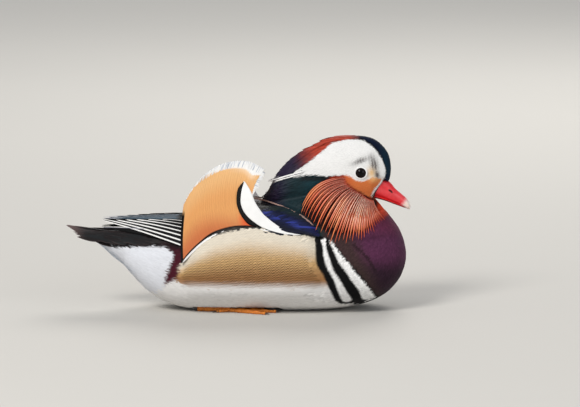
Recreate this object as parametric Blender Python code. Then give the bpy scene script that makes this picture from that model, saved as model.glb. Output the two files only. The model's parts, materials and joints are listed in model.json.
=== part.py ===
"""A drake mandarin duck, life size, sitting on its belly with the feet tucked under.

Metres. +X runs to the bill, +Y to the bird's left, +Z up. The origin is on the floor, under the
middle of the bird's box. Every outline is a smooth line through a few named points.
"""

import math

import bmesh
import bpy
import numpy as np
from mathutils import Vector

# Driving sizes of the whole bird
GAP = 0.0003  # between neighbouring pieces
FEATHER_GAP = 0.00045  # round a node of many feathers
PANEL_GAP = 0.0009  # under a curved panel, whose flats differ from those of the trunk
SLIVER = 0.000003  # the shortest edge that a cut may leave
FLOOR = 0.0
BELLY_DIP = 0.002  # how far the round belly is flattened where it rests

# The trunk: (x, lowest z, highest z, half width), from the breast to the root of the tail
TRUNK_RIBS = (
    (0.1775, 0.0560, 0.0560, 0.0000),
    (0.1770, 0.0500, 0.0620, 0.0080),
    (0.1750, 0.0420, 0.0725, 0.0180),
    (0.1705, 0.0320, 0.0822, 0.0290),
    (0.1640, 0.0235, 0.0878, 0.0375),
    (0.1550, 0.0155, 0.0920, 0.0445),
    (0.1420, 0.0085, 0.0950, 0.0505),
    (0.1240, 0.0030, 0.1005, 0.0550),
    (0.1000, -0.0005, 0.1050, 0.0580),
    (0.0700, -BELLY_DIP, 0.1090, 0.0600),
    (0.0400, -BELLY_DIP, 0.1115, 0.0605),
    (0.0100, -BELLY_DIP, 0.1105, 0.0595),
    (-0.0200, -BELLY_DIP, 0.1065, 0.0570),
    (-0.0500, -0.0005, 0.1005, 0.0520),
    (-0.0750, 0.0060, 0.0945, 0.0450),
    (-0.0950, 0.0180, 0.0895, 0.0375),
    (-0.1100, 0.0335, 0.0860, 0.0315),
    (-0.1180, 0.0425, 0.0843, 0.0280),
)
TRUNK_WIDEST = 0.44  # share of the height at which a rib of the trunk is widest
TRUNK_BACK_ROUND = 2.0
TRUNK_BELLY_ROUND = 2.5

# The neck: (z, rearmost x, foremost x, half width), from inside the breast up into the head
NECK_RIBS = (
    (0.0800, 0.0200, 0.1722, 0.0480),
    (0.0850, 0.0205, 0.1697, 0.0465),
    (0.0950, 0.0220, 0.1625, 0.0420),
    (0.1050, 0.0240, 0.1546, 0.0360),
    (0.1130, 0.0300, 0.1478, 0.0305),
    (0.1220, 0.0480, 0.1395, 0.0225),
    (0.1300, 0.0700, 0.1280, 0.0120),
)
NECK_WIDEST = 0.62
NECK_FRONT_ROUND = 2.2
NECK_NAPE_ROUND = 1.7

# The head with its crest: (x, lowest z, highest z, half width), from the forehead to the nape
HEAD_RIBS = (
    (0.1612, 0.1480, 0.1480, 0.0000),
    (0.1606, 0.1400, 0.1545, 0.0048),
    (0.1590, 0.1340, 0.1612, 0.0080),
    (0.1566, 0.1290, 0.1662, 0.0106),
    (0.1530, 0.1240, 0.1710, 0.0132),
    (0.1480, 0.1185, 0.1758, 0.0155),
    (0.1420, 0.1145, 0.1795, 0.0174),
    (0.1350, 0.1125, 0.1816, 0.0190),
    (0.1260, 0.1120, 0.1826, 0.0205),
    (0.1124, 0.1100, 0.1828, 0.0215),
    (0.0998, 0.1080, 0.1813, 0.0215),
    (0.0840, 0.1060, 0.1738, 0.0205),
    (0.0651, 0.1040, 0.1638, 0.0185),
    (0.0494, 0.1040, 0.1506, 0.0155),
    (0.0389, 0.1060, 0.1386, 0.0130),
    (0.0315, 0.1090, 0.1244, 0.0095),
    (0.0262, 0.1120, 0.1165, 0.0050),
    (0.0235, 0.1140, 0.1140, 0.0000),
)
HEAD_WIDEST = 0.45
HEAD_ROUND = 2.1

NECK_HEAD_CUT = 0.1115  # height of the level cut between neck and head

# Feathers: their section, as shares of half width and of thickness, and half width along them
VANE_SECTION = ((1, 0.0), (0, 0.6), (-1, 0.0), (0, -0.4))
BROAD_SWELL = (0.50, 0.85, 1.0, 0.78)
HACKLE_SWELL = (0.30, 0.75, 1.0, 0.75)

# The crest: tips along the rear outline of the head, top to bottom, and the way its locks run
CREST_TIPS = (
    (0.0800, 0.1722),
    (0.0600, 0.1604),
    (0.0450, 0.1472),
    (0.0345, 0.1345),
    (0.0300, 0.1225),
    (0.0225, 0.1150),
)
CREST_RUN_DEG = (34.0, 40.0, 38.0, 30.0, 22.0, 12.0)
CREST_LOCKS = 8
CREST_LENGTH = 0.034
CREST_WIDTH = 0.0038
CREST_THICK = 0.0012

# The bill: (lower x, lower z, upper x, upper z, half width) of slanted ribs, base to tip
UPPER_BILL_RIBS = (
    (0.1370, 0.1200, 0.1485, 0.1402, 0.0086),
    (0.1420, 0.1188, 0.1545, 0.1368, 0.0084),
    (0.1490, 0.1170, 0.1605, 0.1316, 0.0080),
    (0.1560, 0.1146, 0.1652, 0.1258, 0.0076),
    (0.1640, 0.1114, 0.1712, 0.1206, 0.0071),
    (0.1700, 0.1088, 0.1760, 0.1164, 0.0064),
    (0.1740, 0.1070, 0.1792, 0.1120, 0.0053),
    (0.1767, 0.1051, 0.1811, 0.1074, 0.0036),
    (0.1802, 0.1037, 0.1802, 0.1037, 0.0000),
)
LOWER_BILL_RIBS = (
    (0.1400, 0.1166, 0.1410, 0.1200, 0.0072),
    (0.1450, 0.1157, 0.1458, 0.1190, 0.0071),
    (0.1544, 0.1132, 0.1550, 0.1162, 0.0067),
    (0.1640, 0.1096, 0.1645, 0.1122, 0.0060),
    (0.1700, 0.1074, 0.1704, 0.1098, 0.0050),
    (0.1740, 0.1060, 0.1743, 0.1078, 0.0036),
    (0.1764, 0.1052, 0.1764, 0.1052, 0.0000),
)
BILL_WIDEST = 0.30
BILL_ROUND = 2.3
BILL_ROOT_LOW = (0.1415, 0.1160)  # the plane where feathers meet the bill, seen from the side
BILL_ROOT_HIGH = (0.1535, 0.1365)
NAIL_CUT_LOW = (0.1738, 0.1040)  # the plane where the horny nail begins
NAIL_CUT_HIGH = (0.1772, 0.1130)
NOSTRIL = (0.1600, 0.1240)
NOSTRIL_SIZE = (0.0018, 0.0012, 0.0008)

EYE_CENTRE = (0.1297, 0.1451)
EYE_RADIUS = 0.0070
EYE_DEPTH = 0.0044  # of the eyeball's centre under the skin
LID_RADIUS = 0.0058
LID_THICKNESS = 0.0009

# The upper edge of the flank panel, seen from the side, rear to front
FLANK_EDGE = (
    (-0.0600, 0.0530),
    (-0.0504, 0.0636),
    (-0.0399, 0.0734),
    (-0.0263, 0.0834),
    (-0.0084, 0.0892),
    (0.0074, 0.0908),
    (0.0252, 0.0897),
    (0.0441, 0.0865),
    (0.0651, 0.0839),
    (0.0860, 0.0780),
)
FLANK_REAR, FLANK_FRONT = -0.0600, 0.0860
FLANK_LOW_DEG = -42.0
FLANK_THICK = 0.0048
WING_REAR, WING_FRONT = -0.0620, 0.0900
WING_THICK = 0.0034
WING_TOP_Y = 0.0150  # half the strip of mantle that the two wings leave bare
WING_FLANK_GAP = 0.0011  # between the edges of the two panels, before they curve away
SHELL_EDGE = 0.0012  # thickness of a panel at its feathered edges

# The folded hand of the wing: its quills' roots on the panel and their tips, low to high
HAND_ROOTS = ((-0.0480, 0.0690), (-0.0480, 0.0930))  # x and z of the lowest and highest root
HAND_TIPS = (
    (-0.1250, 0.0250, 0.0850),
    (-0.1400, 0.0190, 0.0880),
    (-0.1428, 0.0155, 0.0915),
    (-0.1350, 0.0150, 0.0938),
    (-0.1200, 0.0160, 0.0948),
)
HAND_QUILLS = 8
QUILL_WIDTH = 0.0052
QUILL_THICK = 0.0011
QUILL_STEP = 0.0011  # between one quill's face and the next towards the tips
SCAPULARS = 3  # in each of two tiers
SCAPULAR_ROOTS = ((0.0830, 0.0880), (0.0700, 0.1040))
SCAPULAR_TIERS = (0.0, -0.0290)
SCAPULAR_REACH = (-0.0440, 0.0050)
SCAPULAR_WIDTH = 0.0058
SCAPULAR_THICK = 0.0010

# The raised sail: its shaft along the flank's edge, and its rim, both rear to front, in x and z
SAIL_SHAFT = (
    (-0.0585, 0.0550),
    (-0.0504, 0.0650),
    (-0.0399, 0.0748),
    (-0.0263, 0.0848),
    (-0.0084, 0.0906),
    (0.0074, 0.0922),
    (0.0200, 0.0915),
)
SAIL_BOW = (
    (-0.0640, 0.0850),
    (-0.0610, 0.0930),
    (-0.0520, 0.1050),
    (-0.0380, 0.1150),
    (-0.0200, 0.1230),
    (0.0000, 0.1260),
    (0.0100, 0.1220),
)
SAIL_RIM = (
    (-0.0560, 0.1150),
    (-0.0500, 0.1262),
    (-0.0390, 0.1408),
    (-0.0230, 0.1530),
    (-0.0050, 0.1588),
    (0.0130, 0.1585),
    (0.0290, 0.1508),
)
SAIL_LEAN = 0.38  # how far the sail leans in for each metre that it rises
SAIL_THICK = 0.0009
SHAFT_THICK = 0.0016
LEFT_SAIL_SINK = 0.0050  # the left sail is carried this much lower than the right one

# The pied scapular: (x, z, half width) along its middle, from the shoulder up to its point
SICKLE_LINE = (
    (0.0780, 0.0835, 0.0010),
    (0.0651, 0.0875, 0.0022),
    (0.0490, 0.0905, 0.0042),
    (0.0320, 0.0975, 0.0070),
    (0.0185, 0.1045, 0.0088),
    (0.0110, 0.1140, 0.0088),
    (0.0070, 0.1240, 0.0075),
    (0.0055, 0.1320, 0.0045),
    (0.0050, 0.1400, 0.0004),
)
SICKLE_THICK = 0.0010

# The tail: a core of coverts and the fan of quills, from the middle out to one side
TAIL_CORE_RIBS = (
    (-0.1180, 0.0430, 0.0840, 0.0275),
    (-0.1300, 0.0520, 0.0825, 0.0230),
    (-0.1420, 0.0635, 0.0820, 0.0180),
    (-0.1530, 0.0715, 0.0820, 0.0130),
    (-0.1600, 0.0760, 0.0815, 0.0060),
)
TAIL_QUILLS = 7
TAIL_TIPS = ((-0.1806, 0.0020, 0.0878), (-0.1640, 0.0250, 0.0790))
TAIL_ROOTS = ((-0.1320, 0.0020, 0.0800), (-0.1320, 0.0120, 0.0745))
TAIL_WIDTH = 0.0072
TAIL_THICK = 0.0012
TAIL_COVERTS = 4
COVERT_REACH = 0.0160

# The ruff: each row is a hackle's root, bow and tip, in x and z, from the rear to the front
RUFF_ROWS = (
    (0.1155, 0.1400, 0.0777, 0.1435, 0.0651, 0.1063),
    (0.1150, 0.1340, 0.0840, 0.1316, 0.0735, 0.0945),
    (0.1218, 0.1272, 0.1050, 0.1188, 0.0903, 0.0780),
    (0.1295, 0.1220, 0.1176, 0.1092, 0.1110, 0.0755),
    (0.1355, 0.1177, 0.1281, 0.1029, 0.1285, 0.0790),
    (0.1390, 0.1160, 0.1365, 0.1040, 0.1430, 0.0870),
    (0.1420, 0.1150, 0.1450, 0.1060, 0.1550, 0.0975),
)
RUFF_HACKLES = 18
RUFF_WIDTH = 0.0041
RUFF_THICK = 0.0012
RUFF_LIFT = (0.0010, 0.0026)  # of the lower and the upper tier over the body

# The foot, folded under the belly, in x and y on the bird's left side
HEEL = (-0.0420, 0.0250)
TOE_ROOT = (-0.0080, 0.0310)
TOE_TIPS = ((0.0270, 0.0210), (0.0400, 0.0370), (0.0290, 0.0500))
HIND_TOE_TIP = (-0.0220, 0.0370)
SHANK_RADIUS = 0.0031
TOE_RADIUS = 0.0021
CLAW_RADIUS = 0.0009
CLAW_LENGTH = 0.0050
WEB_THICK = 0.0012
WEB_INSET = 0.80  # share of a toe's length that the web's edge reaches between toes


def clear_scene():
    """Empties the scene and its meshes."""
    for thing in list(bpy.data.objects):
        bpy.data.objects.remove(thing)
    for mesh in list(bpy.data.meshes):
        bpy.data.meshes.remove(mesh)


def smooth_rows(rows, places):
    """Catmull-Rom values through rows of numbers, at places counted in rows."""
    rows = np.asarray(rows, float)
    places = np.clip(np.asarray(places, float), 0, len(rows) - 1)
    first = np.minimum(places.astype(int), len(rows) - 2)
    t = (places - first)[:, None]
    before = rows[np.maximum(first - 1, 0)]
    start, end = rows[first], rows[first + 1]
    after = rows[np.minimum(first + 2, len(rows) - 1)]
    return 0.5 * (
        2 * start
        + (end - before) * t
        + (2 * before - 5 * start + 4 * end - after) * t**2
        + (3 * start - before - 3 * end + after) * t**3
    )


def line_at(rows, share):
    """One smooth point of a line of rows, share 0 at its start and 1 at its end."""
    return smooth_rows(rows, [share * (len(rows) - 1)])[0]


def power(value, exponent):
    """A signed power."""
    return np.sign(value) * np.abs(value) ** exponent


def new_object(name, points, faces):
    """A mesh object with its faces turned outwards."""
    mesh = bpy.data.meshes.new(name)
    mesh.from_pydata([tuple(map(float, p)) for p in points], [], faces)
    body = bmesh.new()
    body.from_mesh(mesh)
    bmesh.ops.recalc_face_normals(body, faces=body.faces)
    if body.calc_volume(signed=True) < 0:
        bmesh.ops.reverse_faces(body, faces=body.faces)
    body.to_mesh(mesh)
    body.free()
    made = bpy.data.objects.new(name, mesh)
    bpy.context.scene.collection.objects.link(made)
    return made


class Loft:
    """A body skinned over oval ribs that stand across the bird's plane of symmetry."""

    def __init__(self, ribs, widest, high_round, low_round):
        """Each rib is (low x, low z, high x, high z, half width)."""
        self.ribs = np.asarray(ribs, float)
        self.widest = widest
        self.high_round = high_round
        self.low_round = low_round
        self.dense = smooth_rows(self.ribs, np.linspace(0, len(ribs) - 1, 600))

    def points(self, row, angles):
        """Points round one rib; angle 0 is its widest point on the left, 90 degrees its top."""
        low, high, half_width = row[:2], row[2:4], max(row[4], 0.0)
        middle = low + self.widest * (high - low)
        rise, reach = np.sin(angles), np.cos(angles)
        exponent = 2 / np.where(rise >= 0, self.high_round, self.low_round)
        share = power(rise, exponent)[:, None]
        flat = middle + np.where(share >= 0, share * (high - middle), share * (middle - low))
        side = half_width * power(reach, exponent)
        return np.column_stack([flat[:, 0], side, np.maximum(flat[:, 1], FLOOR)])

    def mesh(self, name, rings, sides):
        """The closed body, with rings ribs of sides points each."""
        rows = smooth_rows(self.ribs, np.linspace(0, len(self.ribs) - 1, rings))
        angles = np.linspace(0, 2 * math.pi, sides, endpoint=False)
        points, faces, loops = [], [], []
        for row in rows:
            start = len(points)
            if row[4] < 1e-6:
                points.append(self.points(row, angles[:1])[0])
                loops.append([start] * sides)
            else:
                points.extend(self.points(row, angles))
                loops.append(list(range(start, start + sides)))
        for a, b in zip(loops, loops[1:]):
            for k in range(sides):
                corner = [a[k], a[(k + 1) % sides], b[(k + 1) % sides], b[k]]
                faces.append(list(dict.fromkeys(corner)))
        faces += [loop for loop in (loops[0], loops[-1]) if len(set(loop)) == sides]
        return new_object(name, points, faces)

    def row_at(self, x):
        """The upright rib at this x."""
        order = np.argsort(self.dense[:, 0])
        table = self.dense[order]
        return np.array([np.interp(x, table[:, 0], table[:, k]) for k in range(5)])

    def angle_at_height(self, x, z):
        """Where round the rib at x the surface reaches this height."""
        row = self.row_at(x)
        middle = row[1] + self.widest * (row[3] - row[1])
        reach = row[3] - middle if z >= middle else middle - row[1]
        kind = self.high_round if z >= middle else self.low_round
        share = min(abs(z - middle) / reach, 1.0) ** (kind / 2)
        return math.copysign(math.asin(share), z - middle)

    def angle_at_side(self, x, y):
        """Where on the upper half of the rib at x the surface is this far out."""
        half_width = self.row_at(x)[4]
        return math.acos(min(y / half_width, 1.0) ** (self.high_round / 2))

    def half_width_at(self, x, z):
        """How far out the surface is at this x and height, or 0 past it."""
        row = self.row_at(x)
        if not row[1] < z < row[3]:
            return 0.0
        middle = row[1] + self.widest * (row[3] - row[1])
        reach = row[3] - middle if z >= middle else middle - row[1]
        kind = self.high_round if z >= middle else self.low_round
        return row[4] * max(1 - (abs(z - middle) / reach) ** kind, 0.0) ** (1 / kind)

    def point(self, x, angle, offset):
        """A point on the left side of the rib at x, moved out along the normal."""
        step = 1e-4

        def at(place, turn):
            return self.points(self.row_at(place), np.array([turn]))[0]

        here = at(x, angle)
        along = at(x + step, angle) - at(x - step, angle)
        around = at(x, angle + step) - at(x, angle - step)
        normal = np.cross(along, around)
        normal /= np.linalg.norm(normal)
        if normal[1] < 0:
            normal = -normal
        return here + normal * offset


def upright(ribs):
    """Ribs given as (x, low z, high z, half width), in the form that Loft reads."""
    return [(x, low, x, high, half) for x, low, high, half in ribs]


def level(ribs):
    """Ribs given as (z, rear x, front x, half width), in the form that Loft reads."""
    return [(rear, z, front, z, half) for z, rear, front, half in ribs]


TRUNK = Loft(upright(TRUNK_RIBS), TRUNK_WIDEST, TRUNK_BACK_ROUND, TRUNK_BELLY_ROUND)
HEAD = Loft(upright(HEAD_RIBS), HEAD_WIDEST, HEAD_ROUND, HEAD_ROUND)
NECK = Loft(level(NECK_RIBS), NECK_WIDEST, NECK_FRONT_ROUND, NECK_NAPE_ROUND)
TAIL_CORE = Loft(upright(TAIL_CORE_RIBS), 0.6, 2.0, 2.0)


def neck_half_width(x, z):
    """How far out the neck is at this x and height, or 0 past it."""
    order = np.argsort(NECK.dense[:, 1])
    table = NECK.dense[order]
    rear, front, half = (np.interp(z, table[:, 1], table[:, k]) for k in (0, 2, 4))
    if not (rear < x < front and NECK_RIBS[0][0] <= z <= NECK_RIBS[-1][0]):
        return 0.0
    middle = rear + NECK_WIDEST * (front - rear)
    reach = front - middle if x >= middle else middle - rear
    kind = NECK_FRONT_ROUND if x >= middle else NECK_NAPE_ROUND
    return half * max(1 - (abs(x - middle) / reach) ** kind, 0.0) ** (1 / kind)


def body_half_width(x, z):
    """How far out the head, the neck or the trunk with its panels is at this x and height."""
    trunk = TRUNK.half_width_at(x, z)
    if trunk > WING_TOP_Y:
        covered = min(max((WING_FRONT - x) / 0.012, 0.0), 1.0)
        trunk += (WING_THICK + PANEL_GAP) * covered
    return max(trunk, neck_half_width(x, z), HEAD.half_width_at(x, z))


def apply_modifiers(thing):
    """Keeps the shape that the object's modifiers give it, and drops them."""
    graph = bpy.context.evaluated_depsgraph_get()
    shaped = bpy.data.meshes.new_from_object(thing.evaluated_get(graph))
    thing.modifiers.clear()
    thing.data = shaped


def remove(things):
    """Takes helpers out of the scene."""
    for thing in things:
        bpy.data.objects.remove(thing)


def subtract(thing, cutters, solver="EXACT"):
    """Cuts each cutter out of thing, and removes the cutters."""
    other = {"EXACT": "MANIFOLD", "MANIFOLD": "EXACT"}[solver]
    for cutter in cutters:
        before = thing.data.copy()
        for kind in (solver, other):
            cut = thing.modifiers.new("cut", "BOOLEAN")
            cut.operation, cut.object, cut.solver = "DIFFERENCE", cutter, kind
            apply_modifiers(thing)
            if 0 < len(thing.data.vertices) != len(before.vertices):
                break
            thing.data = before.copy()
    remove(cutters)
    return thing


def join(thing, pieces, solver="MANIFOLD"):
    """Fuses pieces into thing by one union, and removes them."""
    group = bpy.data.collections.new("pieces")
    for piece in pieces:
        group.objects.link(piece)
    union = thing.modifiers.new("union", "BOOLEAN")
    union.operation, union.operand_type = "UNION", "COLLECTION"
    union.collection, union.solver = group, solver
    apply_modifiers(thing)
    remove(pieces)
    bpy.data.collections.remove(group)
    return thing


def copy_of(thing, name="copy"):
    """A second object with a mesh of its own."""
    twin = bpy.data.objects.new(name, thing.data.copy())
    bpy.context.scene.collection.objects.link(twin)
    return twin


def mirrored(thing, name):
    """The same piece on the bird's other side."""
    twin = copy_of(thing, name)
    for vertex in twin.data.vertices:
        vertex.co.y = -vertex.co.y
    twin.data.flip_normals()
    return twin


def grown(thing, distance=GAP):
    """A copy swollen along its normals, to cut clearance for thing."""
    twin = copy_of(thing)
    body = bmesh.new()
    body.from_mesh(twin.data)
    body.normal_update()
    moved = [v.co + v.normal * distance * v.calc_shell_factor() for v in body.verts]
    for vertex, place in zip(body.verts, moved):
        vertex.co = place
    body.to_mesh(twin.data)
    body.free()
    return twin


def clear(thing, neighbours):
    """Cuts the neighbours out of thing, each with a gap all round it."""
    subtract(thing, [grown(other, FEATHER_GAP) for other in neighbours], "MANIFOLD")
    return keep_largest(thing)


def triangles_of(thing, weld):
    """The piece as triangles, with points closer than weld made one."""
    body = bmesh.new()
    body.from_mesh(thing.data)
    bmesh.ops.remove_doubles(body, verts=body.verts, dist=weld)
    bmesh.ops.dissolve_degenerate(body, edges=body.edges, dist=weld)
    bmesh.ops.triangulate(body, faces=body.faces)
    return body


def keep_largest(thing):
    """Drops every closed surface but the largest, and welds slivers where that leaves it closed."""
    body = triangles_of(thing, SLIVER)
    if any(len(edge.link_faces) != 2 for edge in body.edges):
        body.free()
        body = bmesh.new()
        body.from_mesh(thing.data)
        bmesh.ops.triangulate(body, faces=body.faces)
    left, islands = set(body.faces), []
    while left:
        island, edge = set(), [left.pop()]
        while edge:
            face = edge.pop()
            island.add(face)
            near = {f for e in face.edges if len(e.link_faces) == 2 for f in e.link_faces} & left
            left -= near
            edge.extend(near)
        islands.append(island)

    def volume(island):
        total = 0.0
        for face in island:
            corners = [v.co for v in face.verts]
            for b, c in zip(corners[1:], corners[2:]):
                total += corners[0].dot(b.cross(c))
        return total

    islands.sort(key=volume, reverse=True)
    extra = [face for island in islands[1:] for face in island]
    bmesh.ops.delete(body, geom=extra, context="FACES")
    loose = [v for v in body.verts if not v.link_faces]
    bmesh.ops.delete(body, geom=loose, context="VERTS")
    body.to_mesh(thing.data)
    body.free()
    return thing


def block(name, low, high):
    """A plain box between two corners."""
    corners = [(x, y, z) for x in (low[0], high[0]) for y in (low[1], high[1]) for z in (low[2], high[2])]
    faces = [(0, 1, 3, 2), (4, 6, 7, 5), (0, 4, 5, 1), (2, 3, 7, 6), (0, 2, 6, 4), (1, 5, 7, 3)]
    return new_object(name, corners, faces)


def half_space(low, high, side, shift=0.0):
    """A big block on one side of the plane through two side-view points, across the bird.

    side is +1 for the part in front of the line from low to high, -1 for the part behind it.
    """
    low, high = np.array(low, float), np.array(high, float)
    along = (high - low) / np.linalg.norm(high - low)
    ahead = np.array([along[1], -along[0]]) * side
    size = 0.3
    start = (low + high) / 2 + ahead * shift
    flat = [
        start - along * size,
        start + along * size,
        start + along * size + ahead * size,
        start - along * size + ahead * size,
    ]
    points = [(p[0], y, p[1]) for y in (-size, size) for p in flat]
    faces = [(0, 1, 2, 3), (4, 7, 6, 5)] + [
        (k, (k + 1) % 4, 4 + (k + 1) % 4, 4 + k) for k in range(4)
    ]
    return new_object("half_space", points, faces)


def rise(share, ramp=0.2):
    """Climbs from 0 to 1 over the first part of a share."""
    return math.sin(min(max(share / ramp, 0.0), 1.0) * math.pi / 2)


def panel(name, xs, edges, thickness, rows):
    """A closed shell laid on the left side of the trunk.

    xs are its stations, edges gives the lowest and highest angle at one, and thickness the
    depth at shares along and up the panel.
    """
    inner, outer = [], []
    for i, x in enumerate(xs):
        low, high = edges(x)
        for j in range(rows):
            angle = low + (high - low) * j / (rows - 1)
            depth = thickness(i / (len(xs) - 1), j / (rows - 1))
            inner.append(TRUNK.point(x, angle, PANEL_GAP))
            outer.append(TRUNK.point(x, angle, PANEL_GAP + depth))
    return slab(name, inner, outer, len(xs), rows)


def slab(name, inner, outer, columns, rows):
    """Closes two grids of points, columns by rows, into one body, split alike on both faces."""
    count = columns * rows
    faces = []
    for i in range(columns - 1):
        for j in range(rows - 1):
            a, b = i * rows + j, (i + 1) * rows + j
            for tri in ((a, b, b + 1), (a, b + 1, a + 1)):
                faces.append(tri[::-1])
                faces.append(tuple(k + count for k in tri))
    ring = [i * rows for i in range(columns)]
    ring += [(columns - 1) * rows + j for j in range(1, rows)]
    ring += [i * rows + rows - 1 for i in range(columns - 2, -1, -1)]
    ring += [j for j in range(rows - 2, 0, -1)]
    for k, a in enumerate(ring):
        b = ring[(k + 1) % len(ring)]
        faces += [(a, b, b + count), (a, b + count, a + count)]
    return new_object(name, list(inner) + list(outer), faces)


def vane(name, path, outward, half_width, thickness, swell):
    """One feather along a path, with its face towards outward, tapering to the path's end."""
    path, outward = np.asarray(path, float), np.asarray(outward, float)
    section = VANE_SECTION
    count, sides = len(path) - 1, len(section)
    points, faces = [], []
    for i in range(count):
        ahead = path[i + 1] - path[max(i - 1, 0)]
        across = np.cross(ahead, outward[i])
        across /= np.linalg.norm(across)
        up = np.cross(across, ahead)
        up /= np.linalg.norm(up)
        share = i / (count - 1) * (len(swell) - 1)
        width = half_width * np.interp(share, range(len(swell)), swell)
        depth = thickness * (1 - 0.45 * i / count)
        points += [path[i] + across * width * s + up * depth * t for s, t in section]
    points.append(path[-1])
    for i in range(count - 1):
        for k in range(sides):
            n = (k + 1) % sides
            a, b, c, d = i * sides + k, i * sides + n, (i + 1) * sides + n, (i + 1) * sides + k
            if abs(section[k][0]) >= abs(section[n][0]):
                faces += [(a, b, c), (a, c, d)]
            else:
                faces += [(b, c, d), (b, d, a)]
    last, tip = (count - 1) * sides, count * sides
    faces += [(last + k, last + (k + 1) % sides, tip) for k in range(sides)]
    faces.append(tuple(range(sides)))
    return new_object(name, points, faces)


def bridged(values):
    """The lowest line over the values that never bends inwards."""
    values = list(values)
    count = len(values)
    for k in range(1, count - 1):
        for i in range(k):
            for j in range(k + 1, count):
                line = values[i] + (values[j] - values[i]) * (k - i) / (j - i)
                values[k] = max(values[k], line)
    return values


def draped(root, bow, tip, count, width_at, lift, sink):
    """A path from root to tip in the side view, laid on the body, and the way it faces.

    The first point is sunk into the body, and the rest are lifted off it.
    """
    shares = np.linspace(0, 1, count)[:, None]
    root, bow, tip = (np.asarray(p, float) for p in (root, bow, tip))
    flat = root * (1 - shares) ** 2 + 2 * bow * shares * (1 - shares) + tip * shares**2
    sides = bridged(width_at(x, z) for x, z in flat)
    step, path, outward = 0.003, [], []
    for k, (x, z) in enumerate(flat):
        off = -sink if k == 0 else lift
        path.append((x, sides[k] + off, z))
        slope_x = (width_at(x + step, z) - width_at(x - step, z)) / (2 * step)
        slope_z = (width_at(x, z + step) - width_at(x, z - step)) / (2 * step)
        facing = np.array([-np.clip(slope_x, -1, 1), 1.0, -np.clip(slope_z, -1, 1)])
        outward.append(facing / np.linalg.norm(facing))
    return path, outward


def flank_height(x):
    """Height of the flank's upper edge at this x."""
    dense = smooth_rows(FLANK_EDGE, np.linspace(0, len(FLANK_EDGE) - 1, 200))
    return float(np.interp(x, dense[:, 0], dense[:, 1]))


def make_flank():
    """The buff flank panel on the left side, with a full lip along its upper edge."""

    def edges(x):
        low = math.radians(FLANK_LOW_DEG)
        return low, TRUNK.angle_at_height(x, flank_height(x))

    def thickness(along, up):
        full = rise(along) * rise(1 - along) * rise(up, 0.45)
        return SHELL_EDGE + (FLANK_THICK - SHELL_EDGE) * full

    xs = np.linspace(FLANK_REAR, FLANK_FRONT, 15)
    return panel("flank_left", xs, edges, thickness, 8)


def wing_depth(along, up):
    """Thickness of the wing panel at shares along and up it."""
    full = rise(along, 0.15) * rise(1 - along, 0.3) * rise(1 - up, 0.35)
    return SHELL_EDGE + (WING_THICK - SHELL_EDGE) * full


def wing_edges(x):
    """The lowest and highest angle of the wing panel at this x."""
    low = TRUNK.angle_at_height(x, flank_height(x) + WING_FLANK_GAP)
    return low, TRUNK.angle_at_side(x, WING_TOP_Y)


def make_wing_panel():
    """The bare panel of the folded left wing."""
    xs = np.linspace(WING_REAR, WING_FRONT, 13)
    return panel("wing_left", xs, wing_edges, wing_depth, 6)


def hand_quills():
    """The quills that reach from the panel's rear end over the tail, low to high."""
    quills = []
    for k in range(HAND_QUILLS):
        share = k / (HAND_QUILLS - 1)
        x, z = line_at(HAND_ROOTS, share)
        root = np.array([x, wing_side(x, z), z])
        tip = line_at(HAND_TIPS, share)
        tip[1] += QUILL_STEP * (k - HAND_QUILLS / 2) + QUILL_STEP
        elbow = np.array([-0.0700, wing_side(-0.0620, z) + 0.0014, z + 0.002])
        elbow[1] += QUILL_STEP * 0.5 * k
        shares = np.linspace(0, 1, 5)[:, None]
        path = root * (1 - shares) ** 2 + 2 * elbow * shares * (1 - shares) + tip * shares**2
        outward = [(-0.25, 1.0, 0.2 + 0.5 * share * (1 - t[0])) for t in shares]
        quills.append(vane("quill", path, outward, QUILL_WIDTH, QUILL_THICK, BROAD_SWELL))
    return quills


def scapulars():
    """Two tiers of broad feathers on the panel, from the shoulder back."""
    made = []
    for shift in SCAPULAR_TIERS:
        for k in range(SCAPULARS):
            share = k / (SCAPULARS - 1)
            root = line_at(SCAPULAR_ROOTS, share) + np.array([shift, 0.0])
            tip = root + np.array(SCAPULAR_REACH) * np.array([1.0, 1.0 - 1.4 * share])
            lift = WING_THICK + PANEL_GAP + 0.0007 + 0.0006 * (k % 2)
            path, outward = draped(root, (root + tip) / 2, tip, 5, TRUNK.half_width_at, lift, -0.0022)
            made.append(vane("scapular", path, outward, SCAPULAR_WIDTH, SCAPULAR_THICK, BROAD_SWELL))
    return made


def wing_side(x, z):
    """How far out the middle of the wing's panel is at this x and height."""
    return TRUNK.half_width_at(x, z) + PANEL_GAP + WING_THICK * 0.4


def wing_surface(x, z):
    """How far out the wing panel's outer face is at this x and height."""
    depth = WING_THICK + PANEL_GAP
    angle = TRUNK.angle_at_height(x, min(z, TRUNK.row_at(x)[3] - 1e-4))
    return TRUNK.point(x, angle, depth)[1]


def sail_point(along, up, sink):
    """A point of the left sail: along its shaft from the rear, and up a barb to the rim."""
    root, bow, rim = (line_at(row, along) for row in (SAIL_SHAFT, SAIL_BOW, SAIL_RIM))
    rim = rim - [0, sink]
    bow = bow - [0, sink / 2]
    flat = root * (1 - up) ** 2 + 2 * bow * up * (1 - up) + rim * up**2
    side = wing_surface(root[0], root[1]) + GAP + SHAFT_THICK / 2
    return np.array([flat[0], side - SAIL_LEAN * (flat[1] - root[1]), flat[1]])


def make_sail(name, sink):
    """The raised inner feather of the left wing, as one web with its shaft below."""
    columns, rows = 11, 6
    inner, outer = [], []
    for i in range(columns):
        for j in range(rows):
            up = j / (rows - 1)
            place = sail_point(i / (columns - 1), up, sink)
            depth = SAIL_THICK + (SHAFT_THICK - SAIL_THICK) * max(0.0, 1 - up * 3)
            inner.append(place - [0, depth / 2, 0])
            outer.append(place + [0, depth / 2, 0])
    return slab(name, inner, outer, columns, rows)


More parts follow.
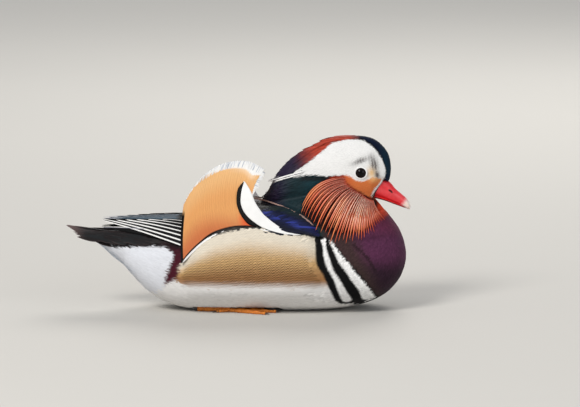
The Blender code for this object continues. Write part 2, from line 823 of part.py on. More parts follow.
def make_sickle(name, sink):
    """The pied scapular that curls up over the foot of the left sail."""
    columns, rows = 12, 3
    dense = smooth_rows(SICKLE_LINE, np.linspace(0, len(SICKLE_LINE) - 1, columns))
    inner, outer = [], []
    for i, (x, z, half) in enumerate(dense):
        ahead = dense[min(i + 1, columns - 1)][:2] - dense[max(i - 1, 0)][:2]
        across = np.array([-ahead[1], ahead[0]]) / np.linalg.norm(ahead)
        for j in range(rows):
            flat = np.array([x, z]) + across * half * (j - 1)
            side = sickle_side(flat[0], flat[1])
            depth = SICKLE_THICK * (0.5 if j != 1 else 1.0)
            inner.append((flat[0], side, flat[1]))
            outer.append((flat[0], side + depth, flat[1]))
    return slab(name, inner, outer, columns, rows)


def sickle_side(x, z):
    """How far out the inner face of the pied scapular lies."""
    base = np.interp(x, [p[0] for p in SAIL_SHAFT], [p[1] for p in SAIL_SHAFT])
    root = wing_surface(min(max(x, 0.0), 0.085), min(z, base))
    lean = SAIL_LEAN * max(0.0, z - base)
    return root + GAP * 2 + SHAFT_THICK + SAIL_THICK - lean


def make_ruff():
    """The hackles of the ruff on the left side, in two tiers."""
    hackles = []
    for k in range(RUFF_HACKLES):
        row = line_at(RUFF_ROWS, k / (RUFF_HACKLES - 1))
        lift = RUFF_LIFT[k % 2]
        path, outward = draped(row[:2], row[2:4], row[4:], 6, body_half_width, lift, 0.0025)
        hackles.append(vane("hackle", path, outward, RUFF_WIDTH, RUFF_THICK, HACKLE_SWELL))
    return hackles


def make_crest():
    """The locks of the crest on the left side, top to bottom."""
    locks = []
    for k in range(CREST_LOCKS):
        share = k / (CREST_LOCKS - 1)
        tip = line_at(CREST_TIPS, share)
        turn = math.radians(np.interp(share * 5, range(6), CREST_RUN_DEG))
        reach = CREST_LENGTH * (1 + 0.15 * math.sin(5 * k))
        root = tip + reach * np.array([math.cos(turn), math.sin(turn)])
        root[1] = min(root[1], HEAD.row_at(root[0])[3] - 0.0040)
        bow = (root + tip) / 2 + np.array([0.0, 0.0015])
        bow[1] = min(bow[1], HEAD.row_at(bow[0])[3] + 0.0005)
        path, outward = draped(root, bow, tip, 5, HEAD.half_width_at, 0.0012, 0.0024)
        path[-1] = (tip[0], 0.0012, tip[1])
        path[-2] = (path[-2][0], max(path[-2][1], 0.0035), path[-2][2])
        locks.append(vane("lock", path, outward, CREST_WIDTH, CREST_THICK, HACKLE_SWELL))
    return locks


def ball(name, centre, size, rings, sides):
    """An ellipsoid with its poles across the bird."""
    points, faces = [], []
    loops = []
    for i in range(rings + 1):
        turn = math.pi * i / rings
        start = len(points)
        if i in (0, rings):
            points.append((0, math.cos(turn), 0))
            loops.append([start] * sides)
            continue
        for k in range(sides):
            angle = 2 * math.pi * k / sides
            points.append((math.sin(turn) * math.cos(angle), math.cos(turn), math.sin(turn) * math.sin(angle)))
        loops.append(list(range(start, start + sides)))
    for a, b in zip(loops, loops[1:]):
        for k in range(sides):
            corner = [a[k], a[(k + 1) % sides], b[(k + 1) % sides], b[k]]
            faces.append(list(dict.fromkeys(corner)))
    placed = [np.array(centre) + np.array(p) * np.array(size) for p in points]
    return new_object(name, placed, faces)


def ring(name, centre, radius, thickness, steps=16, sides=5):
    """A torus whose axis runs across the bird."""
    points, faces = [], []
    for i in range(steps):
        turn = 2 * math.pi * i / steps
        for k in range(sides):
            angle = 2 * math.pi * k / sides
            reach = radius + thickness * math.cos(angle)
            points.append(
                (
                    centre[0] + reach * math.cos(turn),
                    centre[1] + thickness * math.sin(angle),
                    centre[2] + reach * math.sin(turn),
                )
            )
    for i in range(steps):
        for k in range(sides):
            a, b = i * sides, ((i + 1) % steps) * sides
            faces.append((a + k, a + (k + 1) % sides, b + (k + 1) % sides, b + k))
    return new_object(name, points, faces)


def tube(name, path, radii, sides):
    """A round limb along a path, flattened where it would pass the floor."""
    path = [Vector(p) for p in path]
    points, faces = [], []
    for i, place in enumerate(path):
        ahead = (path[min(i + 1, len(path) - 1)] - path[max(i - 1, 0)]).normalized()
        side = ahead.cross(Vector((0, 0, 1))).normalized()
        lift = side.cross(ahead)
        for k in range(sides):
            turn = 2 * math.pi * (k + 0.5) / sides
            spot = place + radii[i] * (side * math.cos(turn) + lift * math.sin(turn))
            points.append((spot.x, spot.y, max(spot.z, FLOOR)))
    for i in range(len(path) - 1):
        for k in range(sides):
            a, b = i * sides, (i + 1) * sides
            faces.append((a + k, a + (k + 1) % sides, b + (k + 1) % sides, b + k))
    faces += [tuple(range(sides)), tuple(range(len(points) - sides, len(points)))]
    return new_object(name, points, faces)


def make_leg():
    """The left shank, from the heel forward along the floor."""
    heel, root = Vector((*HEEL, SHANK_RADIUS)), Vector((*TOE_ROOT, SHANK_RADIUS))
    path = [heel.lerp(root, t) for t in (0.0, 0.12, 0.5, 0.9)]
    radii = [SHANK_RADIUS * r for r in (0.75, 1.15, 0.85, 0.95)]
    return tube("leg_left", path, radii, 10)


def foot_pieces():
    """The left foot's web, toes, hind toe and claws, web first."""
    root = Vector((*TOE_ROOT, TOE_RADIUS * 0.9))
    pieces = []
    for number, tip in enumerate((*TOE_TIPS, HIND_TOE_TIP)):
        reach = Vector((*tip, TOE_RADIUS * 0.7))
        thin = 0.7 if number == 3 else 1.0
        path = [root.lerp(reach, t) for t in (0.0, 0.36, 0.68, 1.0)]
        radii = [TOE_RADIUS * thin * s for s in (1.15, 1.0, 0.92, 0.6)]
        pieces.append(tube("toe", path, radii, 6))
        ahead = (reach - root).normalized()
        claw = [reach - ahead * 0.002, reach + ahead * CLAW_LENGTH]
        claw[1].z = CLAW_RADIUS * 0.6
        pieces.append(tube("claw", claw, [CLAW_RADIUS, CLAW_RADIUS * 0.25], 5))
    return [foot_outline("foot_left", 0.0, WEB_THICK), *pieces]


def foot_outline(name, grow, height):
    """A flat plate in the outline of the spread foot, swollen by grow."""
    root = Vector(TOE_ROOT)
    ahead = (Vector(TOE_TIPS[1]) - root).normalized()
    across = Vector((-ahead.y, ahead.x))
    inner = -1 if TOE_TIPS[0][1] < TOE_TIPS[2][1] else 1
    outline = [root - ahead * (0.003 + grow)]
    for k, tip in enumerate(TOE_TIPS):
        spread = across * inner * (1 - k) * grow
        outline.append(Vector(tip) + ahead * grow * 1.5 + spread)
        if k < 2:
            middle = (Vector(tip) + Vector(TOE_TIPS[k + 1])) / 2
            outline.append(root + (middle - root) * WEB_INSET + ahead * grow)
    points = [(p.x, p.y, z) for z in (FLOOR - grow, height) for p in outline]
    count = len(outline)
    fan = [(0, k, k + 1) for k in range(1, count - 1)]
    faces = fan + [tuple(k + count for k in tri) for tri in fan]
    faces += [(k, (k + 1) % count, count + (k + 1) % count, count + k) for k in range(count)]
    return new_object(name, points, faces)


def foot_recess():
    """What the left foot and shank take out of the belly, as three plain blocks."""
    wide = foot_outline("recess", 0.0060, 2 * TOE_RADIUS + 0.0012)
    heel, root, hind = Vector(HEEL), Vector(TOE_ROOT), Vector(HIND_TOE_TIP)
    blocks = [wide]
    for start, end, half, height in (
        (heel, root, SHANK_RADIUS * 1.3, 2.2 * SHANK_RADIUS + GAP),
        (hind, root, TOE_RADIUS * 1.2, 2 * TOE_RADIUS),
    ):
        ahead = (end - start).normalized()
        side = Vector((-ahead.y, ahead.x)) * half
        start, end = start - ahead * 0.0075, end + ahead * 0.0040
        corners = [start - side, end - side, end + side, start + side]
        points = [(p.x, p.y, z) for z in (-0.001, height) for p in corners]
        faces = [(3, 2, 1, 0), (4, 5, 6, 7)] + [(k, (k + 1) % 4, 4 + (k + 1) % 4, 4 + k) for k in range(4)]
        blocks.append(new_object("recess", points, faces))
    return blocks


def make_foot():
    """The left foot as one piece."""
    web, *pieces = foot_pieces()
    return keep_largest(join(web, pieces))


def paint(thing, colour, roughness=0.7, metallic=0.0):
    """Gives a piece its own plain material."""
    finish = bpy.data.materials.new(thing.name)
    finish.use_nodes = True
    shader = finish.node_tree.nodes["Principled BSDF"]
    shader.inputs["Base Color"].default_value = (*colour, 1.0)
    shader.inputs["Roughness"].default_value = roughness
    shader.inputs["Metallic"].default_value = metallic
    thing.data.materials.clear()
    thing.data.materials.append(finish)


COLOURS = {
    "torso": (0.16, 0.07, 0.10),
    "neck": (0.30, 0.10, 0.05),
    "head": (0.75, 0.70, 0.66),
    "bill_upper": (0.80, 0.08, 0.09),
    "bill_lower": (0.55, 0.05, 0.06),
    "bill_nail": (0.85, 0.62, 0.58),
    "eye": (0.01, 0.01, 0.01),
    "flank": (0.62, 0.48, 0.30),
    "wing": (0.02, 0.04, 0.12),
    "sail": (0.80, 0.33, 0.12),
    "scapular": (0.85, 0.85, 0.86),
    "tail": (0.05, 0.04, 0.04),
    "leg": (0.75, 0.40, 0.10),
    "foot": (0.75, 0.40, 0.10),
}
GLOSSY = ("eye", "bill")


def colour_pieces():
    """Colours every piece by the first part of its name."""
    for thing in bpy.context.scene.objects:
        kind = thing.name.rsplit("_left", 1)[0].rsplit("_right", 1)[0]
        roughness = 0.25 if kind.startswith(GLOSSY) else 0.7
        paint(thing, COLOURS[kind], roughness)
        thing.data.shade_smooth()
        thing.data.set_sharp_from_angle(angle=math.radians(40))


def make_bill():
    """The upper and lower bill and the nail, cut apart where they meet."""
    upper = Loft(UPPER_BILL_RIBS, BILL_WIDEST, BILL_ROUND, BILL_ROUND).mesh("bill_upper", 19, 14)
    lower = Loft(LOWER_BILL_RIBS, 0.6, BILL_ROUND, BILL_ROUND).mesh("bill_lower", 11, 10)
    root = (BILL_ROOT_LOW, BILL_ROOT_HIGH)
    subtract(upper, [half_space(*root, -1, -GAP)])
    subtract(lower, [half_space(*root, -1, -GAP)])
    subtract(lower, [grown(upper)])
    keep_largest(lower)
    nail = copy_of(upper, "bill_nail")
    subtract(upper, [half_space(NAIL_CUT_LOW, NAIL_CUT_HIGH, 1)])
    subtract(nail, [half_space(NAIL_CUT_LOW, NAIL_CUT_HIGH, -1, -GAP)])
    keep_largest(nail)
    x, z = NOSTRIL
    side = 0.0062
    pits = [ball("nostril", (x, side * s, z), NOSTRIL_SIZE, 6, 10) for s in (-1, 1)]
    return keep_largest(subtract(upper, pits)), lower


def make_head(clearance):
    """Neck and head, parted from each other, and clear of the pieces in clearance."""
    whole = NECK.mesh("neck", 11, 20)
    join(whole, [HEAD.mesh("skull", 25, 18)])
    clear(whole, clearance)
    head = copy_of(whole, "head")
    cut_rear, cut_front = (0.0, NECK_HEAD_CUT), (0.2, NECK_HEAD_CUT)
    subtract(whole, [half_space(cut_rear, cut_front, -1)])
    subtract(head, [half_space(cut_rear, cut_front, 1, -GAP)])
    return keep_largest(whole), keep_largest(head)


def dress_head(head, bill, clearance):
    """Adds ruff, crest, lids and eye sockets to the head, and cuts its face to the bill."""
    first, *rest = make_ruff() + make_crest()
    locks = join(first, rest)
    subtract(locks, [grown(piece, FEATHER_GAP) for piece in clearance], "MANIFOLD")
    x, z = EYE_CENTRE
    side = HEAD.half_width_at(x, z)
    pieces = [locks, mirrored(locks, "twin")]
    for s in (-1, 1):
        lid_side = side - EYE_DEPTH + math.sqrt(EYE_RADIUS**2 - LID_RADIUS**2)
        pieces.append(ring("lid", (x, s * lid_side, z), LID_RADIUS, LID_THICKNESS))
    join(head, pieces)
    sockets = []
    for s, name in ((-1, "eye_right"), (1, "eye_left")):
        centre = (x, s * (side - EYE_DEPTH), z)
        ball(name, centre, [EYE_RADIUS] * 3, 9, 14)
        sockets.append(ball("socket", centre, [EYE_RADIUS + GAP] * 3, 9, 14))
    subtract(head, sockets)
    return clear(head, bill)


def make_tail():
    """The tail: coverts as a core, the fan of quills, and coverts over their roots."""
    tail = TAIL_CORE.mesh("tail", 8, 16)
    subtract(tail, [block("root", (-0.1184 + GAP, -0.1, 0.0), (0.0, 0.1, 0.2))])
    feathers = []
    for k in range(TAIL_QUILLS):
        share = k / (TAIL_QUILLS - 1)
        root, tip = line_at(TAIL_ROOTS, share), line_at(TAIL_TIPS, share)
        drop = np.array([0.0, 0.0, -QUILL_STEP * k * 0.3])
        path = [root + (tip + drop - root) * t for t in np.linspace(0, 1, 5)]
        outward = [(0.1, 0.35 * share, 1.0)] * len(path)
        feathers.append(vane("quill", path, outward, TAIL_WIDTH, TAIL_THICK, BROAD_SWELL))
    for k in range(TAIL_COVERTS):
        x, share = -0.1330 - 0.0040 * (k % 2), (k + 0.5) / TAIL_COVERTS
        row = TAIL_CORE.row_at(x)
        z = row[1] + (row[3] - row[1]) * share
        root = np.array([x, TAIL_CORE.half_width_at(x, z) - 0.0010, z])
        end = np.array([x - COVERT_REACH, 0.0, z + 0.0060 * (1 - share) + 0.001])
        end[1] = TAIL_CORE.half_width_at(end[0], min(end[2], 0.0800)) + 0.0010
        path = [root + (end - root) * t for t in np.linspace(0, 1, 5)]
        outward = [(0, 1, 0)] * len(path)
        feathers.append(vane("covert", path, outward, TAIL_WIDTH * 0.7, TAIL_THICK, BROAD_SWELL))
    return keep_largest(join(tail, feathers + [mirrored(f, "twin") for f in feathers]))


def make_side(torso, name, sink):
    """The panels and raised feathers of one side, still on the left."""
    flank = make_flank()
    wing = clear(make_wing_panel(), [torso, flank])
    sail = clear(make_sail("sail", sink), [torso, flank, wing])
    scapular = clear(make_sickle("scapular", sink), [torso, flank, wing, sail])
    join(wing, hand_quills() + scapulars())
    clear(wing, [torso, flank, sail, scapular])
    side = {"flank": flank, "wing": wing, "sail": sail, "scapular": scapular}
    for kind, piece in side.items():
        piece.name = f"{kind}_{name}"
    return side


def main():
    """Builds every piece of the bird in its place."""
    clear_scene()
    torso = TRUNK.mesh("torso", 35, 26)
    left = make_side(torso, "left", LEFT_SAIL_SINK)
    spare = make_side(torso, "spare", 0.0)
    right = {kind: mirrored(piece, f"{kind}_right") for kind, piece in spare.items()}
    remove(spare.values())
    leg, foot = make_leg(), make_foot()
    clear(leg, [foot])
    mirrored(leg, "leg_right")
    mirrored(foot, "foot_right")
    around = [torso, *left.values(), *right.values()]
    neck, head = make_head(around)
    bill = make_bill()
    dress_head(head, bill, [neck, *around])
    clear(neck, [bill[1]])
    make_tail()
    recess = foot_recess()
    subtract(torso, recess + [mirrored(t, "twin") for t in recess])
    keep_largest(torso)
    colour_pieces()


main()
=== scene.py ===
"""The looks of a life-size drake mandarin duck that sits on its belly.

Metres, +X to the bill, +Y to the bird's left, +Z up. The body is one skin under a coat of small
feathers; the ruff, crest, wings, sails and tail are feathers of their own. Markings are drawn on the
side plate: x and height, in millimetres, as the bird is seen from its side and from slightly above.
"""

import json
import logging
import math
from collections.abc import Callable
from dataclasses import dataclass, field
from enum import Enum

import bmesh
import bpy
import numpy as np
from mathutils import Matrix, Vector
from mathutils.bvhtree import BVHTree

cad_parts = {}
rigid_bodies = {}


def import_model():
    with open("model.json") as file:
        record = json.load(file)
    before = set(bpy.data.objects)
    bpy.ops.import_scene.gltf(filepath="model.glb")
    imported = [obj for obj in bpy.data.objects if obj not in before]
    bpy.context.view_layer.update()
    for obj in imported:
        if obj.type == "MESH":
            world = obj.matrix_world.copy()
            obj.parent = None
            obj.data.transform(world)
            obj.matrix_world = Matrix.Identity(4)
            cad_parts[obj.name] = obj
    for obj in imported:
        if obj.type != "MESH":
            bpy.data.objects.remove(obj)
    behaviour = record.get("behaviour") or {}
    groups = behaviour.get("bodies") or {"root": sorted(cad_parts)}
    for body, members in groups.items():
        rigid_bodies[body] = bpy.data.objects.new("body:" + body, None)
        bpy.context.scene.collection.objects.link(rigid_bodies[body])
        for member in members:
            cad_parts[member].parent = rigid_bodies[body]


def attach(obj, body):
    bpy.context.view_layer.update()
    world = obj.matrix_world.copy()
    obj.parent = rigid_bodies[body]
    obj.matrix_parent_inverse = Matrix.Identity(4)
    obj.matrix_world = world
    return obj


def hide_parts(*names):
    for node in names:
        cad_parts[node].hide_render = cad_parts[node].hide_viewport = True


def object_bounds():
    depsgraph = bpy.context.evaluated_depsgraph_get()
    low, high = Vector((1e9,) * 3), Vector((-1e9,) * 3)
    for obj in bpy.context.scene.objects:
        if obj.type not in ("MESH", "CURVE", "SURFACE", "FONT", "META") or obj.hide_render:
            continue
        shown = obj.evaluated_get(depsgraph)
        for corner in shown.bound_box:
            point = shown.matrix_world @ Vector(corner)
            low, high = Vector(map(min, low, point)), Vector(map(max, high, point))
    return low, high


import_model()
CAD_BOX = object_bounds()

Array = np.ndarray
Rng = np.random.Generator
Thing = bpy.types.Object
Node = bpy.types.Node
Knots = tuple[tuple[float, ...], ...]
Painter = Callable[[Array, Array, Array, Array], Array]

LOG = logging.getLogger("duck")
BODY = "root"
MM = 0.001
PLATE_TILT = math.tan(math.radians(8.0))  # the side plate is seen from 8 degrees above
FLOOR = 0.0002
UV_PATCH = 0.003
SIDES = (("right", -1.0), ("left", 1.0))


# Smooth lines and tones


def smooth_rows(rows: Array | Knots, places: Array) -> Array:
    """Reads a Catmull-Rom line through rows of numbers.

    Args:
        rows: the rows that the line passes.
        places: where to read it, counted in rows.

    Returns:
        One row of values for each place.
    """
    rows = np.asarray(rows, float)
    places = np.clip(np.asarray(places, float), 0, len(rows) - 1)
    first = np.minimum(places.astype(int), len(rows) - 2)
    t = (places - first)[:, None]
    before = rows[np.maximum(first - 1, 0)]
    start, end = rows[first], rows[first + 1]
    after = rows[np.minimum(first + 2, len(rows) - 1)]
    return 0.5 * (2 * start + (end - before) * t + (2 * before - 5 * start + 4 * end - after) * t**2
        + (3 * start - before - 3 * end + after) * t**3)


def along(rows: Array | Knots, shares: Array) -> Array:
    """Reads a smooth line at shares of its rows, 0 at its start and 1 at its end."""
    return smooth_rows(rows, np.asarray(shares, float) * (len(rows) - 1))


def tone(red: float, green: float, blue: float) -> Array:
    """Turns a screen tone of 0 to 255 into linear light."""
    screen = np.array([red, green, blue], float) / 255
    return np.where(screen <= 0.04045, screen / 12.92, ((screen + 0.055) / 1.055) ** 2.4)


def ramp(low: float, high: float, value: Array) -> Array:
    """Climbs smoothly from 0 at low to 1 at high."""
    t = np.clip((np.asarray(value, float) - low) / (high - low), 0, 1)
    return t * t * (3 - 2 * t)


def unit(vectors: Array) -> Array:
    """Scales vectors to length one."""
    return vectors / np.maximum(np.linalg.norm(vectors, axis=-1, keepdims=True), 1e-12)


def mix(first: Array, second: Array, share: Array) -> Array:
    """Blends two sets of tones, share being how much of the second there is."""
    share = np.asarray(share, float)[..., None]
    return first * (1 - share) + second * share


def layered(base: Array, *layers: tuple[Array, Array]) -> Array:
    """Lays tones over a base in their order, each with its own share.

    Args:
        base: the lowest tone.
        *layers: each layer's tones and shares.

    Returns:
        Linear tones, one row for each point.
    """
    for tones, share in layers:
        base = mix(base, tones, share)
    return base


def plate(points: Array) -> Array:
    """Moves points onto the side plate, as x and height in millimetres."""
    rise = points[..., 2] - np.abs(points[..., 1]) * PLATE_TILT
    return np.stack([points[..., 0], rise], -1) / MM


def line_distance(spots: Array, line: Array) -> Array:
    """Measures how far spots lie from an open line, in the line's own units.

    Args:
        spots: places, one row each.
        line: the corners of the line.

    Returns:
        One distance for each spot.
    """
    best = np.full(len(spots), 1e9)
    for start, end in zip(line, line[1:]):
        run = end - start
        share = np.clip(((spots - start) @ run) / max(run @ run, 1e-12), 0, 1)
        best = np.minimum(best, ((spots - start - share[:, None] * run) ** 2).sum(1))
    return np.sqrt(best)


@dataclass(frozen=True)
class Outline:
    """A closed marking on the side plate, smooth through its knots."""

    knots: Knots
    steps: int = 3

    def line(self) -> Array:
        """Samples the closed line.

        Returns:
            Its points, the first one again at the end.
        """
        count = len(self.knots)
        rows = [self.knots[k % count] for k in range(-2, count + 3)]
        return smooth_rows(rows, np.linspace(2, count + 2, count * self.steps + 1))

    def mask(self, spots: Array, soft: float = 0.5) -> Array:
        """Tells how far spots are inside.

        Args:
            spots: points of the side plate.
            soft: width of the blend across the edge, in millimetres.

        Returns:
            1 inside, 0 outside, and between them at the edge.
        """
        line = self.line()
        result = np.zeros(len(spots))
        low, high = line.min(0) - soft, line.max(0) + soft
        near = np.flatnonzero(((spots > low) & (spots < high)).all(1))
        if len(near) == 0:
            return result
        part = spots[near]
        inside = np.zeros(len(part), bool)
        for (x0, z0), (x1, z1) in zip(line, line[1:]):
            if z0 != z1:
                crosses = (part[:, 1] < z0) != (part[:, 1] < z1)
                inside ^= crosses & (part[:, 0] < x0 + (x1 - x0) * (part[:, 1] - z0) / (z1 - z0))
        away = line_distance(part, line) * np.where(inside, 1, -1)
        result[near] = ramp(-soft, soft, away)
        return result


@dataclass(frozen=True)
class Loft:
    """A body skinned over oval ribs that stand across the bird's plane of symmetry.

    Each rib is low x, low z, high x, high z and half width.
    """

    ribs: Knots
    widest: float  # where its widest point is, as a share of the way up
    high_round: float
    low_round: float

    def grid(self, rings: int, sides: int) -> Array:
        """Lays out rings of points; angle 0 is the widest point on the left, 90 degrees the top.

        Args:
            rings: how many rings.
            sides: how many points each ring has.

        Returns:
            Rings by sides by x, y and z.
        """
        rows = smooth_rows(self.ribs, np.linspace(0, len(self.ribs) - 1, rings))
        turns = np.linspace(0, 2 * math.pi, sides, endpoint=False)
        low, high, half = rows[:, :2], rows[:, 2:4], np.maximum(rows[:, 4], 1e-5)
        middle = low + self.widest * (high - low)
        rise, reach = np.sin(turns), np.cos(turns)
        exponent = 2 / np.where(rise >= 0, self.high_round, self.low_round)
        up = (np.sign(rise) * np.abs(rise) ** exponent)[None, :, None]
        flat = middle[:, None] + np.where(up >= 0, up * (high - middle)[:, None],
            up * (middle - low)[:, None])
        side = half[:, None] * (np.sign(reach) * np.abs(reach) ** exponent)[None]
        return np.stack([flat[..., 0], side, flat[..., 1]], -1)

    def table(self, key: int) -> Array:
        """Lists the ribs densely, in order of one of their numbers."""
        dense = smooth_rows(self.ribs, np.linspace(0, len(self.ribs) - 1, 600))
        return dense[np.argsort(dense[:, key])]

    def half_width(self, x: Array, z: Array) -> Array:
        """Reads how far out the surface of an upright loft is, or 0 past it.

        Args:
            x: how far ahead.
            z: how high.

        Returns:
            The distance from the bird's middle.
        """
        table = self.table(0)
        low, high, half = (np.interp(x, table[:, 0], table[:, k]) for k in (1, 3, 4))
        return self.oval(z, low, high, half)

    def level_half_width(self, x: Array, z: Array) -> Array:
        """Reads how far out the surface of a level loft is, or 0 past it.

        Args:
            x: how far ahead.
            z: how high.

        Returns:
            The distance from the bird's middle.
        """
        table = self.table(1)
        rear, front, half = (np.interp(z, table[:, 1], table[:, k]) for k in (0, 2, 4))
        held = (z >= table[0, 1]) & (z <= table[-1, 1])
        return np.where(held, self.oval(x, rear, front, half), 0.0)

    def oval(self, place: Array, low: Array, high: Array, half: Array) -> Array:
        """Reads an oval's half width at a place between its low and high end.

        Args:
            place: where to read it.
            low: its low end.
            high: its high end.
            half: its half width at the widest.

        Returns:
            The half width there, 0 past the ends.
        """
        middle = low + self.widest * (high - low)
        reach = np.where(place >= middle, high - middle, middle - low)
        kind = np.where(place >= middle, self.high_round, self.low_round)
        share = np.minimum(np.abs(place - middle) / np.maximum(reach, 1e-9), 1)
        return half * (1 - share**kind) ** (1 / kind)


def upright(ribs: Knots) -> Knots:
    """Turns ribs of x, low z, high z and half width into the form that Loft reads."""
    return tuple((x, low, x, high, half) for x, low, high, half in ribs)


def level(ribs: Knots) -> Knots:
    """Turns ribs of z, rear x, front x and half width into the form that Loft reads."""
    return tuple((rear, z, front, z, half) for z, rear, front, half in ribs)


# The forms of the bird, the same as those of its solids

TRUNK = Loft(upright(((0.1775, 0.056, 0.056, 0.0), (0.177, 0.05, 0.062, 0.008),
    (0.175, 0.042, 0.0725, 0.018), (0.1705, 0.032, 0.0822, 0.029), (0.164, 0.0235, 0.0878, 0.0375),
    (0.155, 0.0155, 0.092, 0.0445), (0.142, 0.0085, 0.095, 0.0505), (0.124, 0.003, 0.1005, 0.055),
    (0.1, -0.0005, 0.105, 0.058), (0.07, -0.002, 0.109, 0.06), (0.04, -0.002, 0.1115, 0.0605),
    (0.01, -0.002, 0.1105, 0.0595), (-0.02, -0.002, 0.1065, 0.057), (-0.05, -0.0005, 0.1005, 0.052),
    (-0.075, 0.006, 0.0945, 0.045), (-0.095, 0.018, 0.0895, 0.0375), (-0.11, 0.0335, 0.086, 0.0315),
    (-0.118, 0.0425, 0.0843, 0.028))), widest=0.44, high_round=2.0, low_round=2.5)
NECK = Loft(level(((0.08, 0.02, 0.1722, 0.048), (0.085, 0.0205, 0.1697, 0.0465),
    (0.095, 0.022, 0.1625, 0.042), (0.105, 0.024, 0.1546, 0.036), (0.113, 0.03, 0.1478, 0.0305),
    (0.122, 0.048, 0.1395, 0.0225), (0.13, 0.07, 0.128, 0.012))), widest=0.62, high_round=2.2,
    low_round=1.7)
HEAD = Loft(upright(((0.1612, 0.148, 0.148, 0.0), (0.1606, 0.14, 0.1545, 0.0048),
    (0.159, 0.134, 0.1612, 0.008), (0.1566, 0.129, 0.1662, 0.0106), (0.153, 0.124, 0.171, 0.0132),
    (0.148, 0.1185, 0.1758, 0.0155), (0.142, 0.1145, 0.1795, 0.0174), (0.135, 0.1125, 0.1816, 0.019),
    (0.126, 0.112, 0.1826, 0.0205), (0.1124, 0.11, 0.1828, 0.0215), (0.0998, 0.108, 0.1813, 0.0215),
    (0.084, 0.106, 0.1738, 0.0205), (0.0651, 0.104, 0.1638, 0.0185), (0.0494, 0.104, 0.1506, 0.0155),
    (0.0389, 0.106, 0.1386, 0.013), (0.0315, 0.109, 0.1244, 0.0095), (0.0262, 0.112, 0.1165, 0.005),
    (0.0235, 0.114, 0.114, 0.0))), widest=0.45, high_round=2.1, low_round=2.1)
TAIL_CORE = Loft(upright(((-0.108, 0.033, 0.086, 0.03), (-0.118, 0.043, 0.084, 0.0275),
    (-0.13, 0.052, 0.0825, 0.023), (-0.142, 0.0635, 0.082, 0.018), (-0.153, 0.0715, 0.082, 0.013),
    (-0.16, 0.076, 0.0815, 0.006))), widest=0.6, high_round=2.0, low_round=2.0)
FLANK_EDGE = ((-0.06, 0.053), (-0.0504, 0.0636), (-0.0399, 0.0734), (-0.0263, 0.0834), (-0.0084, 0.0892),
    (0.0074, 0.0908), (0.0252, 0.0897), (0.0441, 0.0865), (0.0651, 0.0839), (0.086, 0.078))
FLANK_COVER = 0.0052  # how far the flank's feathers stand over the trunk
WING_COVER = 0.004
PANEL_REAR, PANEL_FRONT = -0.061, 0.088  # how far back and forward flank and wing reach
WING_TOP_Y = 0.015  # how near the bird's middle the wing's cover starts


def flank_height(x: Array) -> Array:
    """Reads the height of the flank's upper edge."""
    dense = along(FLANK_EDGE, np.linspace(0, 1, 200))
    return np.interp(x, dense[:, 0], dense[:, 1])


def cover(points: Array) -> Array:
    """Tells how far the folded wing and the flank stand over the bare trunk.

    Args:
        points: places in the bird's frame, one row each.

    Returns:
        How far each point is raised.
    """
    x, y, z = points[..., 0], np.abs(points[..., 1]), points[..., 2]
    span = ramp(PANEL_REAR - 0.004, PANEL_REAR + 0.016, x)
    span = span * ramp(PANEL_FRONT + 0.004, PANEL_FRONT - 0.022, x)
    edge = flank_height(x)
    flank = ramp(edge + 0.0012, edge - 0.0012, z) * ramp(0.008, 0.03, z)
    wing = (1 - ramp(edge + 0.0012, edge - 0.0012, z)) * ramp(WING_TOP_Y - 0.004, WING_TOP_Y + 0.006, y)
    lip = 0.0009 * np.exp(-(((z - edge + 0.004) / 0.005) ** 2))
    return span * (flank * (FLANK_COVER + lip) + wing * WING_COVER)


def body_half_width(x: Array, z: Array) -> Array:
    """Reads how far out the head, neck or covered trunk is at a place of the side view.

    Args:
        x: how far ahead.
        z: how high.

    Returns:
        The distance from the bird's middle.
    """
    trunk = TRUNK.half_width(x, z)
    covered = np.clip((0.09 - x) / 0.012, 0, 1) * WING_COVER
    trunk = np.where(trunk > WING_TOP_Y, trunk + covered, trunk)
    return np.maximum(np.maximum(trunk, NECK.level_half_width(x, z)), HEAD.half_width(x, z))


def wing_surface(x: Array, z: Array) -> Array:
    """Reads how far out the folded wing's outer face is."""
    return TRUNK.half_width(x, z) + WING_COVER


def outermost(x: Array, z: Array) -> Array:
    """Reads how far out the body or the folded wing on it is."""
    return np.maximum(wing_surface(x, z), body_half_width(x, z))


# Meshes


def mesh_object(name: str, points: Array, faces: list[Array]) -> Thing:
    """Makes a smooth-shaded mesh.

    Args:
        name: the object's name.
        points: its corners, one row each.
        faces: blocks of faces, each an array of equal-sided faces.

    Returns:
        The new object, linked to the scene.
    """
    mesh = bpy.data.meshes.new(name)
    mesh.vertices.add(len(points))
    mesh.vertices.foreach_set("co", np.asarray(points, np.float32).ravel())
    loops = np.concatenate([np.asarray(block, np.int32).ravel() for block in faces])
    sizes = np.concatenate([np.full(len(block), np.asarray(block).shape[1], np.int32) for block in faces])
    starts = np.concatenate([[0], np.cumsum(sizes)[:-1]]).astype(np.int32)
    mesh.loops.add(len(loops))
    mesh.loops.foreach_set("vertex_index", loops)
    mesh.polygons.add(len(sizes))
    mesh.polygons.foreach_set("loop_start", starts)
    mesh.update(calc_edges=True)
    mesh.shade_smooth()
    made = bpy.data.objects.new(name, mesh)
    bpy.context.scene.collection.objects.link(made)
    return made


def fetched(items: object, key: str, width: int, kind: type = np.float32) -> Array:
    """Reads a property of every item of a mesh's list.

    Args:
        items: the mesh's points, faces, corners or places.
        key: the property's name.
        width: how many numbers each item has.
        kind: the type of the numbers.

    Returns:
        One row for each item, or one number where the width is 1.
    """
    flat = np.empty(len(items) * width, kind)
    items.foreach_get(key, flat)
    return flat.reshape(-1, width) if width > 1 else flat


def points_of(thing: Thing) -> Array:
    """Reads a mesh's points."""
    return fetched(thing.data.vertices, "co", 3).astype(float)


